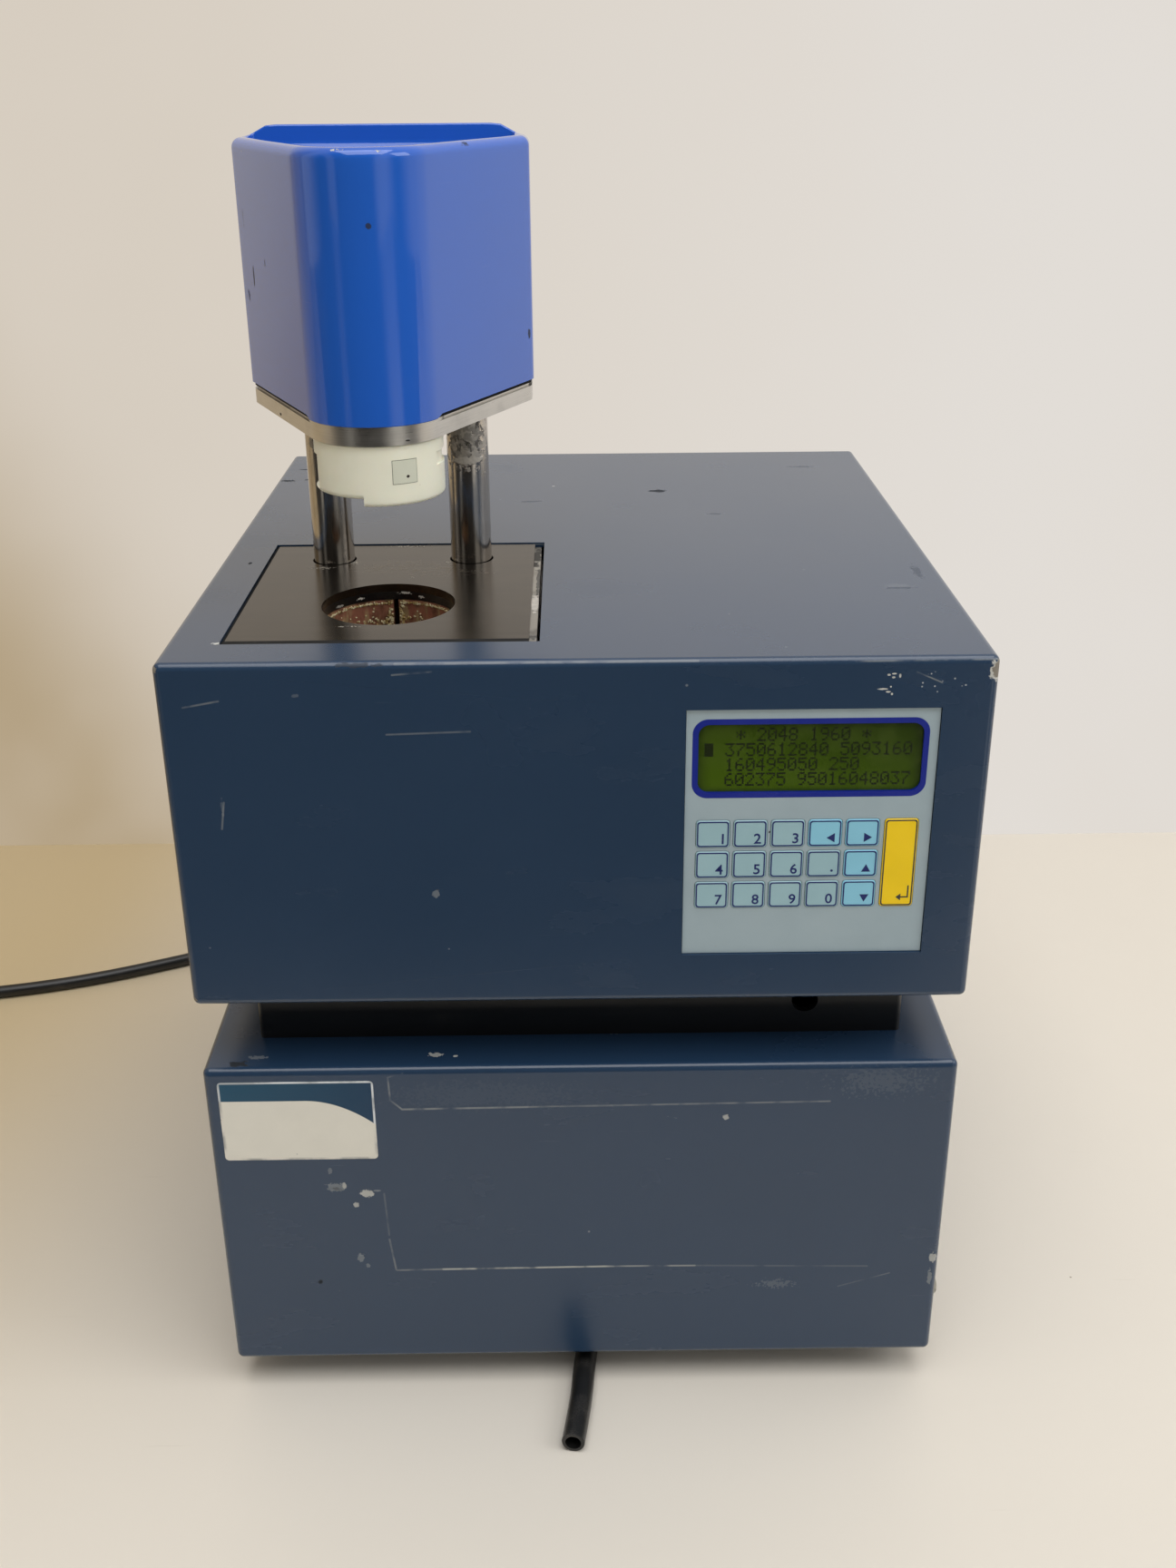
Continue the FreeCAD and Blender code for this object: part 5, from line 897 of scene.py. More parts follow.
@dataclass
class Studio:
    """Camera at the photograph's place, a pale floor and wall, lamps at the right and above, a soft sky.

    Metal in front shows the room before the table: it is dim there, with two bright bands. The floor beyond
    the table's front edge gives the same in reflections.
    """

    camera_place: Point = (-0.0008, -0.6597, 0.4922)
    pitch: float = 24.32
    yaw: float = 0.48
    roll: float = -0.43
    lens: float = 36.85
    wall_back: float = 0.337
    room: float = 4.0
    table_front: float = -0.425
    front_dim: Colour = tint(44, 42, 40)
    front_bright: Colour = tint(236, 233, 226)
    room_dim: Colour = tint(56, 54, 52)
    room_bright: Colour = tint(240, 238, 232)
    room_pale: Colour = tint(216, 210, 203)
    sky_dim: float = 0.27
    sky_full: float = 0.57
    mirror_front: float = 60.0
    mirror_nearest: float = 100.0
    front_bands: tuple[Band, Band] = (Band(0.80, 0.46, 0.12, 0.8), Band(-0.88, 0.24, 0.05, 0.45))
    room_bands: tuple[Band, Band] = (Band(0.60, 0.28, 0.06, 0.8), Band(-0.66, 0.13, 0.03, 0.45))
    lamps: tuple[Lamp, Lamp] = (
        Lamp("window", (2.4, -0.7, 2.0), (0.0, 0.0, 0.1), 1.4, 17.0, (0.97, 0.985, 1.0)),
        Lamp("ceiling", (0.12, -0.70, 2.3), (0.0, 0.0, 0.0), 1.9, 34.5, (0.98, 0.985, 1.0)),
    )
    floor_tint: Colour = tint(225, 218, 206)
    painted_shade_tint: Colour = tint(204, 184, 146)
    sky_tint: Colour = (1.0, 0.985, 0.96, 1.0)

    def camera(self) -> None:
        """Places the camera: forward from pitch and yaw, then rolled about its line of sight."""
        data = bpy.data.cameras.new("camera")
        data.lens = self.lens
        data.sensor_width = 36.0
        data.sensor_fit = "AUTO"
        data.clip_start = 0.01
        view = bpy.data.objects.new("camera", data)
        bpy.context.scene.collection.objects.link(view)
        turn = Matrix.Rotation(math.radians(-self.yaw), 4, "Z")
        tip = Matrix.Rotation(math.radians(90 - self.pitch), 4, "X")
        lean = Matrix.Rotation(math.radians(self.roll), 4, "Z")
        view.matrix_world = Matrix.Translation(self.camera_place) @ turn @ tip @ lean
        bpy.context.scene.camera = view

    def plane(self, name: str, corners: np.ndarray, finish: bpy.types.Material) -> None:
        """Adds a flat stage surface with the given corners."""
        surface = Surface()
        surface.add(corners, [[0, 1, 2, 3]])
        piece = surface.build(name, finish)

    def floor_material(self) -> bpy.types.Material:
        """Pale laminate with faint scratches and specks.

        It has painted shade at the back left, which makes it darker and warmer there. Beyond the table's front
        edge reflections show a dim room with two bright bands instead of it.
        """
        paint = Paint("floor_laminate")
        hair = paint.noise(1.6, 3, (40, 3, 1)).ramp(0.69, 0.74) * paint.noise(60, 2).ramp(0.5, 0.6)
        colour = paint.cloudy(self.floor_tint, paint.noise(180, 3), 0.015)
        colour = paint.mix(hair * 0.12, colour, tint(180, 170, 156))
        colour = paint.mix(paint.specks(50, 0.012), colour, tint(150, 138, 120))
        # painted shadow of the object: the floor darker and warmer towards the back left
        painted_shade = (paint.x * 0.8 + paint.y * -0.7).ramp(60, -420) * paint.x.ramp(-60, -330)
        colour = paint.mix(painted_shade, colour, self.painted_shade_tint)
        mirrored = paint.value("ShaderNodeLightPath", {}, {}, "Is Glossy Ray")
        edge, soft = self.table_front / MM, 15
        beyond = paint.y.ramp(edge + soft, edge - soft)
        ratio = paint.x / (paint.y * -1.0 - self.mirror_front).most(self.mirror_nearest)
        right, left = (band.mask(ratio) for band in self.front_bands)
        dim = paint.mix(right.most(left), self.front_dim, self.front_bright)
        colour = paint.mix(mirrored * beyond, colour, dim)
        return paint.shade({"Base Color": colour, "Roughness": 0.42, "Specular IOR Level": 0.3})

    def wall_material(self) -> bpy.types.Material:
        """Pale wall: it glows with its own colour for the camera and in reflections, is lit for other rays,
        and is clear from behind.

        Its colour is painted light and shade: darker and warmer at the left, lighter at the right, with a
        painted shadow low at the left.
        """
        paint = Paint("wall_emulsion")
        # painted light: the wall gets lighter towards the right
        colour = paint.mix(paint.x.ramp(-420, 330), tint(212, 202, 188), tint(226, 221, 215))
        # painted shadow of the object, low at the left of the wall
        low = (paint.x * 0.9 + paint.z * 0.55).ramp(-80, -330)
        colour = paint.mix(low, colour, tint(172, 151, 116))
        cloudy = paint.mix(paint.noise(200, 3).ramp(0.3, 0.7) * 0.25, colour, tint(222, 213, 202))
        inputs = {"Base Color": cloudy, "Roughness": 0.8}
        lit = paint.node("ShaderNodeBsdfPrincipled", {}, inputs)
        glow = paint.node("ShaderNodeEmission", {}, {0: cloudy, 1: 1.0})
        front = paint.blend(paint.seen(), lit, glow)
        clear = paint.node("ShaderNodeBsdfTransparent", {}, {})
        behind = paint.node("ShaderNodeNewGeometry", {}, {}).outputs["Backfacing"]
        both = paint.blend(behind, front, clear)
        paint.node("ShaderNodeOutputMaterial", {}, {0: both.outputs[0]})
        return paint.material

    def surroundings(self) -> None:
        """Adds the floor and the wall behind the object."""
        r, back = self.room, self.wall_back
        floor = np.array([(-r, -r, 0.0), (r, -r, 0.0), (r, r, 0.0), (-r, r, 0.0)])
        wall = np.array([(-r, back, -0.01), (r, back, -0.01), (r, back, r), (-r, back, r)])
        self.plane("floor", floor, self.floor_material())
        self.plane("wall", wall, self.wall_material())

    def sky(self) -> None:
        """Sets the world: soft light, dimmer on the left, and a pale room for the camera and reflections.

        The room in front, behind the camera, is dim in reflections, with two bright bands.
        """
        world = bpy.data.worlds.new("room")
        bpy.context.scene.world = world
        world.use_nodes = True
        room = Nodes(world.node_tree)
        way = room.node("ShaderNodeTexCoord", {}, {}).outputs["Generated"]
        split = room.node("ShaderNodeSeparateXYZ", {}, {0: way})
        east, north = Value(room, split.outputs[0]), Value(room, split.outputs[1])
        mirrored = room.value("ShaderNodeLightPath", {}, {}, "Is Glossy Ray")
        near = north.ramp(-0.05, -0.5) * mirrored
        right, left = (band.mask(east) for band in self.room_bands)
        dim = room.mix(right.most(left), self.room_dim, self.room_bright)
        pale = room.mix(near, self.room_pale, dim)
        dark, full = scaled(self.sky_tint, self.sky_dim), scaled(self.sky_tint, self.sky_full)
        soft = room.mix(east.ramp(-0.9, 0.5), dark, full)
        light = room.node("ShaderNodeBackground", {}, {0: soft, 1: 1.0})
        shown = room.node("ShaderNodeBackground", {}, {0: pale, 1: 1.0})
        both = room.blend(room.seen(), light, shown)
        room.node("ShaderNodeOutputWorld", {}, {0: both.outputs[0]})

    def build(self) -> None:
        """Adds everything round the object."""
        self.surroundings()
        self.sky()
        for lamp in self.lamps:
            lamp.add()
        bpy.context.scene.view_settings.view_transform = "Standard"


# Cords


def nurbs_line(name: str, points: Sequence[Point], radius: float) -> bpy.types.Object:
    """One open NURBS curve with a round section.

    Args:
        name: its name.
        points: its control points in metres.
        radius: its radius, or 0 for the bare line.

    Returns:
        The curve object.
    """
    curve = bpy.data.curves.new(name, "CURVE")
    curve.dimensions = "3D"
    curve.bevel_depth = radius
    curve.bevel_resolution = 6
    curve.use_fill_caps = True
    curve.resolution_u = 10
    spline = curve.splines.new("NURBS")
    spline.points.add(len(points) - 1)
    spline.points.foreach_set("co", [part for point in points for part in (*point, 1.0)])
    spline.order_u = 3
    spline.use_endpoint_u = True
    line = bpy.data.objects.new(name, curve)
    bpy.context.scene.collection.objects.link(line)
    return line


@dataclass
class MainsLead:
    """The lead from the inlet's connector, with its unseen length in a neat coil, and its plug.

    The route and the centre are in metres, the coil's radii in millimetres.
    """

    radius: float = 3.5 * MM
    plug_run: float = 12.0 * MM
    plug_seat: float = 4.0 * MM
    route: tuple[Point, ...] = (
        (-0.030, 0.1875, 0.046),
        (-0.030, 0.208, 0.046),
        (-0.035, 0.230, 0.041),
        (-0.052, 0.246, 0.031),
        (-0.076, 0.251, 0.020),
        (-0.100, 0.244, 0.011),
        (-0.124, 0.231, 0.0055),
        (-0.152, 0.215, 0.0035),
        (-0.190, 0.1955, 0.0035),
        (-0.233, 0.174, 0.0035),
        (-0.286, 0.151, 0.0035),
        (-0.337, 0.138, 0.0035),
        (-0.376, 0.1335, 0.0035),
    )
    coil_centre: tuple[float, float] = (-0.392, 0.0875)
    coil_radii: tuple[float, ...] = (45.5, 38.5, 31.5, 31.5, 38.5, 45.5)
    coil_turns: float = 6.2
    first_rise: float = 2.75
    second_rise: float = 5.55
    rise_turns: float = 0.25
    shift_turns: float = 0.28
    steps: int = 16
    length: float = 1.98

    def coil(self) -> list[Point]:
        """Control points of the coil: inwards on the table, then outwards on top, then up to the plug.

        Each turn keeps its radius and moves to the next in its last quarter. The points lie a little
        outside the turns, because the spline runs inside its control points.
        """
        points = []
        swell = 1 / (0.75 + 0.25 * math.cos(2 * math.pi / self.steps))
        layer = 2 * self.radius
        last = len(self.coil_radii) - 1
        for i in range(int(self.coil_turns * self.steps) + 1):
            turns = i / self.steps
            whole = min(int(turns), last)
            near = self.coil_radii[whole] * MM
            far = self.coil_radii[min(whole + 1, last)] * MM
            share = min(1.0, max(0.0, (turns - whole - 1 + self.shift_turns) / self.shift_turns))
            share = share * share * (3 - 2 * share)
            radius = (near + (far - near) * share) * swell
            starts = (self.first_rise, self.second_rise)
            rise = sum(min(1.0, max(0.0, (turns - start) / self.rise_turns)) for start in starts)
            angle = math.radians(90) + 2 * math.pi * turns
            x = self.coil_centre[0] + radius * math.cos(angle)
            y = self.coil_centre[1] + radius * math.sin(angle)
            points.append((x, y, self.radius + layer * rise))
        return points

    def build(self) -> None:
        """Adds the lead and dresses its connector and plug."""
        low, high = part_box("mains_plug")
        plug_x = (low.x + high.x) / 2
        plug_z = (low.z + high.z) / 2
        last = [(plug_x, high.y + away, plug_z) for away in (self.plug_run, -self.plug_seat)]
        lead = nurbs_line("supply_lead", [*self.route, *self.coil(), *last], self.radius)
        sheath = Moulding("lead_sheath", (0.012, 0.012, 0.012, 1.0), 0.38, 0.01, dusty=0.10)
        lead.data.materials.append(sheath.material())
        fit(lead, "chassis", "cord_rubber", "mains_lead", "mains_coil")
        ends = ("mains_connector", "mains_plug")
        dress(Moulding("plug_black", (0.016, 0.016, 0.016, 1.0), 0.42, 0.03).material(), *ends)


@dataclass
class DrainHose:
    """The short black hose that comes out under the front and ends cut."""

    radius: float = 4.5 * MM
    bore: float = 3.1 * MM
    lip: float = 0.3 * MM
    depth: int = 26
    sides: int = 40
    route: tuple[Point, ...] = (
        (0.004, -0.1005, 0.0045),
        (0.004, -0.118, 0.0045),
        (0.0028, -0.138, 0.0045),
        (0.0002, -0.158, 0.0045),
        (-0.0014, -0.179, 0.0045),
        (-0.0046, -0.199, 0.0045),
    )
    length: float = 0.0985

    def build(self) -> None:
        """Adds the hose: rings across the NURBS line, along its wall, over the lip and back in its bore."""
        line = nurbs_line("hose_line", self.route, 0.0)
        line.data.resolution_u = 14
        mesh = bpy.data.meshes.new_from_object(line)
        path = np.empty(len(mesh.vertices) * 3, np.float32)
        mesh.vertices.foreach_get("co", path)
        path = path.reshape(-1, 3).astype(float)
        bpy.data.objects.remove(line)
        along = np.gradient(path, axis=0)
        along /= np.linalg.norm(along, axis=1, keepdims=True)
        up = np.array([0.0, 0.0, 1.0])
        side = np.cross(along, up)
        side /= np.linalg.norm(side, axis=1, keepdims=True)
        turn = np.linspace(0, 2 * math.pi, self.sides, endpoint=False)[None, :, None]
        circle = np.cos(turn) * side[:, None, :] + np.sin(turn) * up
        middle = path[:, None, :]
        wall = middle + self.radius * circle
        end = middle[-1:] + (self.radius - self.lip) * circle[-1:]
        mouth = middle[-1:] + self.bore * circle[-1:]
        wall[-1] -= along[-1] * self.lip
        inside = middle[: -self.depth : -1] + self.bore * circle[: -self.depth : -1]
        inside = inside[1:]
        surface = Surface()
        surface.loft(np.concatenate([wall, end, mouth, inside]))
        rubber = Moulding("hose_rubber", (0.010, 0.010, 0.010, 1.0), 0.34, 0.02, dusty=0.22).material()
        piece = surface.build("drain_tube", rubber)
        fit(piece, "chassis", "hose_plastic", "drain_hose")


# The casings


@dataclass
class Casings:
    """The two folded casings with their rear panels, neck, base, feet, screws and the front sticker."""

    blue: Colour = tint(35, 58, 84)
    sticker_low: tuple[float, float] = (-135.0, 112.6)
    sticker_high: tuple[float, float] = (-77.2, 147.8)
    sticker_thickness: float = 0.12
    sticker_sunk: float = 0.2
    sticker_corner: float = 1.6
    upper_lines_and_highlights: tuple[Line, ...] = (
        Line((-61.0, 307.6), (-48.0, 308.6), 0.25),
        Line((-64.0, 286.4), (-36.0, 287.2), 0.22),
        Line((-131.0, 296.8), (-119.0, 299.0), 0.3),
        Line((-122.4, 252.0), (-120.8, 262.0), 0.25),
        # the next two lines are painted highlights along the top front bend
        Line((92.0, 310.6), (139.0, 310.8), 0.28, 0.35),
        Line((-60.0, 311.2), (40.0, 311.2), 0.18, 0.5),
        Line((112.5, 306.8), (121.0, 303.0), 0.35, 0.35),
    )
    lower_lines: tuple[Line, ...] = (
        Line((-67.0, 134.9), (-20.0, 135.3), 0.4, 0.55),
        Line((-20.0, 135.3), (93.0, 136.2), 0.3, 0.5),
        Line((-71.6, 149.2), (-71.2, 139.0), 0.35, 0.5),
        Line((-71.2, 139.0), (-67.0, 134.9), 0.4, 0.5),
        Line((-71.6, 149.2), (-66.0, 151.0), 0.25, 0.4),
        Line((-73.0, 58.6), (-55.0, 58.8), 0.35, 0.5),
        Line((-55.0, 58.8), (12.0, 59.2), 0.9, 0.55),
        Line((12.0, 59.2), (44.0, 59.0), 0.55, 0.5),
        Line((44.0, 59.0), (112.0, 57.6), 0.12, 0.5),
        Line((-75.2, 74.0), (-73.4, 58.8), 0.3, 0.5),
        Line((-76.0, 96.0), (-75.2, 76.0), 0.13, 0.5),
        Line((101.0, 47.6), (121.0, 54.0), 0.16, 0.4),
    )

    def upper_marks(self) -> tuple[Mark, ...]:
        """Wear on the upper casing: its front, its top and its right front corner."""
        front, top = -162.5, 312.0
        return (
            Mark(Kind.PALE, (-93.4, front, 300.6), (1.2, 1.0, 0.7), strength=0.5),
            Mark(Kind.DARK, (-72.0, front, 311.0), (7.0, 1.6, 0.8), strength=0.6),
            Mark(Kind.PALE, (-50.3, front, 225.9), (1.3, 1.0, 1.5), 0.8, 1.2),
            Mark(Kind.DARK, (-49.6, front, 227.4), (0.8, 1.0, 0.5), strength=0.6),
            Mark(Kind.PALE, (-121.5, front, 260.2), (0.6, 1.0, 4.0), strength=0.4),
            Mark(Kind.WHITE, (103.2, front, 305.9), (0.6, 1.0, 0.4), 0.3, 0.8),
            Mark(Kind.WHITE, (105.0, front, 306.3), (0.9, 1.0, 0.3), 0.3, 0.8),
            Mark(Kind.WHITE, (104.8, front, 305.0), (0.7, 1.0, 0.4), 0.3, 0.8),
            Mark(Kind.WHITE, (106.9, front, 305.5), (0.4, 1.0, 0.8), 0.3, 0.8),
            Mark(Kind.WHITE, (101.4, front, 300.9), (1.8, 1.0, 0.35), 0.4, 0.8),
            Mark(Kind.WHITE, (103.3, front, 299.9), (0.9, 1.0, 0.35), 0.3, 0.8),
            Mark(Kind.WHITE, (104.6, front, 299.1), (0.4, 1.0, 0.45), 0.2, 0.8),
            Mark(Kind.WHITE, (104.1, front, 301.7), (0.35, 1.0, 0.35), 0.2, 0.8),
            Mark(Kind.WHITE, (139.4, front, 307.2), (3.1, 2.4, 4.4), 0.7, 1.6),
            Mark(Kind.BARE, (139.8, front, 307.6), (2.5, 2.6, 3.5), 0.6, 1.6),
            Mark(Kind.DARK, (38.2, 63.3, top), (4.2, 2.6, 1.0), 0.7),
            Mark(Kind.DARK, (61.0, 22.0, top), (3.6, 1.0, 1.0), 1.2, 1.4, 0.35),
            Mark(Kind.DARK, (110.0, 108.0, top), (6.0, 1.6, 1.0), 1.8, 1.4, 0.3),
            Mark(Kind.DARK, (-20.0, 46.0, top), (5.0, 1.2, 1.0), 1.6, 1.4, 0.3),
            Mark(Kind.DARK, (-134.4, 89.2, top), (3.4, 1.8, 1.0), 1.4, 1.2),
            Mark(Kind.DARK, (-126.0, 91.0, top), (1.4, 0.9, 1.0), 1.0, 1.2),
            Mark(Kind.DARK, (-129.0, 112.0, top), (4.4, 0.8, 1.0), 0.8, 1.2),
            Mark(Kind.WHITE, (-9.6, 73.7, top), (0.9, 0.9, 1.0), strength=0.7),
            Mark(Kind.PALE, (120.1, -84.1, top), (5.0, 2.0, 1.0), 1.2, 1.4, 0.25),
            Mark(Kind.DARK, (121.0, -87.0, top), (6.0, 1.0, 1.0), 1.2, 1.4, 0.35),
            Mark(Kind.DARK, (131.0, -66.0, top), (1.6, 8.0, 1.0), 1.4, 1.4, 0.3),
            Mark(Kind.DARK, (-128.0, -46.0, top), (0.8, 1.8, 1.0)),
            Mark(Kind.WHITE, (-121.8, -141.8, top), (2.6, 1.0, 1.0), 1.2, 1.0),
            Mark(Kind.WHITE, (-14.2, -140.0, top), (1.0, 2.6, 1.0), 1.0, 1.0),
            Mark(Kind.BARE, (-139.6, front, 310.6), (1.6, 2.0, 1.6)),
            Mark(Kind.BARE, (-139.8, front, 183.0), (1.4, 1.8, 1.8)),
        )

    def lower_marks(self) -> tuple[Mark, ...]:
        """Wear on the lower casing: chips, residue and its front bend."""
        front, top = -162.5, 153.0
        return (
            Mark(Kind.PALE, (-94.6, front, 99.4), (3.6, 1.0, 2.2), 1.0, 1.2),
            Mark(Kind.WHITE, (-91.0, front, 100.0), (0.9, 1.0, 1.5), 0.6, 1.0, 0.7),
            Mark(Kind.DARK, (-94.2, front, 98.6), (1.8, 1.0, 0.8), 1.0, 1.0, 0.6),
            Mark(Kind.WHITE, (-82.6, front, 96.2), (2.7, 1.0, 1.9), 0.7, 1.4, 0.85),
            Mark(Kind.WHITE, (-87.0, front, 90.8), (1.2, 1.0, 1.3), 0.6, 1.0, 0.75),
            Mark(Kind.PALE, (-78.6, front, 97.4), (1.6, 1.0, 0.5), 0.8, 1.0),
            Mark(Kind.PALE, (-96.0, front, 107.0), (1.0, 1.0, 1.6), 0.9, 1.0, 0.7),
            Mark(Kind.PALE, (-86.9, front, 65.0), (1.3, 1.0, 2.0), 0.9, 1.2),
            Mark(Kind.PALE, (-84.2, front, 61.0), (0.8, 1.0, 1.2), 0.9, 1.0, 0.8),
            Mark(Kind.DARK, (-103.5, front, 53.0), (0.8, 1.0, 1.2)),
            Mark(Kind.WHITE, (137.6, front, 61.5), (1.6, 1.0, 2.6), 1.0, 1.4, 0.7),
            Mark(Kind.PALE, (137.0, front, 52.0), (0.9, 1.0, 4.0), 1.2),
            Mark(Kind.WHITE, (54.2, front, 129.6), (1.2, 1.0, 1.2), 0.7, 1.0, 0.7),
            Mark(Kind.WHITE, (-54.4, -153.6, top), (2.7, 1.5, 1.0), 1.2, 1.0, 0.8),
            Mark(Kind.DARK, (-54.0, -154.4, top), (1.8, 0.7, 1.0), 1.0, 1.0, 0.6),
            Mark(Kind.PALE, (-120.4, -154.0, top), (3.6, 1.2, 1.0), 1.4, 1.2),
            Mark(Kind.PALE, (76.0, front, 49.4), (6.0, 1.0, 1.8), 2.4, 0.9, 0.4),
            Mark(Kind.PALE, (112.0, front, 145.0), (13.0, 1.0, 4.5), 3.2, 1.0, 0.2),
            Mark(Kind.DARK, (-127.0, -158.0, top), (3.4, 1.8, 1.0), 1.2),
            Mark(Kind.WHITE, (-47.0, -154.6, top), (1.0, 0.8, 1.0)),
            Mark(Kind.BARE, (139.6, -150.0, 151.6), (1.2, 7.0, 1.2), 1.6),
            Mark(Kind.PALE, (-36.0, front, 141.0), (30.0, 1.0, 5.0), 2.4, 1.0, 0.08),
        )

    def sticker(self) -> None:
        """Adds the blank sticker: a thin plate with round corners on the lower casing's front."""
        face = FrontFace(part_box("lower_casing")[0].y)
        low, high = (tuple(part * MM for part in corner) for corner in (self.sticker_low, self.sticker_high))
        surface = Surface()
        outline = rounded_box(low, high, self.sticker_corner * MM)
        face.slab(surface, outline, -self.sticker_sunk * MM, self.sticker_thickness * MM)
        finish = StickerFace("sticker_paper", self.sticker_low, self.sticker_high).material()
        fit(surface.build("front_sticker", finish), "chassis", "case_paint")

    def build(self) -> None:
        """Dresses the casings and adds the sticker."""
        spray = Mark(Kind.WHITE, (122.5, -162.5, 302.6), (10.5, 1.0, 5.0), 0.9, 4.0, 0.8)
        upper = BakedPaint("upper_paint", self.blue, self.upper_marks(), lines=self.upper_lines_and_highlights, spray=spray)
        lower = BakedPaint("lower_paint", self.blue, self.lower_marks(), lines=self.lower_lines)
        dress(upper.material(), "upper_casing")
        dress(lower.material(), "lower_casing")
        dress(BakedPaint("rear_paint", self.blue).material(), "upper_rear_panel", "lower_rear_panel")
        black = BakedPaint("neck_black", tint(9, 11, 13), roughness=0.4, peel=0.02)
        dress(black.material(), "neck_frame")
        zinc = Metal("zinc_sheet", tint(168, 170, 168), 0.42, (1, 1, 1), (0.3, 0.3, 0.28, 1.0), 0.3)
        dress(zinc.material(), "upper_base_pan", "base_plate")
        dress(Moulding("foot_rubber", tint(28, 28, 28), 0.7, 0.04).material(), "rubber_feet")
        screws = Metal("screw_plating", tint(170, 168, 160), 0.28, (1, 1, 1), stained=0.3)
        dress(screws.material(), "casing_screws")
        self.sticker()


# The deck and the well


@dataclass(frozen=True)
class Crumbs:
    """One layer of crumbs on the wall of the well.

    It starts at a depth under the rim, reaches some way deeper, and lies within an angle in radians about
    the middle of the well's back. The crumbs are small at least, and larger by the extra at most.
    """

    count: int
    start: float
    deep: float
    small: float
    extra: float
    spread: float = 2 * math.pi


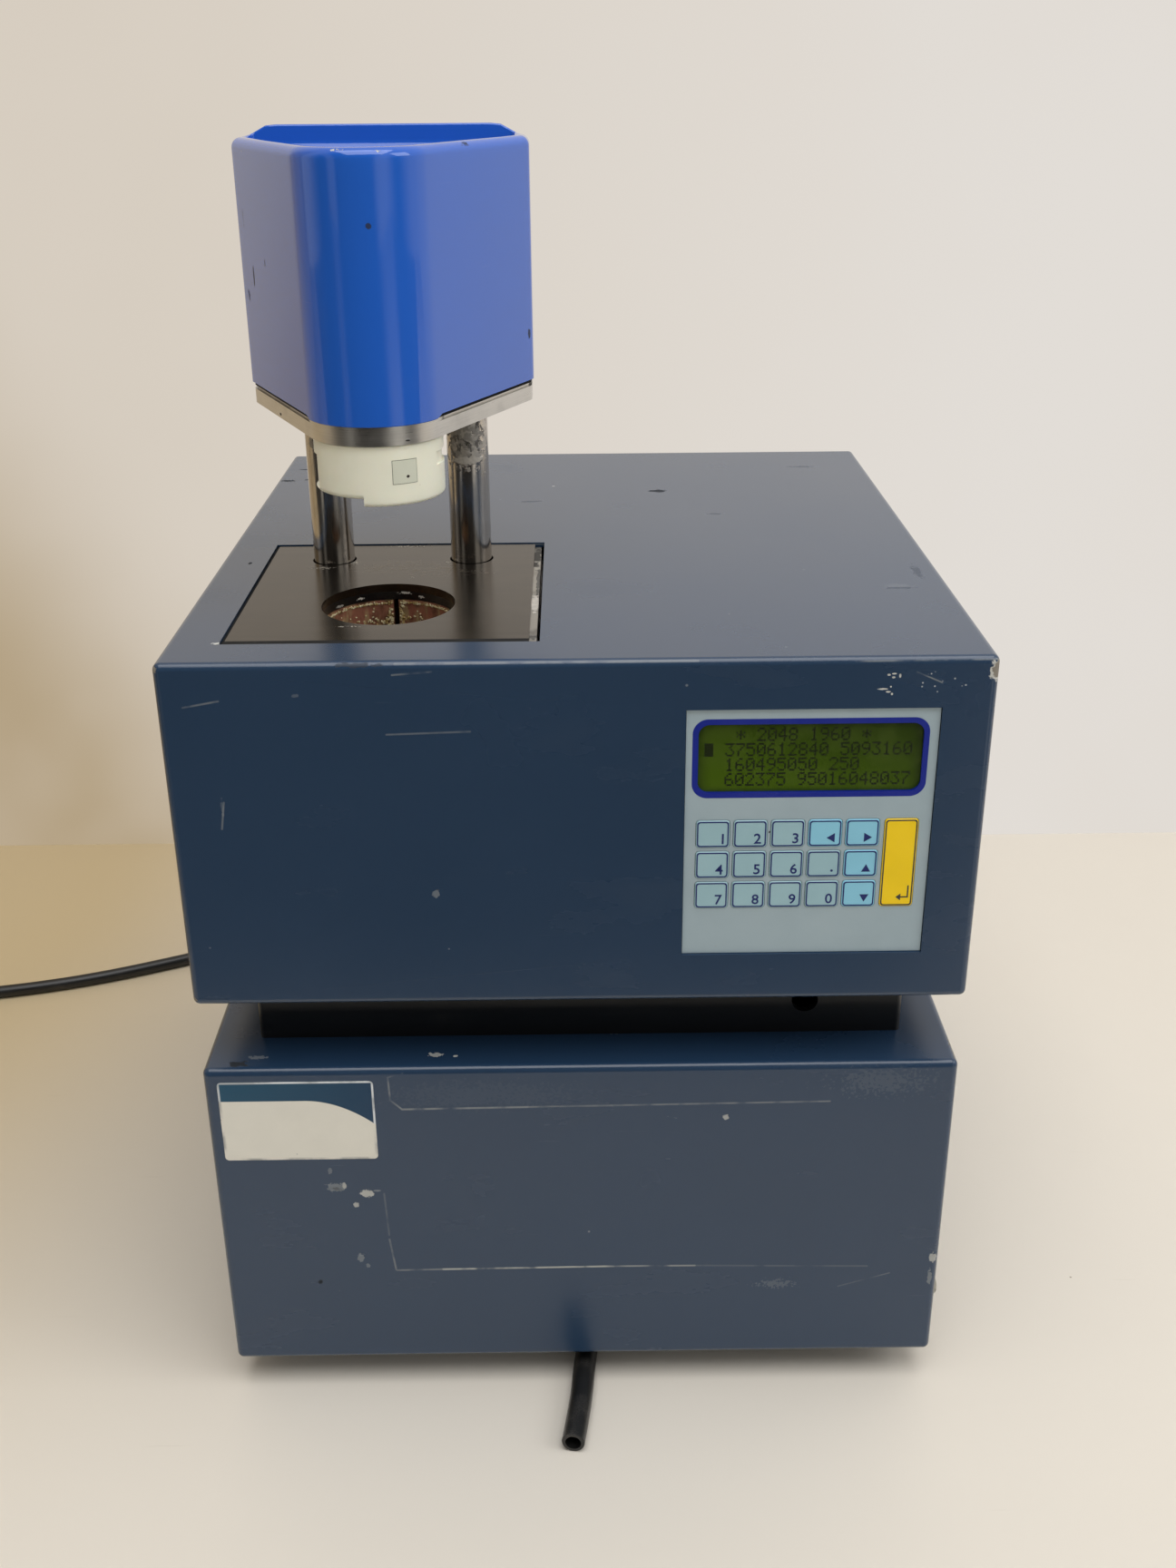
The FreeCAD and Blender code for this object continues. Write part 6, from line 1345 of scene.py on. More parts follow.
@dataclass
class Deck:
    """Deck plate with the well, the copper block in it, and the dried starch. Its sizes are in millimetres.

    The largest crumb has one size at the well's back and front and another at its sides.
    """

    shadow_strip_width: float = 1.1
    shadow_strip_top: float = 0.5
    shadow_strip_deep: float = 2.6
    front_shadow_width: float = 2.5
    front_shadow_proud: float = 0.2
    rim: float = 305.0
    wall: float = 23.7
    slit_clear: float = 1.0
    largest: tuple[float, float] = (0.70, 0.22)
    layers: tuple[Crumbs, ...] = (
        Crumbs(640, 0.0, 0.9, 0.25, 0.45),
        Crumbs(700, 5.0, 8.5, 0.40, 1.05),
        Crumbs(150, 2.0, 6.0, 0.25, 0.55),
        Crumbs(110, 0.0, 11.0, 0.30, 0.50, 0.24),
    )

    def marks(self) -> tuple[Mark, ...]:
        """Splashes on the deck plate."""
        top = 311.6
        return (
            Mark(Kind.PALE, (-66.0, -53.0, top), (17.0, 8.0, 1.0), 1.6, 2.2, 0.5),
            Mark(Kind.PALE, (-48.0, -60.0, top), (14.0, 5.0, 1.0), 1.8, 2.0, 0.4),
            Mark(Kind.WHITE, (-99.0, -52.6, top), (4.4, 1.4, 1.0), 1.4, 1.2, 0.6),
            Mark(Kind.WHITE, (-87.0, -46.6, top), (1.5, 2.4, 1.0), 1.2, 1.0),
            Mark(Kind.WHITE, (-49.6, -45.6, top), (1.2, 2.0, 1.0), 1.2, 1.0),
            Mark(Kind.WHITE, (-67.0, -23.4, top), (8.0, 1.0, 1.0), 1.4, 1.2, 0.7),
            Mark(Kind.PALE, (-84.0, -66.0, top), (1.2, 0.8, 1.0), 0.8, 1.0),
            Mark(Kind.WHITE, (-62.3, -66.0, top), (0.6, 0.5, 1.0), 0.5, 1.0),
            Mark(Kind.WHITE, (-79.0, -124.0, top), (4.0, 0.7, 1.0), 1.6, 1.0, 0.6),
        )

    def gap_shadow_strips(self) -> None:
        """Adds black strips as painted shadow in the gaps round the deck plate: a bar along three of its
        sides, and a strip over its front edge.
        """
        low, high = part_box("deck_plate")
        wide = self.shadow_strip_width * MM
        top, deep = high.z - self.shadow_strip_top * MM, high.z - self.shadow_strip_deep * MM
        corners = np.array([(high.x, low.y), (low.x, low.y), (low.x, high.y), (high.x, high.y)])
        away = np.array([(0.0, -1.0), (-1.0, -1.0), (-1.0, 1.0), (0.0, 1.0)]) * wide
        sections = ((corners, deep), (corners + away, deep), (corners + away, top), (corners, top))
        surface = Surface()
        surface.bar(np.stack([at_height(plan, height) for plan, height in sections]))
        front, back = low.y - wide, low.y + self.front_shadow_width * MM
        plan = np.array([(low.x, front), (high.x, front), (high.x, back), (low.x, back)])
        surface.loft(np.stack([at_height(plan, height) for height in (top, high.z + self.front_shadow_proud * MM)]))
        # black strips: painted shadow in the gaps round the plate
        black = Moulding("gap_shadow_black", tint(5, 5, 5), 0.95, 0.05, dusty=0.05).material()
        fit(surface.build("deck_seal", black), "chassis", "deck_metal")

    def crumbs(self) -> None:
        """Adds dried starch on the copper's mouth: a crust at its rim and beside its slit, beads lower down.

        The crumbs stay small towards the sides, where the closing jaws come nearest to the nose ring.
        """
        low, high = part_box("drive_spindle")
        centre = ((low.x + high.x) / 2, (low.y + high.y) / 2)
        wall = self.wall * MM
        draws = np.random.default_rng(11)
        places, sizes = [], []
        for layer in self.layers:
            turn = math.pi / 2 + layer.spread * (draws.random(layer.count) - 0.5)
            depth = layer.start + layer.deep * np.sqrt(draws.random(layer.count))
            middle = wall - 0.1 * MM * draws.random(layer.count)
            across, along = middle * np.cos(turn), middle * np.sin(turn)
            places.append(np.stack([centre[0] + across, centre[1] + along, (self.rim - depth) * MM], -1))
            sizes.append((layer.small + layer.extra * draws.random((layer.count, 3)) ** 2) * MM)
        places, sizes = np.concatenate(places), np.concatenate(sizes)
        sideways = np.abs(places[:, 0] - centre[0]) / wall
        most, least = self.largest
        sizes = np.minimum(sizes, (most + (least - most) * sideways)[:, None] * MM)
        clear = np.abs(places[:, 0] - centre[0]) > self.slit_clear * MM + 0.8 * sizes[:, 0]
        places, sizes = places[clear], sizes[clear]
        for side, body, seed in ((-1, "left_jaw", 20), (1, "right_jaw", 21)):
            surface = Surface()
            here = np.sign(places[:, 0] - centre[0]) == side
            pebbles(surface, places[here], sizes[here], seed)
            finish = Starch("starch_glassy_" + body, tint(232, 222, 180), tint(168, 142, 84), 0.12).material()
            fit(surface.build("crumbs_" + body, finish, 60.0), body, "copper")

    def build(self) -> None:
        """Dresses the deck and adds the crumbs."""
        dress(DeckMetal("deck_satin", self.marks()).material(), "deck_plate")
        rail_marks = (
            Mark(Kind.WHITE, (-15.0, -96.0, 310.4), (1.7, 11.0, 2.0), 0.9, 2.0, 0.9),
            Mark(Kind.DARK, (-15.4, -36.0, 310.4), (2.2, 14.0, 2.0), 1.4, 3.0, 0.9),
            Mark(Kind.DARK, (-14.2, -70.0, 310.4), (0.8, 20.0, 2.0), 1.0, 3.0, 0.7),
            Mark(Kind.DARK, (-15.4, -134.0, 310.4), (2.0, 2.5, 2.0), 1.4, 1.6, 0.7),
        )
        rail = Metal("rail_aluminium", tint(176, 174, 168), 0.34, (1, 20, 1), stained=0.5, marks=rail_marks)
        dress(rail.material(), "deck_frame")
        flakes = (
            Mark(Kind.WHITE, (-64.5, -74.6, 308.2), (2.4, 1.5, 0.6), 1.6, 0.7),
            Mark(Kind.WHITE, (-58.6, -76.4, 307.0), (1.2, 1.5, 0.6), 1.6, 0.7),
            Mark(Kind.WHITE, (-81.0, -78.4, 307.0), (1.6, 1.5, 0.5), 1.6, 0.7),
            Mark(Kind.WHITE, (-88.0, -84.4, 306.2), (2.0, 1.5, 0.5), 1.8, 0.7, 0.6),
        )
        collar = Moulding("collar_black", tint(15, 15, 16), 0.3, 0.03, (0.5, 0.46, 0.38, 1.0), 0.10, flakes)
        dress(collar.material(), "well_collar")
        dress(HotCopper("well_copper").material(), "block_left", "block_right")
        sheath = Metal("heater_sheath", tint(150, 140, 122), 0.35, (1, 1, 6), stained=0.4)
        dress(sheath.material(), "heaters_left", "heaters_right")
        dress(Moulding("base_white", tint(206, 200, 184), 0.55, 0.03).material(), "block_base")
        self.gap_shadow_strips()
        column = Metal("column_aluminium", tint(178, 178, 176), 0.36, (1, 1, 8), stained=0.12)
        dress(column.material(), "guide_column")
        self.crumbs()


# The head


@dataclass
class HeadPlan:
    """Plan of the head about the spindle: round front, flaring sides, straight sides and back."""

    nose: float = 23.5 * MM
    side: float = 52.5 * MM
    back: float = 74.0 * MM
    corner: float = 6.0 * MM
    flare: float = 25.0

    def outline(self, grow: float) -> np.ndarray:
        """The plan's parallel curve.

        Args:
            grow: distance outwards in metres; inwards where negative. Past its radius a corner stays a
                corner, which moves along the line that halves it.

        Returns:
            Points by 2, once round from the left end of the front arc.
        """
        tilt = math.radians(self.flare)
        leave = np.array([math.cos(tilt), -math.sin(tilt)]) * self.nose
        knee_x = self.side - self.corner
        run = (knee_x + self.corner * math.cos(tilt) - leave[0]) / math.sin(tilt)
        knee_y = leave[1] + run * math.cos(tilt) + self.corner * math.sin(tilt)
        back_y = self.back - self.corner
        flare = self.flare
        corners = (
            ((0.0, 0.0), self.nose, 180 + flare, 360 - flare, 49),
            ((knee_x, knee_y), self.corner, -flare, 0, 9),
            ((knee_x, back_y), self.corner, 0, 90, 13),
            ((-knee_x, back_y), self.corner, 90, 180, 13),
            ((-knee_x, knee_y), self.corner, 180, 180 + flare, 9),
        )
        pieces = []
        for centre, radius, start, end, steps in corners:
            reach = radius + grow
            middle = math.radians((start + end) / 2)
            spill = min(0.0, reach) / math.cos(math.radians((end - start) / 2))
            moved = np.array(centre) + spill * np.array([math.cos(middle), math.sin(middle)])
            pieces.append(arc(tuple(moved), max(0.0, reach), start, end, steps))
        whole = []
        for piece, following in zip(pieces, pieces[1:] + pieces[:1]):
            straight = np.linspace(piece[-1], following[0], 26)[1:-1]
            whole.extend([piece, straight])
        return np.concatenate(whole)


@dataclass(frozen=True)
class Notch:
    """A shallow sunk field on the ring's outside: its middle and half width in degrees, and its heights."""

    middle: float
    half: float
    low: float
    high: float

    def holds(self, turn: np.ndarray, z: np.ndarray) -> np.ndarray:
        """Whether each point lies in the field."""
        return (np.abs(turn - self.middle) < self.half) & (z > self.low) & (z < self.high)


@dataclass
class Head:
    """Cover, plate, ring and pad, with the rods, the yoke and the drive. Its sizes are in millimetres."""

    plan: HeadPlan = field(default_factory=HeadPlan)
    blue: Colour = tint(34, 92, 190)
    over: float = 0.8
    rim: float = 87.0
    edge: float = 3.5
    lip: float = 0.8
    roof: float = 79.0
    floor: float = 82.0
    dish: float = 5.5
    dish_round: float = 3.0
    wall: float = 2.5
    gap: float = 1.25
    notch: float = 0.8
    crest: float = 3.7
    crest_half: float = 41.0
    crest_end: float = 50.5
    crest_start: float = 58.0
    crest_rise: float = 8.0
    ring_bore: float = 17.0
    ring_hole: float = 12.0
    ring_floor: float = 4.0
    ring_soft: float = 0.5
    ring_round: float = 1.5
    notches: tuple[Notch, Notch] = (Notch(12, 34, 11.5, 16.0), Notch(180, 26, -1.0, 15.5))
    cut_start: float = 135.0
    cut_end: float = 260.8
    cut_rise: float = 2.7

    def axis(self) -> np.ndarray:
        """The spindle's place in plan."""
        low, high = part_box("drive_spindle")
        return np.array([(low.x + high.x) / 2, (low.y + high.y) / 2])

    def cover_profile(self) -> list[tuple[float, float, float]]:
        """The cover's section, from its lower inner edge round the outside to the middle of the dish.

        Returns:
            Rows of growth past the plate's plan, height and share of the crest, in millimetres.
        """
        over, rim, edge, lip = self.over, self.rim, self.edge, self.lip
        rows = [(over - self.wall, self.roof, 0.0), (over - self.wall, 0.6, 0.0), (over - self.wall, 0.0, 0.0)]
        rows += [(over - 0.25, 0.0, 0.0), (over, 0.25, 0.0), (over, 0.5 * rim, 0.0)]
        rows += [(over, rim - edge - 9, 0.0), (over, rim - edge - 3, 0.15)]
        for grow, high in arc((over - edge, rim - edge), edge, 0, 90, 9):
            rows.append((grow, high, min(1.0, 0.5 + (over - grow) / edge)))
        wall = over - self.dish
        for grow, high in arc((wall + lip, rim - lip), lip, 90, 180, 5):
            rows.append((grow, high, 1.0))
        turn = self.dish_round
        for grow, high in arc((wall - turn, self.floor + turn), turn, 0, -90, 7)[1:]:
            rows.append((grow, high, max(0.0, (high - self.floor) / turn) * 0.5))
        rows.append((wall - turn - 4, self.floor, 0.0))
        return rows

    def cover(self) -> None:
        """Adds the painted cover as one closed shell whose back edge rises to a crest.

        Each ring is the plan grown by the row's growth, at the row's height plus its share of the crest. The
        crest is full behind the middle and falls smoothly towards the back corners.
        """
        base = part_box("head_cover")[0].z
        rings = []
        for grow, high, share in self.cover_profile():
            outline = self.plan.outline(grow * MM)
            x, y = np.abs(outline[:, 0]) / MM, outline[:, 1] / MM
            across = np.clip((self.crest_end - x) / (self.crest_end - self.crest_half), 0, 1)
            behind = np.clip((y - self.crest_start) / self.crest_rise, 0, 1)
            smooth = (across**2 * (3 - 2 * across)) * (behind**2 * (3 - 2 * behind))
            lifted = self.gap * (np.hypot(*outline.T) > self.plan.nose + (grow + 0.05) * MM)
            z = base + (max(high, 0.0) + self.crest * share * smooth + lifted * max(0.0, 1 - high / 2)) * MM
            rings.append(np.stack([outline[:, 0], outline[:, 1], z], -1))
        points = np.stack(rings)
        points[..., :2] += self.axis()
        surface = Surface()
        surface.loft(points)
        fit(surface.build("cover_shell", self.cover_material(), 40.0), "head", "cover_paint", "head_cover")
        self.gap_darkening_band(base)

    def gap_darkening_band(self, base: float) -> None:
        """Adds a black band inside the gap between the plate and the cover, which makes that gap a dark line.
        """
        section = ((-1.0, 0.0), (-0.15, 0.0), (-0.15, 2.0), (-1.0, 2.0))
        axis = self.axis()
        rings = [at_height(self.plan.outline(grow * MM) + axis, base + high * MM) for grow, high in section]
        surface = Surface()
        surface.loft(np.stack(rings), capped=False)
        black = Moulding("gap_band_black", tint(6, 6, 6), 0.9, 0.02, dusty=0.02).material()
        fit(surface.build("cover_seal", black), "head", "cover_paint")

    def cover_material(self) -> bpy.types.Material:
        """Glossy blue paint with a few chips and rubs."""
        marks = (
            Mark(Kind.DARK, (-64.6, -122.7, 444.3), (1.0, 1.2, 1.2), 0.4, 1.0),
            Mark(Kind.DARK, (-114.6, -56.7, 421.5), (0.8, 1.0, 4.0), 0.5, 1.4),
            Mark(Kind.DARK, (-118.4, -48.6, 414.1), (1.2, 1.6, 1.8), 1.4, 1.2, 0.8),
            Mark(Kind.DARK, (-107.5, -71.9, 427.8), (0.6, 0.7, 1.5), 0.6, 1.0, 0.8),
            Mark(Kind.DARK, (-118.0, -49.4, 441.0), (0.8, 0.8, 3.0), 1.4, 1.2, 0.4),
            Mark(Kind.DARK, (-16.2, -44.7, 398.8), (1.0, 1.2, 2.0), 0.8, 1.0),
            Mark(Kind.DARK, (-34.6, -83.8, 466.7), (2.0, 3.0, 0.8), 1.2, 1.0),
            Mark(Kind.WHITE, (-60.0, -121.5, 466.6), (2.2, 1.2, 0.7), 0.8, 1.0),
            Mark(Kind.WHITE, (-76.0, -121.5, 466.9), (5.0, 1.2, 0.5), 1.6, 1.6),
            Mark(Kind.DARK, (-54.0, -120.0, 468.0), (1.0, 1.4, 0.6), 0.8, 1.0),
        )
        finish = BakedPaint("cover_gloss", self.blue, marks, 0.06, 0.003, 0.4, 0.03)
        return finish.material()

    def ring(self) -> None:
        """Adds the nose ring: a section carried round the axis, whose lower edge is raised over one sector."""
        low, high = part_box("nose_ring")
        wide = (high.x - low.x) / 2 / MM
        tall = (high.z - low.z) / MM
        bore, hole, soft, turned = self.ring_bore, self.ring_hole, self.ring_soft, self.ring_round
        corners = [(bore, tall - self.ring_floor), (bore, 1.0), (bore + 1.0, 0.0)]
        corners += [tuple(point) for point in arc((wide - turned, turned), turned, -90, 0, 6)]
        levels = (4.0, 6.0, 8.0, 10.0, 11.4, 11.6, 12.6, 13.6, 14.6, 15.4, 15.6, 15.9, 16.1, 18.0, tall - soft)
        corners += [(wide, level) for level in levels]
        corners += [(wide - soft, tall), (hole, tall), (hole, tall - self.ring_floor)]
        profile = np.array(corners)
        start, end = self.cut_start, self.cut_end
        turn = np.concatenate([np.linspace(end - 360, start, 140), np.linspace(start, end, 80)])
        raised = np.concatenate([np.zeros(140), np.full(80, self.cut_rise)])
        grid_z = profile[:, None, 1] * np.ones_like(turn)[None, :]
        outside = profile[:, None, 0] > wide - 0.01
        right, left = (notch.holds(turn, grid_z) for notch in self.notches)
        radius = (profile[:, None, 0] - self.notch * (outside & (right | left))) * MM
        height = grid_z + raised[None, :] * (grid_z < 2.0)
        cosine, sine = np.cos(np.radians(turn)), np.sin(np.radians(turn))
        centre = self.axis()
        points = np.stack([centre[0] + radius * cosine, centre[1] + radius * sine, low.z + height * MM], -1)
        surface = Surface()
        surface.grid(points, round_rows=True, round_columns=True)
        cream = Moulding("ring_nylon", tint(238, 237, 218), 0.42, 0.01, (0.5, 0.42, 0.3, 1.0), 0.10, glow=0.25)
        fit(surface.build("nose_moulding", cream.material()), "head", "nose_plastic", "nose_ring")
        self.pad(centre, wide * MM, low.z)

    def pad(self, centre: np.ndarray, radius: float, base: float) -> None:
        """Adds the small square pad on the ring, bent round it, with its dark edge."""
        for name, start, end, low, high, out, colour in (
            ("pad_edge", -73.3, -50.0, 7.6, 15.9, 0.06, tint(122, 122, 104)),
            ("pad_face", -72.8, -50.5, 7.8, 15.7, 0.14, tint(212, 214, 196)),
        ):
            turn = np.radians(np.linspace(start, end, 13))
            section = [(radius - 0.3 * MM, low), (radius + out * MM, low), (radius + out * MM, high),
                       (radius - 0.3 * MM, high)]
            rows = []
            for reach, height in section:
                z = np.full_like(turn, base + height * MM)
                x, y = centre[0] + reach * np.cos(turn), centre[1] + reach * np.sin(turn)
                rows.append(np.stack([x, y, z], -1))
            surface = Surface()
            surface.bar(np.stack(rows))
            stain = (Mark(Kind.DARK, (-56.7, -117.8, 363.0), (0.6, 0.8, 0.6), 0.5, 1.0),)
            finish = Moulding(name, colour, 0.4, 0.02, marks=stain).material()
            fit(surface.build(name, finish), "head", "nose_plastic")

    def rod_material(self) -> bpy.types.Material:
        """Ground steel with dried splashes below the plate on the right rod and marks lower down."""
        marks = (
            Mark(Kind.WHITE, (-41.0, -48.0, 360.0), (7.0, 3.4, 9.0), 2.4, 2.6, 0.5),
            Mark(Kind.DARK, (-43.0, -47.0, 362.0), (7.0, 3.0, 9.0), 2.8, 1.8, 0.7),
            Mark(Kind.WHITE, (-40.6, -48.8, 352.4), (9.5, 3.4, 1.5), 0.9, 2.2),
            Mark(Kind.WHITE, (-38.6, -48.8, 355.4), (3.0, 3.0, 0.8), 1.2, 1.2, 0.8),
            Mark(Kind.DARK, (-97.0, -48.0, 362.0), (5.0, 3.0, 5.0), 2.6, 1.4, 0.5),
        )
        steel = Metal("rod_ground_steel", tint(196, 190, 182), 0.14, (1, 1, 30), stained=0.12, marks=marks)
        return steel.material()

    def build(self) -> None:
        """Builds the cover and the ring and dresses the rest."""
        self.cover()
        self.ring()
        spots = (
            Mark(Kind.DARK, (-76.0, -122.0, 377.0), (0.7, 1.0, 0.5), 0.6, 1.0),
            Mark(Kind.DARK, (-56.0, -118.5, 375.4), (0.9, 1.2, 0.4), 0.6, 1.0),
            Mark(Kind.DARK, (-106.0, -72.0, 375.4), (1.2, 1.8, 0.6), 0.8, 1.0),
        )
        plate = Metal("plate_machined", tint(214, 211, 205), 0.30, (40, 40, 1), stained=0.08, marks=spots)
        dress(plate.material(), "head_plate")
        dress(self.rod_material(), "guide_rods")
        hidden = (
            ("rod_yoke", Metal("yoke_steel", tint(150, 148, 144), 0.35, (20, 1, 1))),
            ("guide_bushes", Metal("bush_bronze", tint(176, 130, 76), 0.32, (1, 1, 1), stained=0.3)),
            ("return_spring", Metal("spring_steel", tint(120, 118, 116), 0.3, (1, 1, 1), stained=0.2)),
            ("motor_housing", Metal("motor_zinc", tint(140, 142, 144), 0.38, (1, 1, 10), stained=0.15)),
            ("spindle_bearing", Metal("bearing_steel", tint(190, 190, 190), 0.18, (1, 1, 1), stained=0.05)),
            ("drive_spindle", Metal("spindle_steel", tint(182, 180, 176), 0.22, (8, 8, 1), stained=0.1)),
        )
        for node, finish in hidden:
            dress(finish.material(), node)


# The operating panel


class Arrow(Enum):
    """Direction in which a key's arrow points, in degrees from the right."""

    right = 0
    up = 90
    left = 180
    down = 270


@dataclass
class Panel:
    """Overlay, display and keys. Its sizes are in millimetres, with signs placed from a key's lower right."""

    navy: Colour = tint(14, 34, 104)
    frame_blue: Colour = tint(6, 32, 140)
    proud: float = 0.06
    sunk: float = 0.05
    outline_inset: float = 0.32
    outline_width: float = 0.46
    outline_corner: float = 1.1
    digit_height: float = 3.9
    digit_place: tuple[float, float] = (2.0, 1.4)
    dot_place: tuple[float, float] = (2.8, 2.5)
    dot_radius: float = 0.45
    return_place: tuple[float, float] = (3.4, 3.0)
    arrow_place: tuple[float, float] = (3.8, 3.4)
    dot: float = 0.58
    dot_pitch: float = 0.6
    dot_rise: float = 0.7
    dot_front: float = 0.05
    dot_back: float = 0.10
    glass_middle: tuple[float, float] = (78.75, 275.75)
    glass_half: tuple[float, float] = (38.25, 12.75)
    frame_low: tuple[float, float] = (38.7, 261.2)
    frame_high: tuple[float, float] = (118.7, 290.3)
    frame_corner: float = 5.4
    frame_deep: float = 0.9
    window_low: tuple[float, float] = (40.7, 263.2)
    window_high: tuple[float, float] = (116.8, 288.3)
    window_corner: float = 3.8
    text_left: float = 43.2
    text_top: float = 286.2
    character_pitch: float = 3.55
    row_pitch: float = 5.5
    rows: tuple[str, ...] = (
        "   * 2048 1960 *",
        "# 3750612840 5093160",
        "  160495050 250",
        "  602375 95016048037",
    )
    shapes: dict[str, str] = field(
        default_factory=lambda: {
            "0": "01110 10001 10011 10101 11001 10001 01110",
            "1": "00100 01100 00100 00100 00100 00100 01110",
            "2": "01110 10001 00001 00010 00100 01000 11111",
            "3": "11111 00010 00100 00010 00001 10001 01110",
            "4": "00010 00110 01010 10010 11111 00010 00010",
            "5": "11111 10000 11110 00001 00001 10001 01110",
            "6": "00110 01000 10000 11110 10001 10001 01110",
            "7": "11111 00001 00010 00100 01000 01000 01000",
            "8": "01110 10001 10001 01110 10001 10001 01110",
            "9": "01110 10001 10001 01111 00001 00010 01100",
            "*": "00000 00100 10101 01110 10101 00100 00000",
            "#": "11111 11111 11111 11111 11111 11111 11111",
            " ": "00000 00000 00000 00000 00000 00000 00000",
        }
    )

    @staticmethod
    def sign_at(low: Vector, high: Vector, place: tuple[float, float]) -> tuple[float, float]:
        """Point on a key's face, from its box and a place in millimetres from its lower right corner."""
        return high.x - place[0] * MM, low.z + place[1] * MM

    def key_legend(self, key: str, body: str) -> None:
        """Adds a key's thin outline and its sign as one raised print.

        Args:
            key: the key's node.
            body: the body that it rides on.
        """
        low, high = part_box(key)
        face = FrontFace(low.y)
        surface = Surface()
        sign = key.removeprefix("key_")
        inset, width = self.outline_inset * MM, self.outline_width * MM
        radius = self.outline_corner * MM
        outer = rounded_box((low.x + inset, low.z + inset), (high.x - inset, high.z - inset), radius)
        inset += width
        radius -= 0.6 * width
        inner = rounded_box((low.x + inset, low.z + inset), (high.x - inset, high.z - inset), radius)
        face.ring(surface, outer, inner, -self.sunk * MM, self.proud * MM)
        if sign.isdigit():
            points, faces = lettering(sign, self.digit_height * MM)
            x, z = self.sign_at(low, high, self.digit_place)
            points[:, 0] += x - points[:, 0].max()
            points[:, 1] += z
            depth = face.level - (points[:, 2] * (self.proud + self.sunk) - self.sunk) * MM
            surface.add(np.stack([points[:, 0], depth, points[:, 1]], -1), [])
            surface.faces.extend([[i + surface.count - len(points) for i in corner] for corner in faces])
        elif sign == "dot":
            circle = arc(self.sign_at(low, high, self.dot_place), self.dot_radius * MM, 0, 337.5, 16)
            face.slab(surface, circle, -self.sunk * MM, self.proud * MM)
        elif sign == "enter":
            self.return_sign(surface, face, *self.sign_at(low, high, self.return_place))
        else:
            self.triangle(surface, face, Arrow[sign], *self.sign_at(low, high, self.arrow_place))
        shade = tint(58, 60, 60) if sign == "enter" else self.navy
        finish = Moulding("print_" + sign, shade, 0.5, 0.005, dusty=0.05).material()
        slot = "key_yellow" if sign == "enter" else "key_blue"
        fit(surface.build("legend_" + sign, finish), body, slot)

    def triangle(self, surface: Surface, face: FrontFace, arrow: Arrow, x: float, z: float) -> None:
        """Adds a solid triangle that points the arrow's way from its middle."""
        turn = math.radians(arrow.value)
        upright = arrow in (Arrow.up, Arrow.down)
        long, half = (2.9, 1.6) if upright else (2.8, 1.75)
        corners = np.array([(long / 2, 0.0), (-long / 2, half), (-long / 2, -half)]) * MM
        spin = np.array([[math.cos(turn), math.sin(turn)], [-math.sin(turn), math.cos(turn)]])
        face.slab(surface, corners @ spin + np.array([x, z]), -self.sunk * MM, self.proud * MM)

    def return_sign(self, surface: Surface, face: FrontFace, x: float, z: float) -> None:
        """Adds a plain return arrow: a post, a bar to the left and a head."""
        bars = (((1.3, 0.9), (1.8, 5.2)), ((-1.0, 0.4), (1.8, 0.9)))
        for low, high in bars:
            outline = np.array([low, (high[0], low[1]), high, (low[0], high[1])]) * MM + np.array([x, z])
            face.slab(surface, outline, -self.sunk * MM, self.proud * MM)
        head = np.array([(-2.6, 0.65), (-0.9, -0.7), (-0.9, 2.0)]) * MM + np.array([x, z])
        face.slab(surface, head, -self.sunk * MM, self.proud * MM)

    def display_frame(self) -> None:
        """Adds the printed frame round the display window."""
        face = FrontFace(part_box("panel_overlay")[0].y)
        surface = Surface()
        low, high = np.array(self.frame_low) * MM, np.array(self.frame_high) * MM
        outer = rounded_box(low, high, self.frame_corner * MM, 12)
        inner_low, inner_high = np.array(self.window_low) * MM, np.array(self.window_high) * MM
        inner = rounded_box(inner_low, inner_high, self.window_corner * MM, 12)
        face.ring(surface, outer, inner, -self.frame_deep * MM, self.proud * MM)
        blue = Moulding("print_frame", self.frame_blue, 0.35, 0.004, dusty=0.05).material()
        fit(surface.build("window_frame", blue), "chassis", "overlay_film")

    def text(self) -> None:
        """Adds the display's characters: a small square plate for each lit dot."""
        dots = []
        for line, row in enumerate(self.rows):
            for column, character in enumerate(row):
                lit = [[int(bit) for bit in bits] for bits in self.shapes[character].split()]
                down, across = np.nonzero(np.array(lit))
                x = self.text_left + column * self.character_pitch + across * self.dot_pitch
                z = self.text_top - line * self.row_pitch - down * self.dot_rise
                dots.append(np.stack([x, z], -1))
        middle = np.concatenate(dots) * MM
        half = self.dot * MM / 2
        square = np.array([(-half, -half), (half, -half), (half, half), (-half, half)])
        plane = middle[:, None, :] + square[None]
        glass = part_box("display_module")[0].y
        near = np.full(plane.shape[:2], glass - self.dot_front * MM)
        far = np.full(plane.shape[:2], glass + self.dot_back * MM)
        corners = [np.stack([plane[..., 0], depth, plane[..., 1]], -1) for depth in (near, far)]
        points = np.concatenate(corners, axis=1)
        box = np.array([(0, 1, 2, 3), (4, 7, 6, 5), (0, 4, 5, 1), (1, 5, 6, 2), (2, 6, 7, 3), (3, 7, 4, 0)])
        faces = box[None] + 8 * np.arange(len(points))[:, None, None]
        surface = Surface()
        surface.add(points, faces.reshape(-1, 4))
        dark = Moulding("display_dots", tint(20, 30, 2), 0.4, 0.002, dusty=0.0).material()
        fit(surface.build("display_text", dark), "chassis", "display_glass")

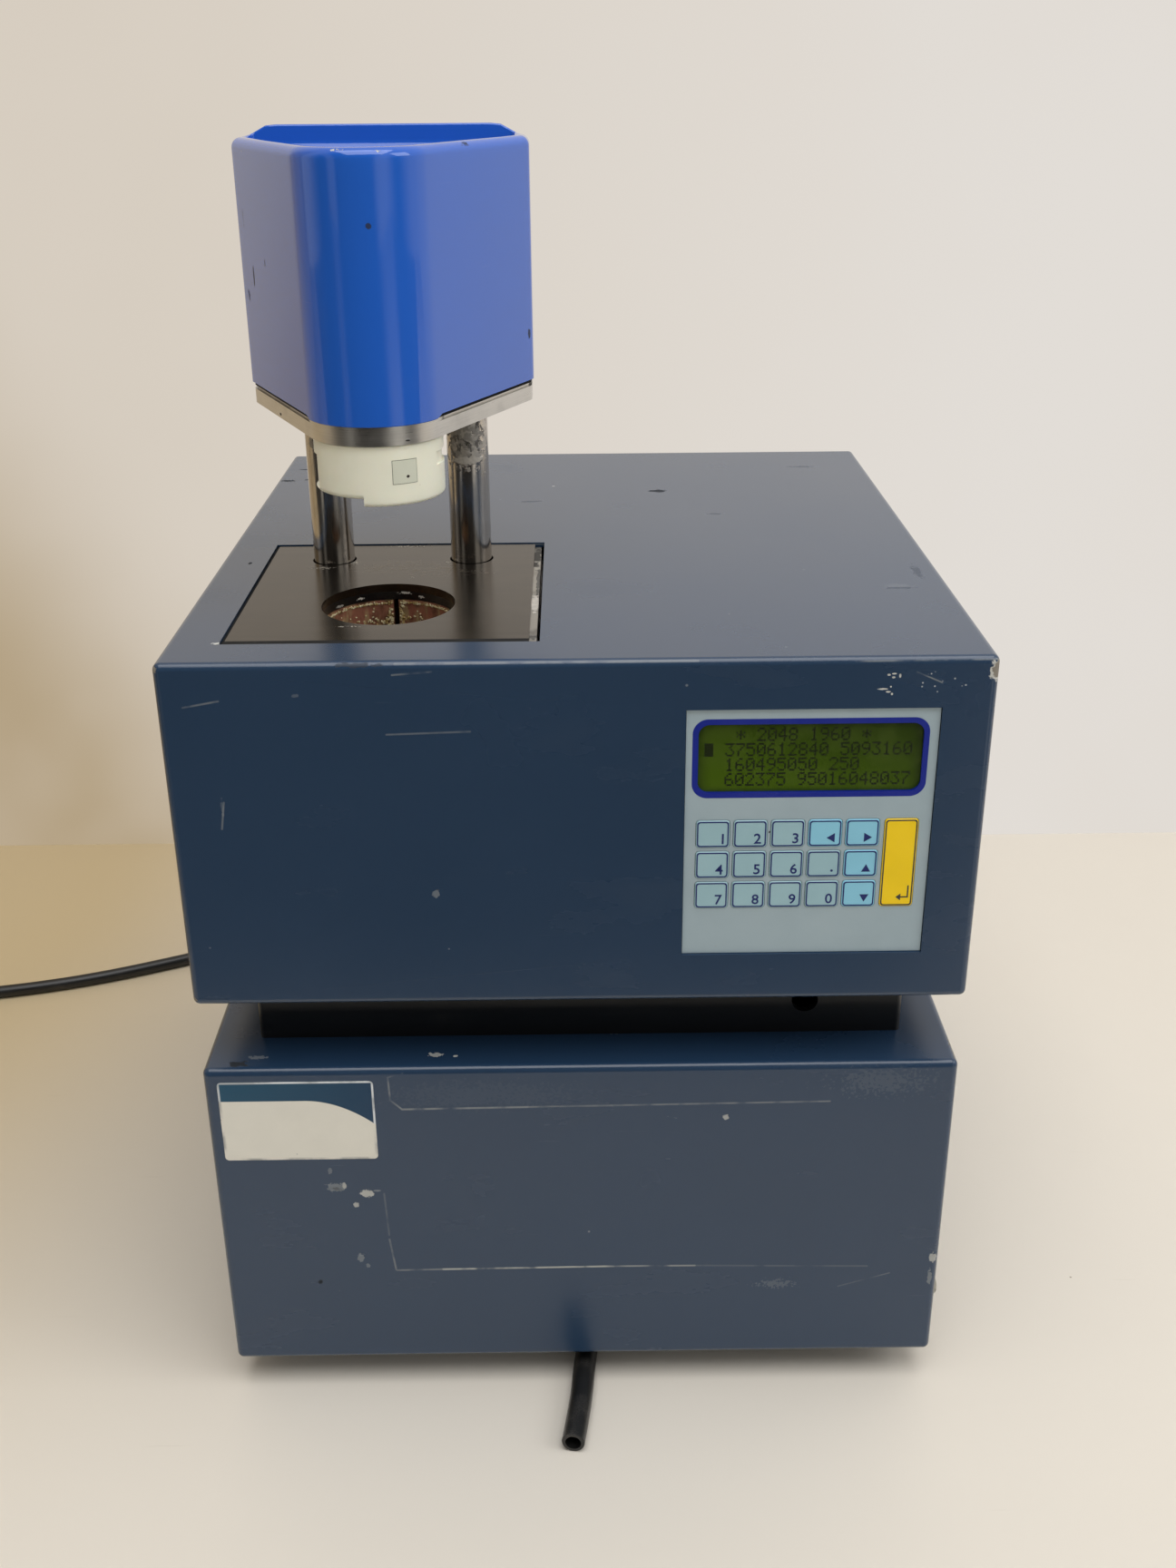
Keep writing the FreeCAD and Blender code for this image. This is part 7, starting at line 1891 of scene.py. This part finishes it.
    def build(self) -> None:
        """Dresses the panel and adds its prints."""
        specks = (Mark(Kind.DARK, (66.0, -161.9, 248.0), (0.4, 0.6, 0.8), 0.6, 0.8),)
        film = Moulding("overlay_grey", tint(158, 176, 184), 0.36, 0.012, dusty=0.10, marks=specks)
        dress(film.material(), "panel_overlay")
        number = Moulding("key_number", tint(152, 187, 196), 0.34, 0.01, dusty=0.10).material()
        arrow = Moulding("key_arrow", tint(136, 200, 224), 0.34, 0.01, dusty=0.08).material()
        yellow = Moulding("key_yellow", tint(246, 208, 0), 0.34, 0.01, dusty=0.04).material()
        for key in sorted(name for name in bpy.data.objects.keys() if name.startswith("key_")):
            sign = key.removeprefix("key_")
            finish = yellow if sign == "enter" else arrow if sign in Arrow.__members__ else number
            dress(finish, key)
            self.key_legend(key, bpy.data.objects[key]["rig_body"])
        glass = DisplayFace("display_glass", self.glass_middle, self.glass_half)
        dress(glass.material(), "display_module")
        board = Moulding("board_green", tint(34, 84, 52), 0.4, 0.02).material()
        dress(board, "keypad_board", "controller_board")
        self.display_frame()
        self.text()


# Services at the back and below


@dataclass
class Services:
    """Inlet, rocker, ports, spigots, drain elbow and transformer."""

    def build(self) -> None:
        """Dresses the nodes."""
        finishes = (
            ("power_inlet", Moulding("inlet_black", tint(26, 26, 27), 0.45, 0.03)),
            ("power_switch", Moulding("rocker_black", tint(18, 18, 19), 0.3, 0.01)),
            ("water_spigots", Metal("spigot_brass", tint(196, 160, 92), 0.26, (1, 6, 1), stained=0.25)),
            ("serial_port", Metal("port_tin", tint(182, 182, 176), 0.28, (1, 1, 1), stained=0.12)),
            ("drain_elbow", Moulding("elbow_black", tint(20, 20, 20), 0.45, 0.03)),
            ("power_transformer", Metal("core_iron", tint(96, 92, 88), 0.5, (20, 20, 1), stained=0.4)),
        )
        for node, finish in finishes:
            dress(finish.material(), node)


def clear_scene() -> None:
    """Removes whatever the start-up file holds."""
    for thing in list(bpy.data.objects):
        bpy.data.objects.remove(thing)


def main() -> None:
    """Builds the scene round the frame."""
    logging.basicConfig(level=logging.INFO, format="%(message)s")
    clear_scene()
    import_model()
    studio = Studio()
    studio.camera()
    for assembly in (MainsLead(), DrainHose(), studio, Casings(), Deck(), Head(), Panel(), Services()):
        assembly.build()


if __name__ == "__main__":
    main()
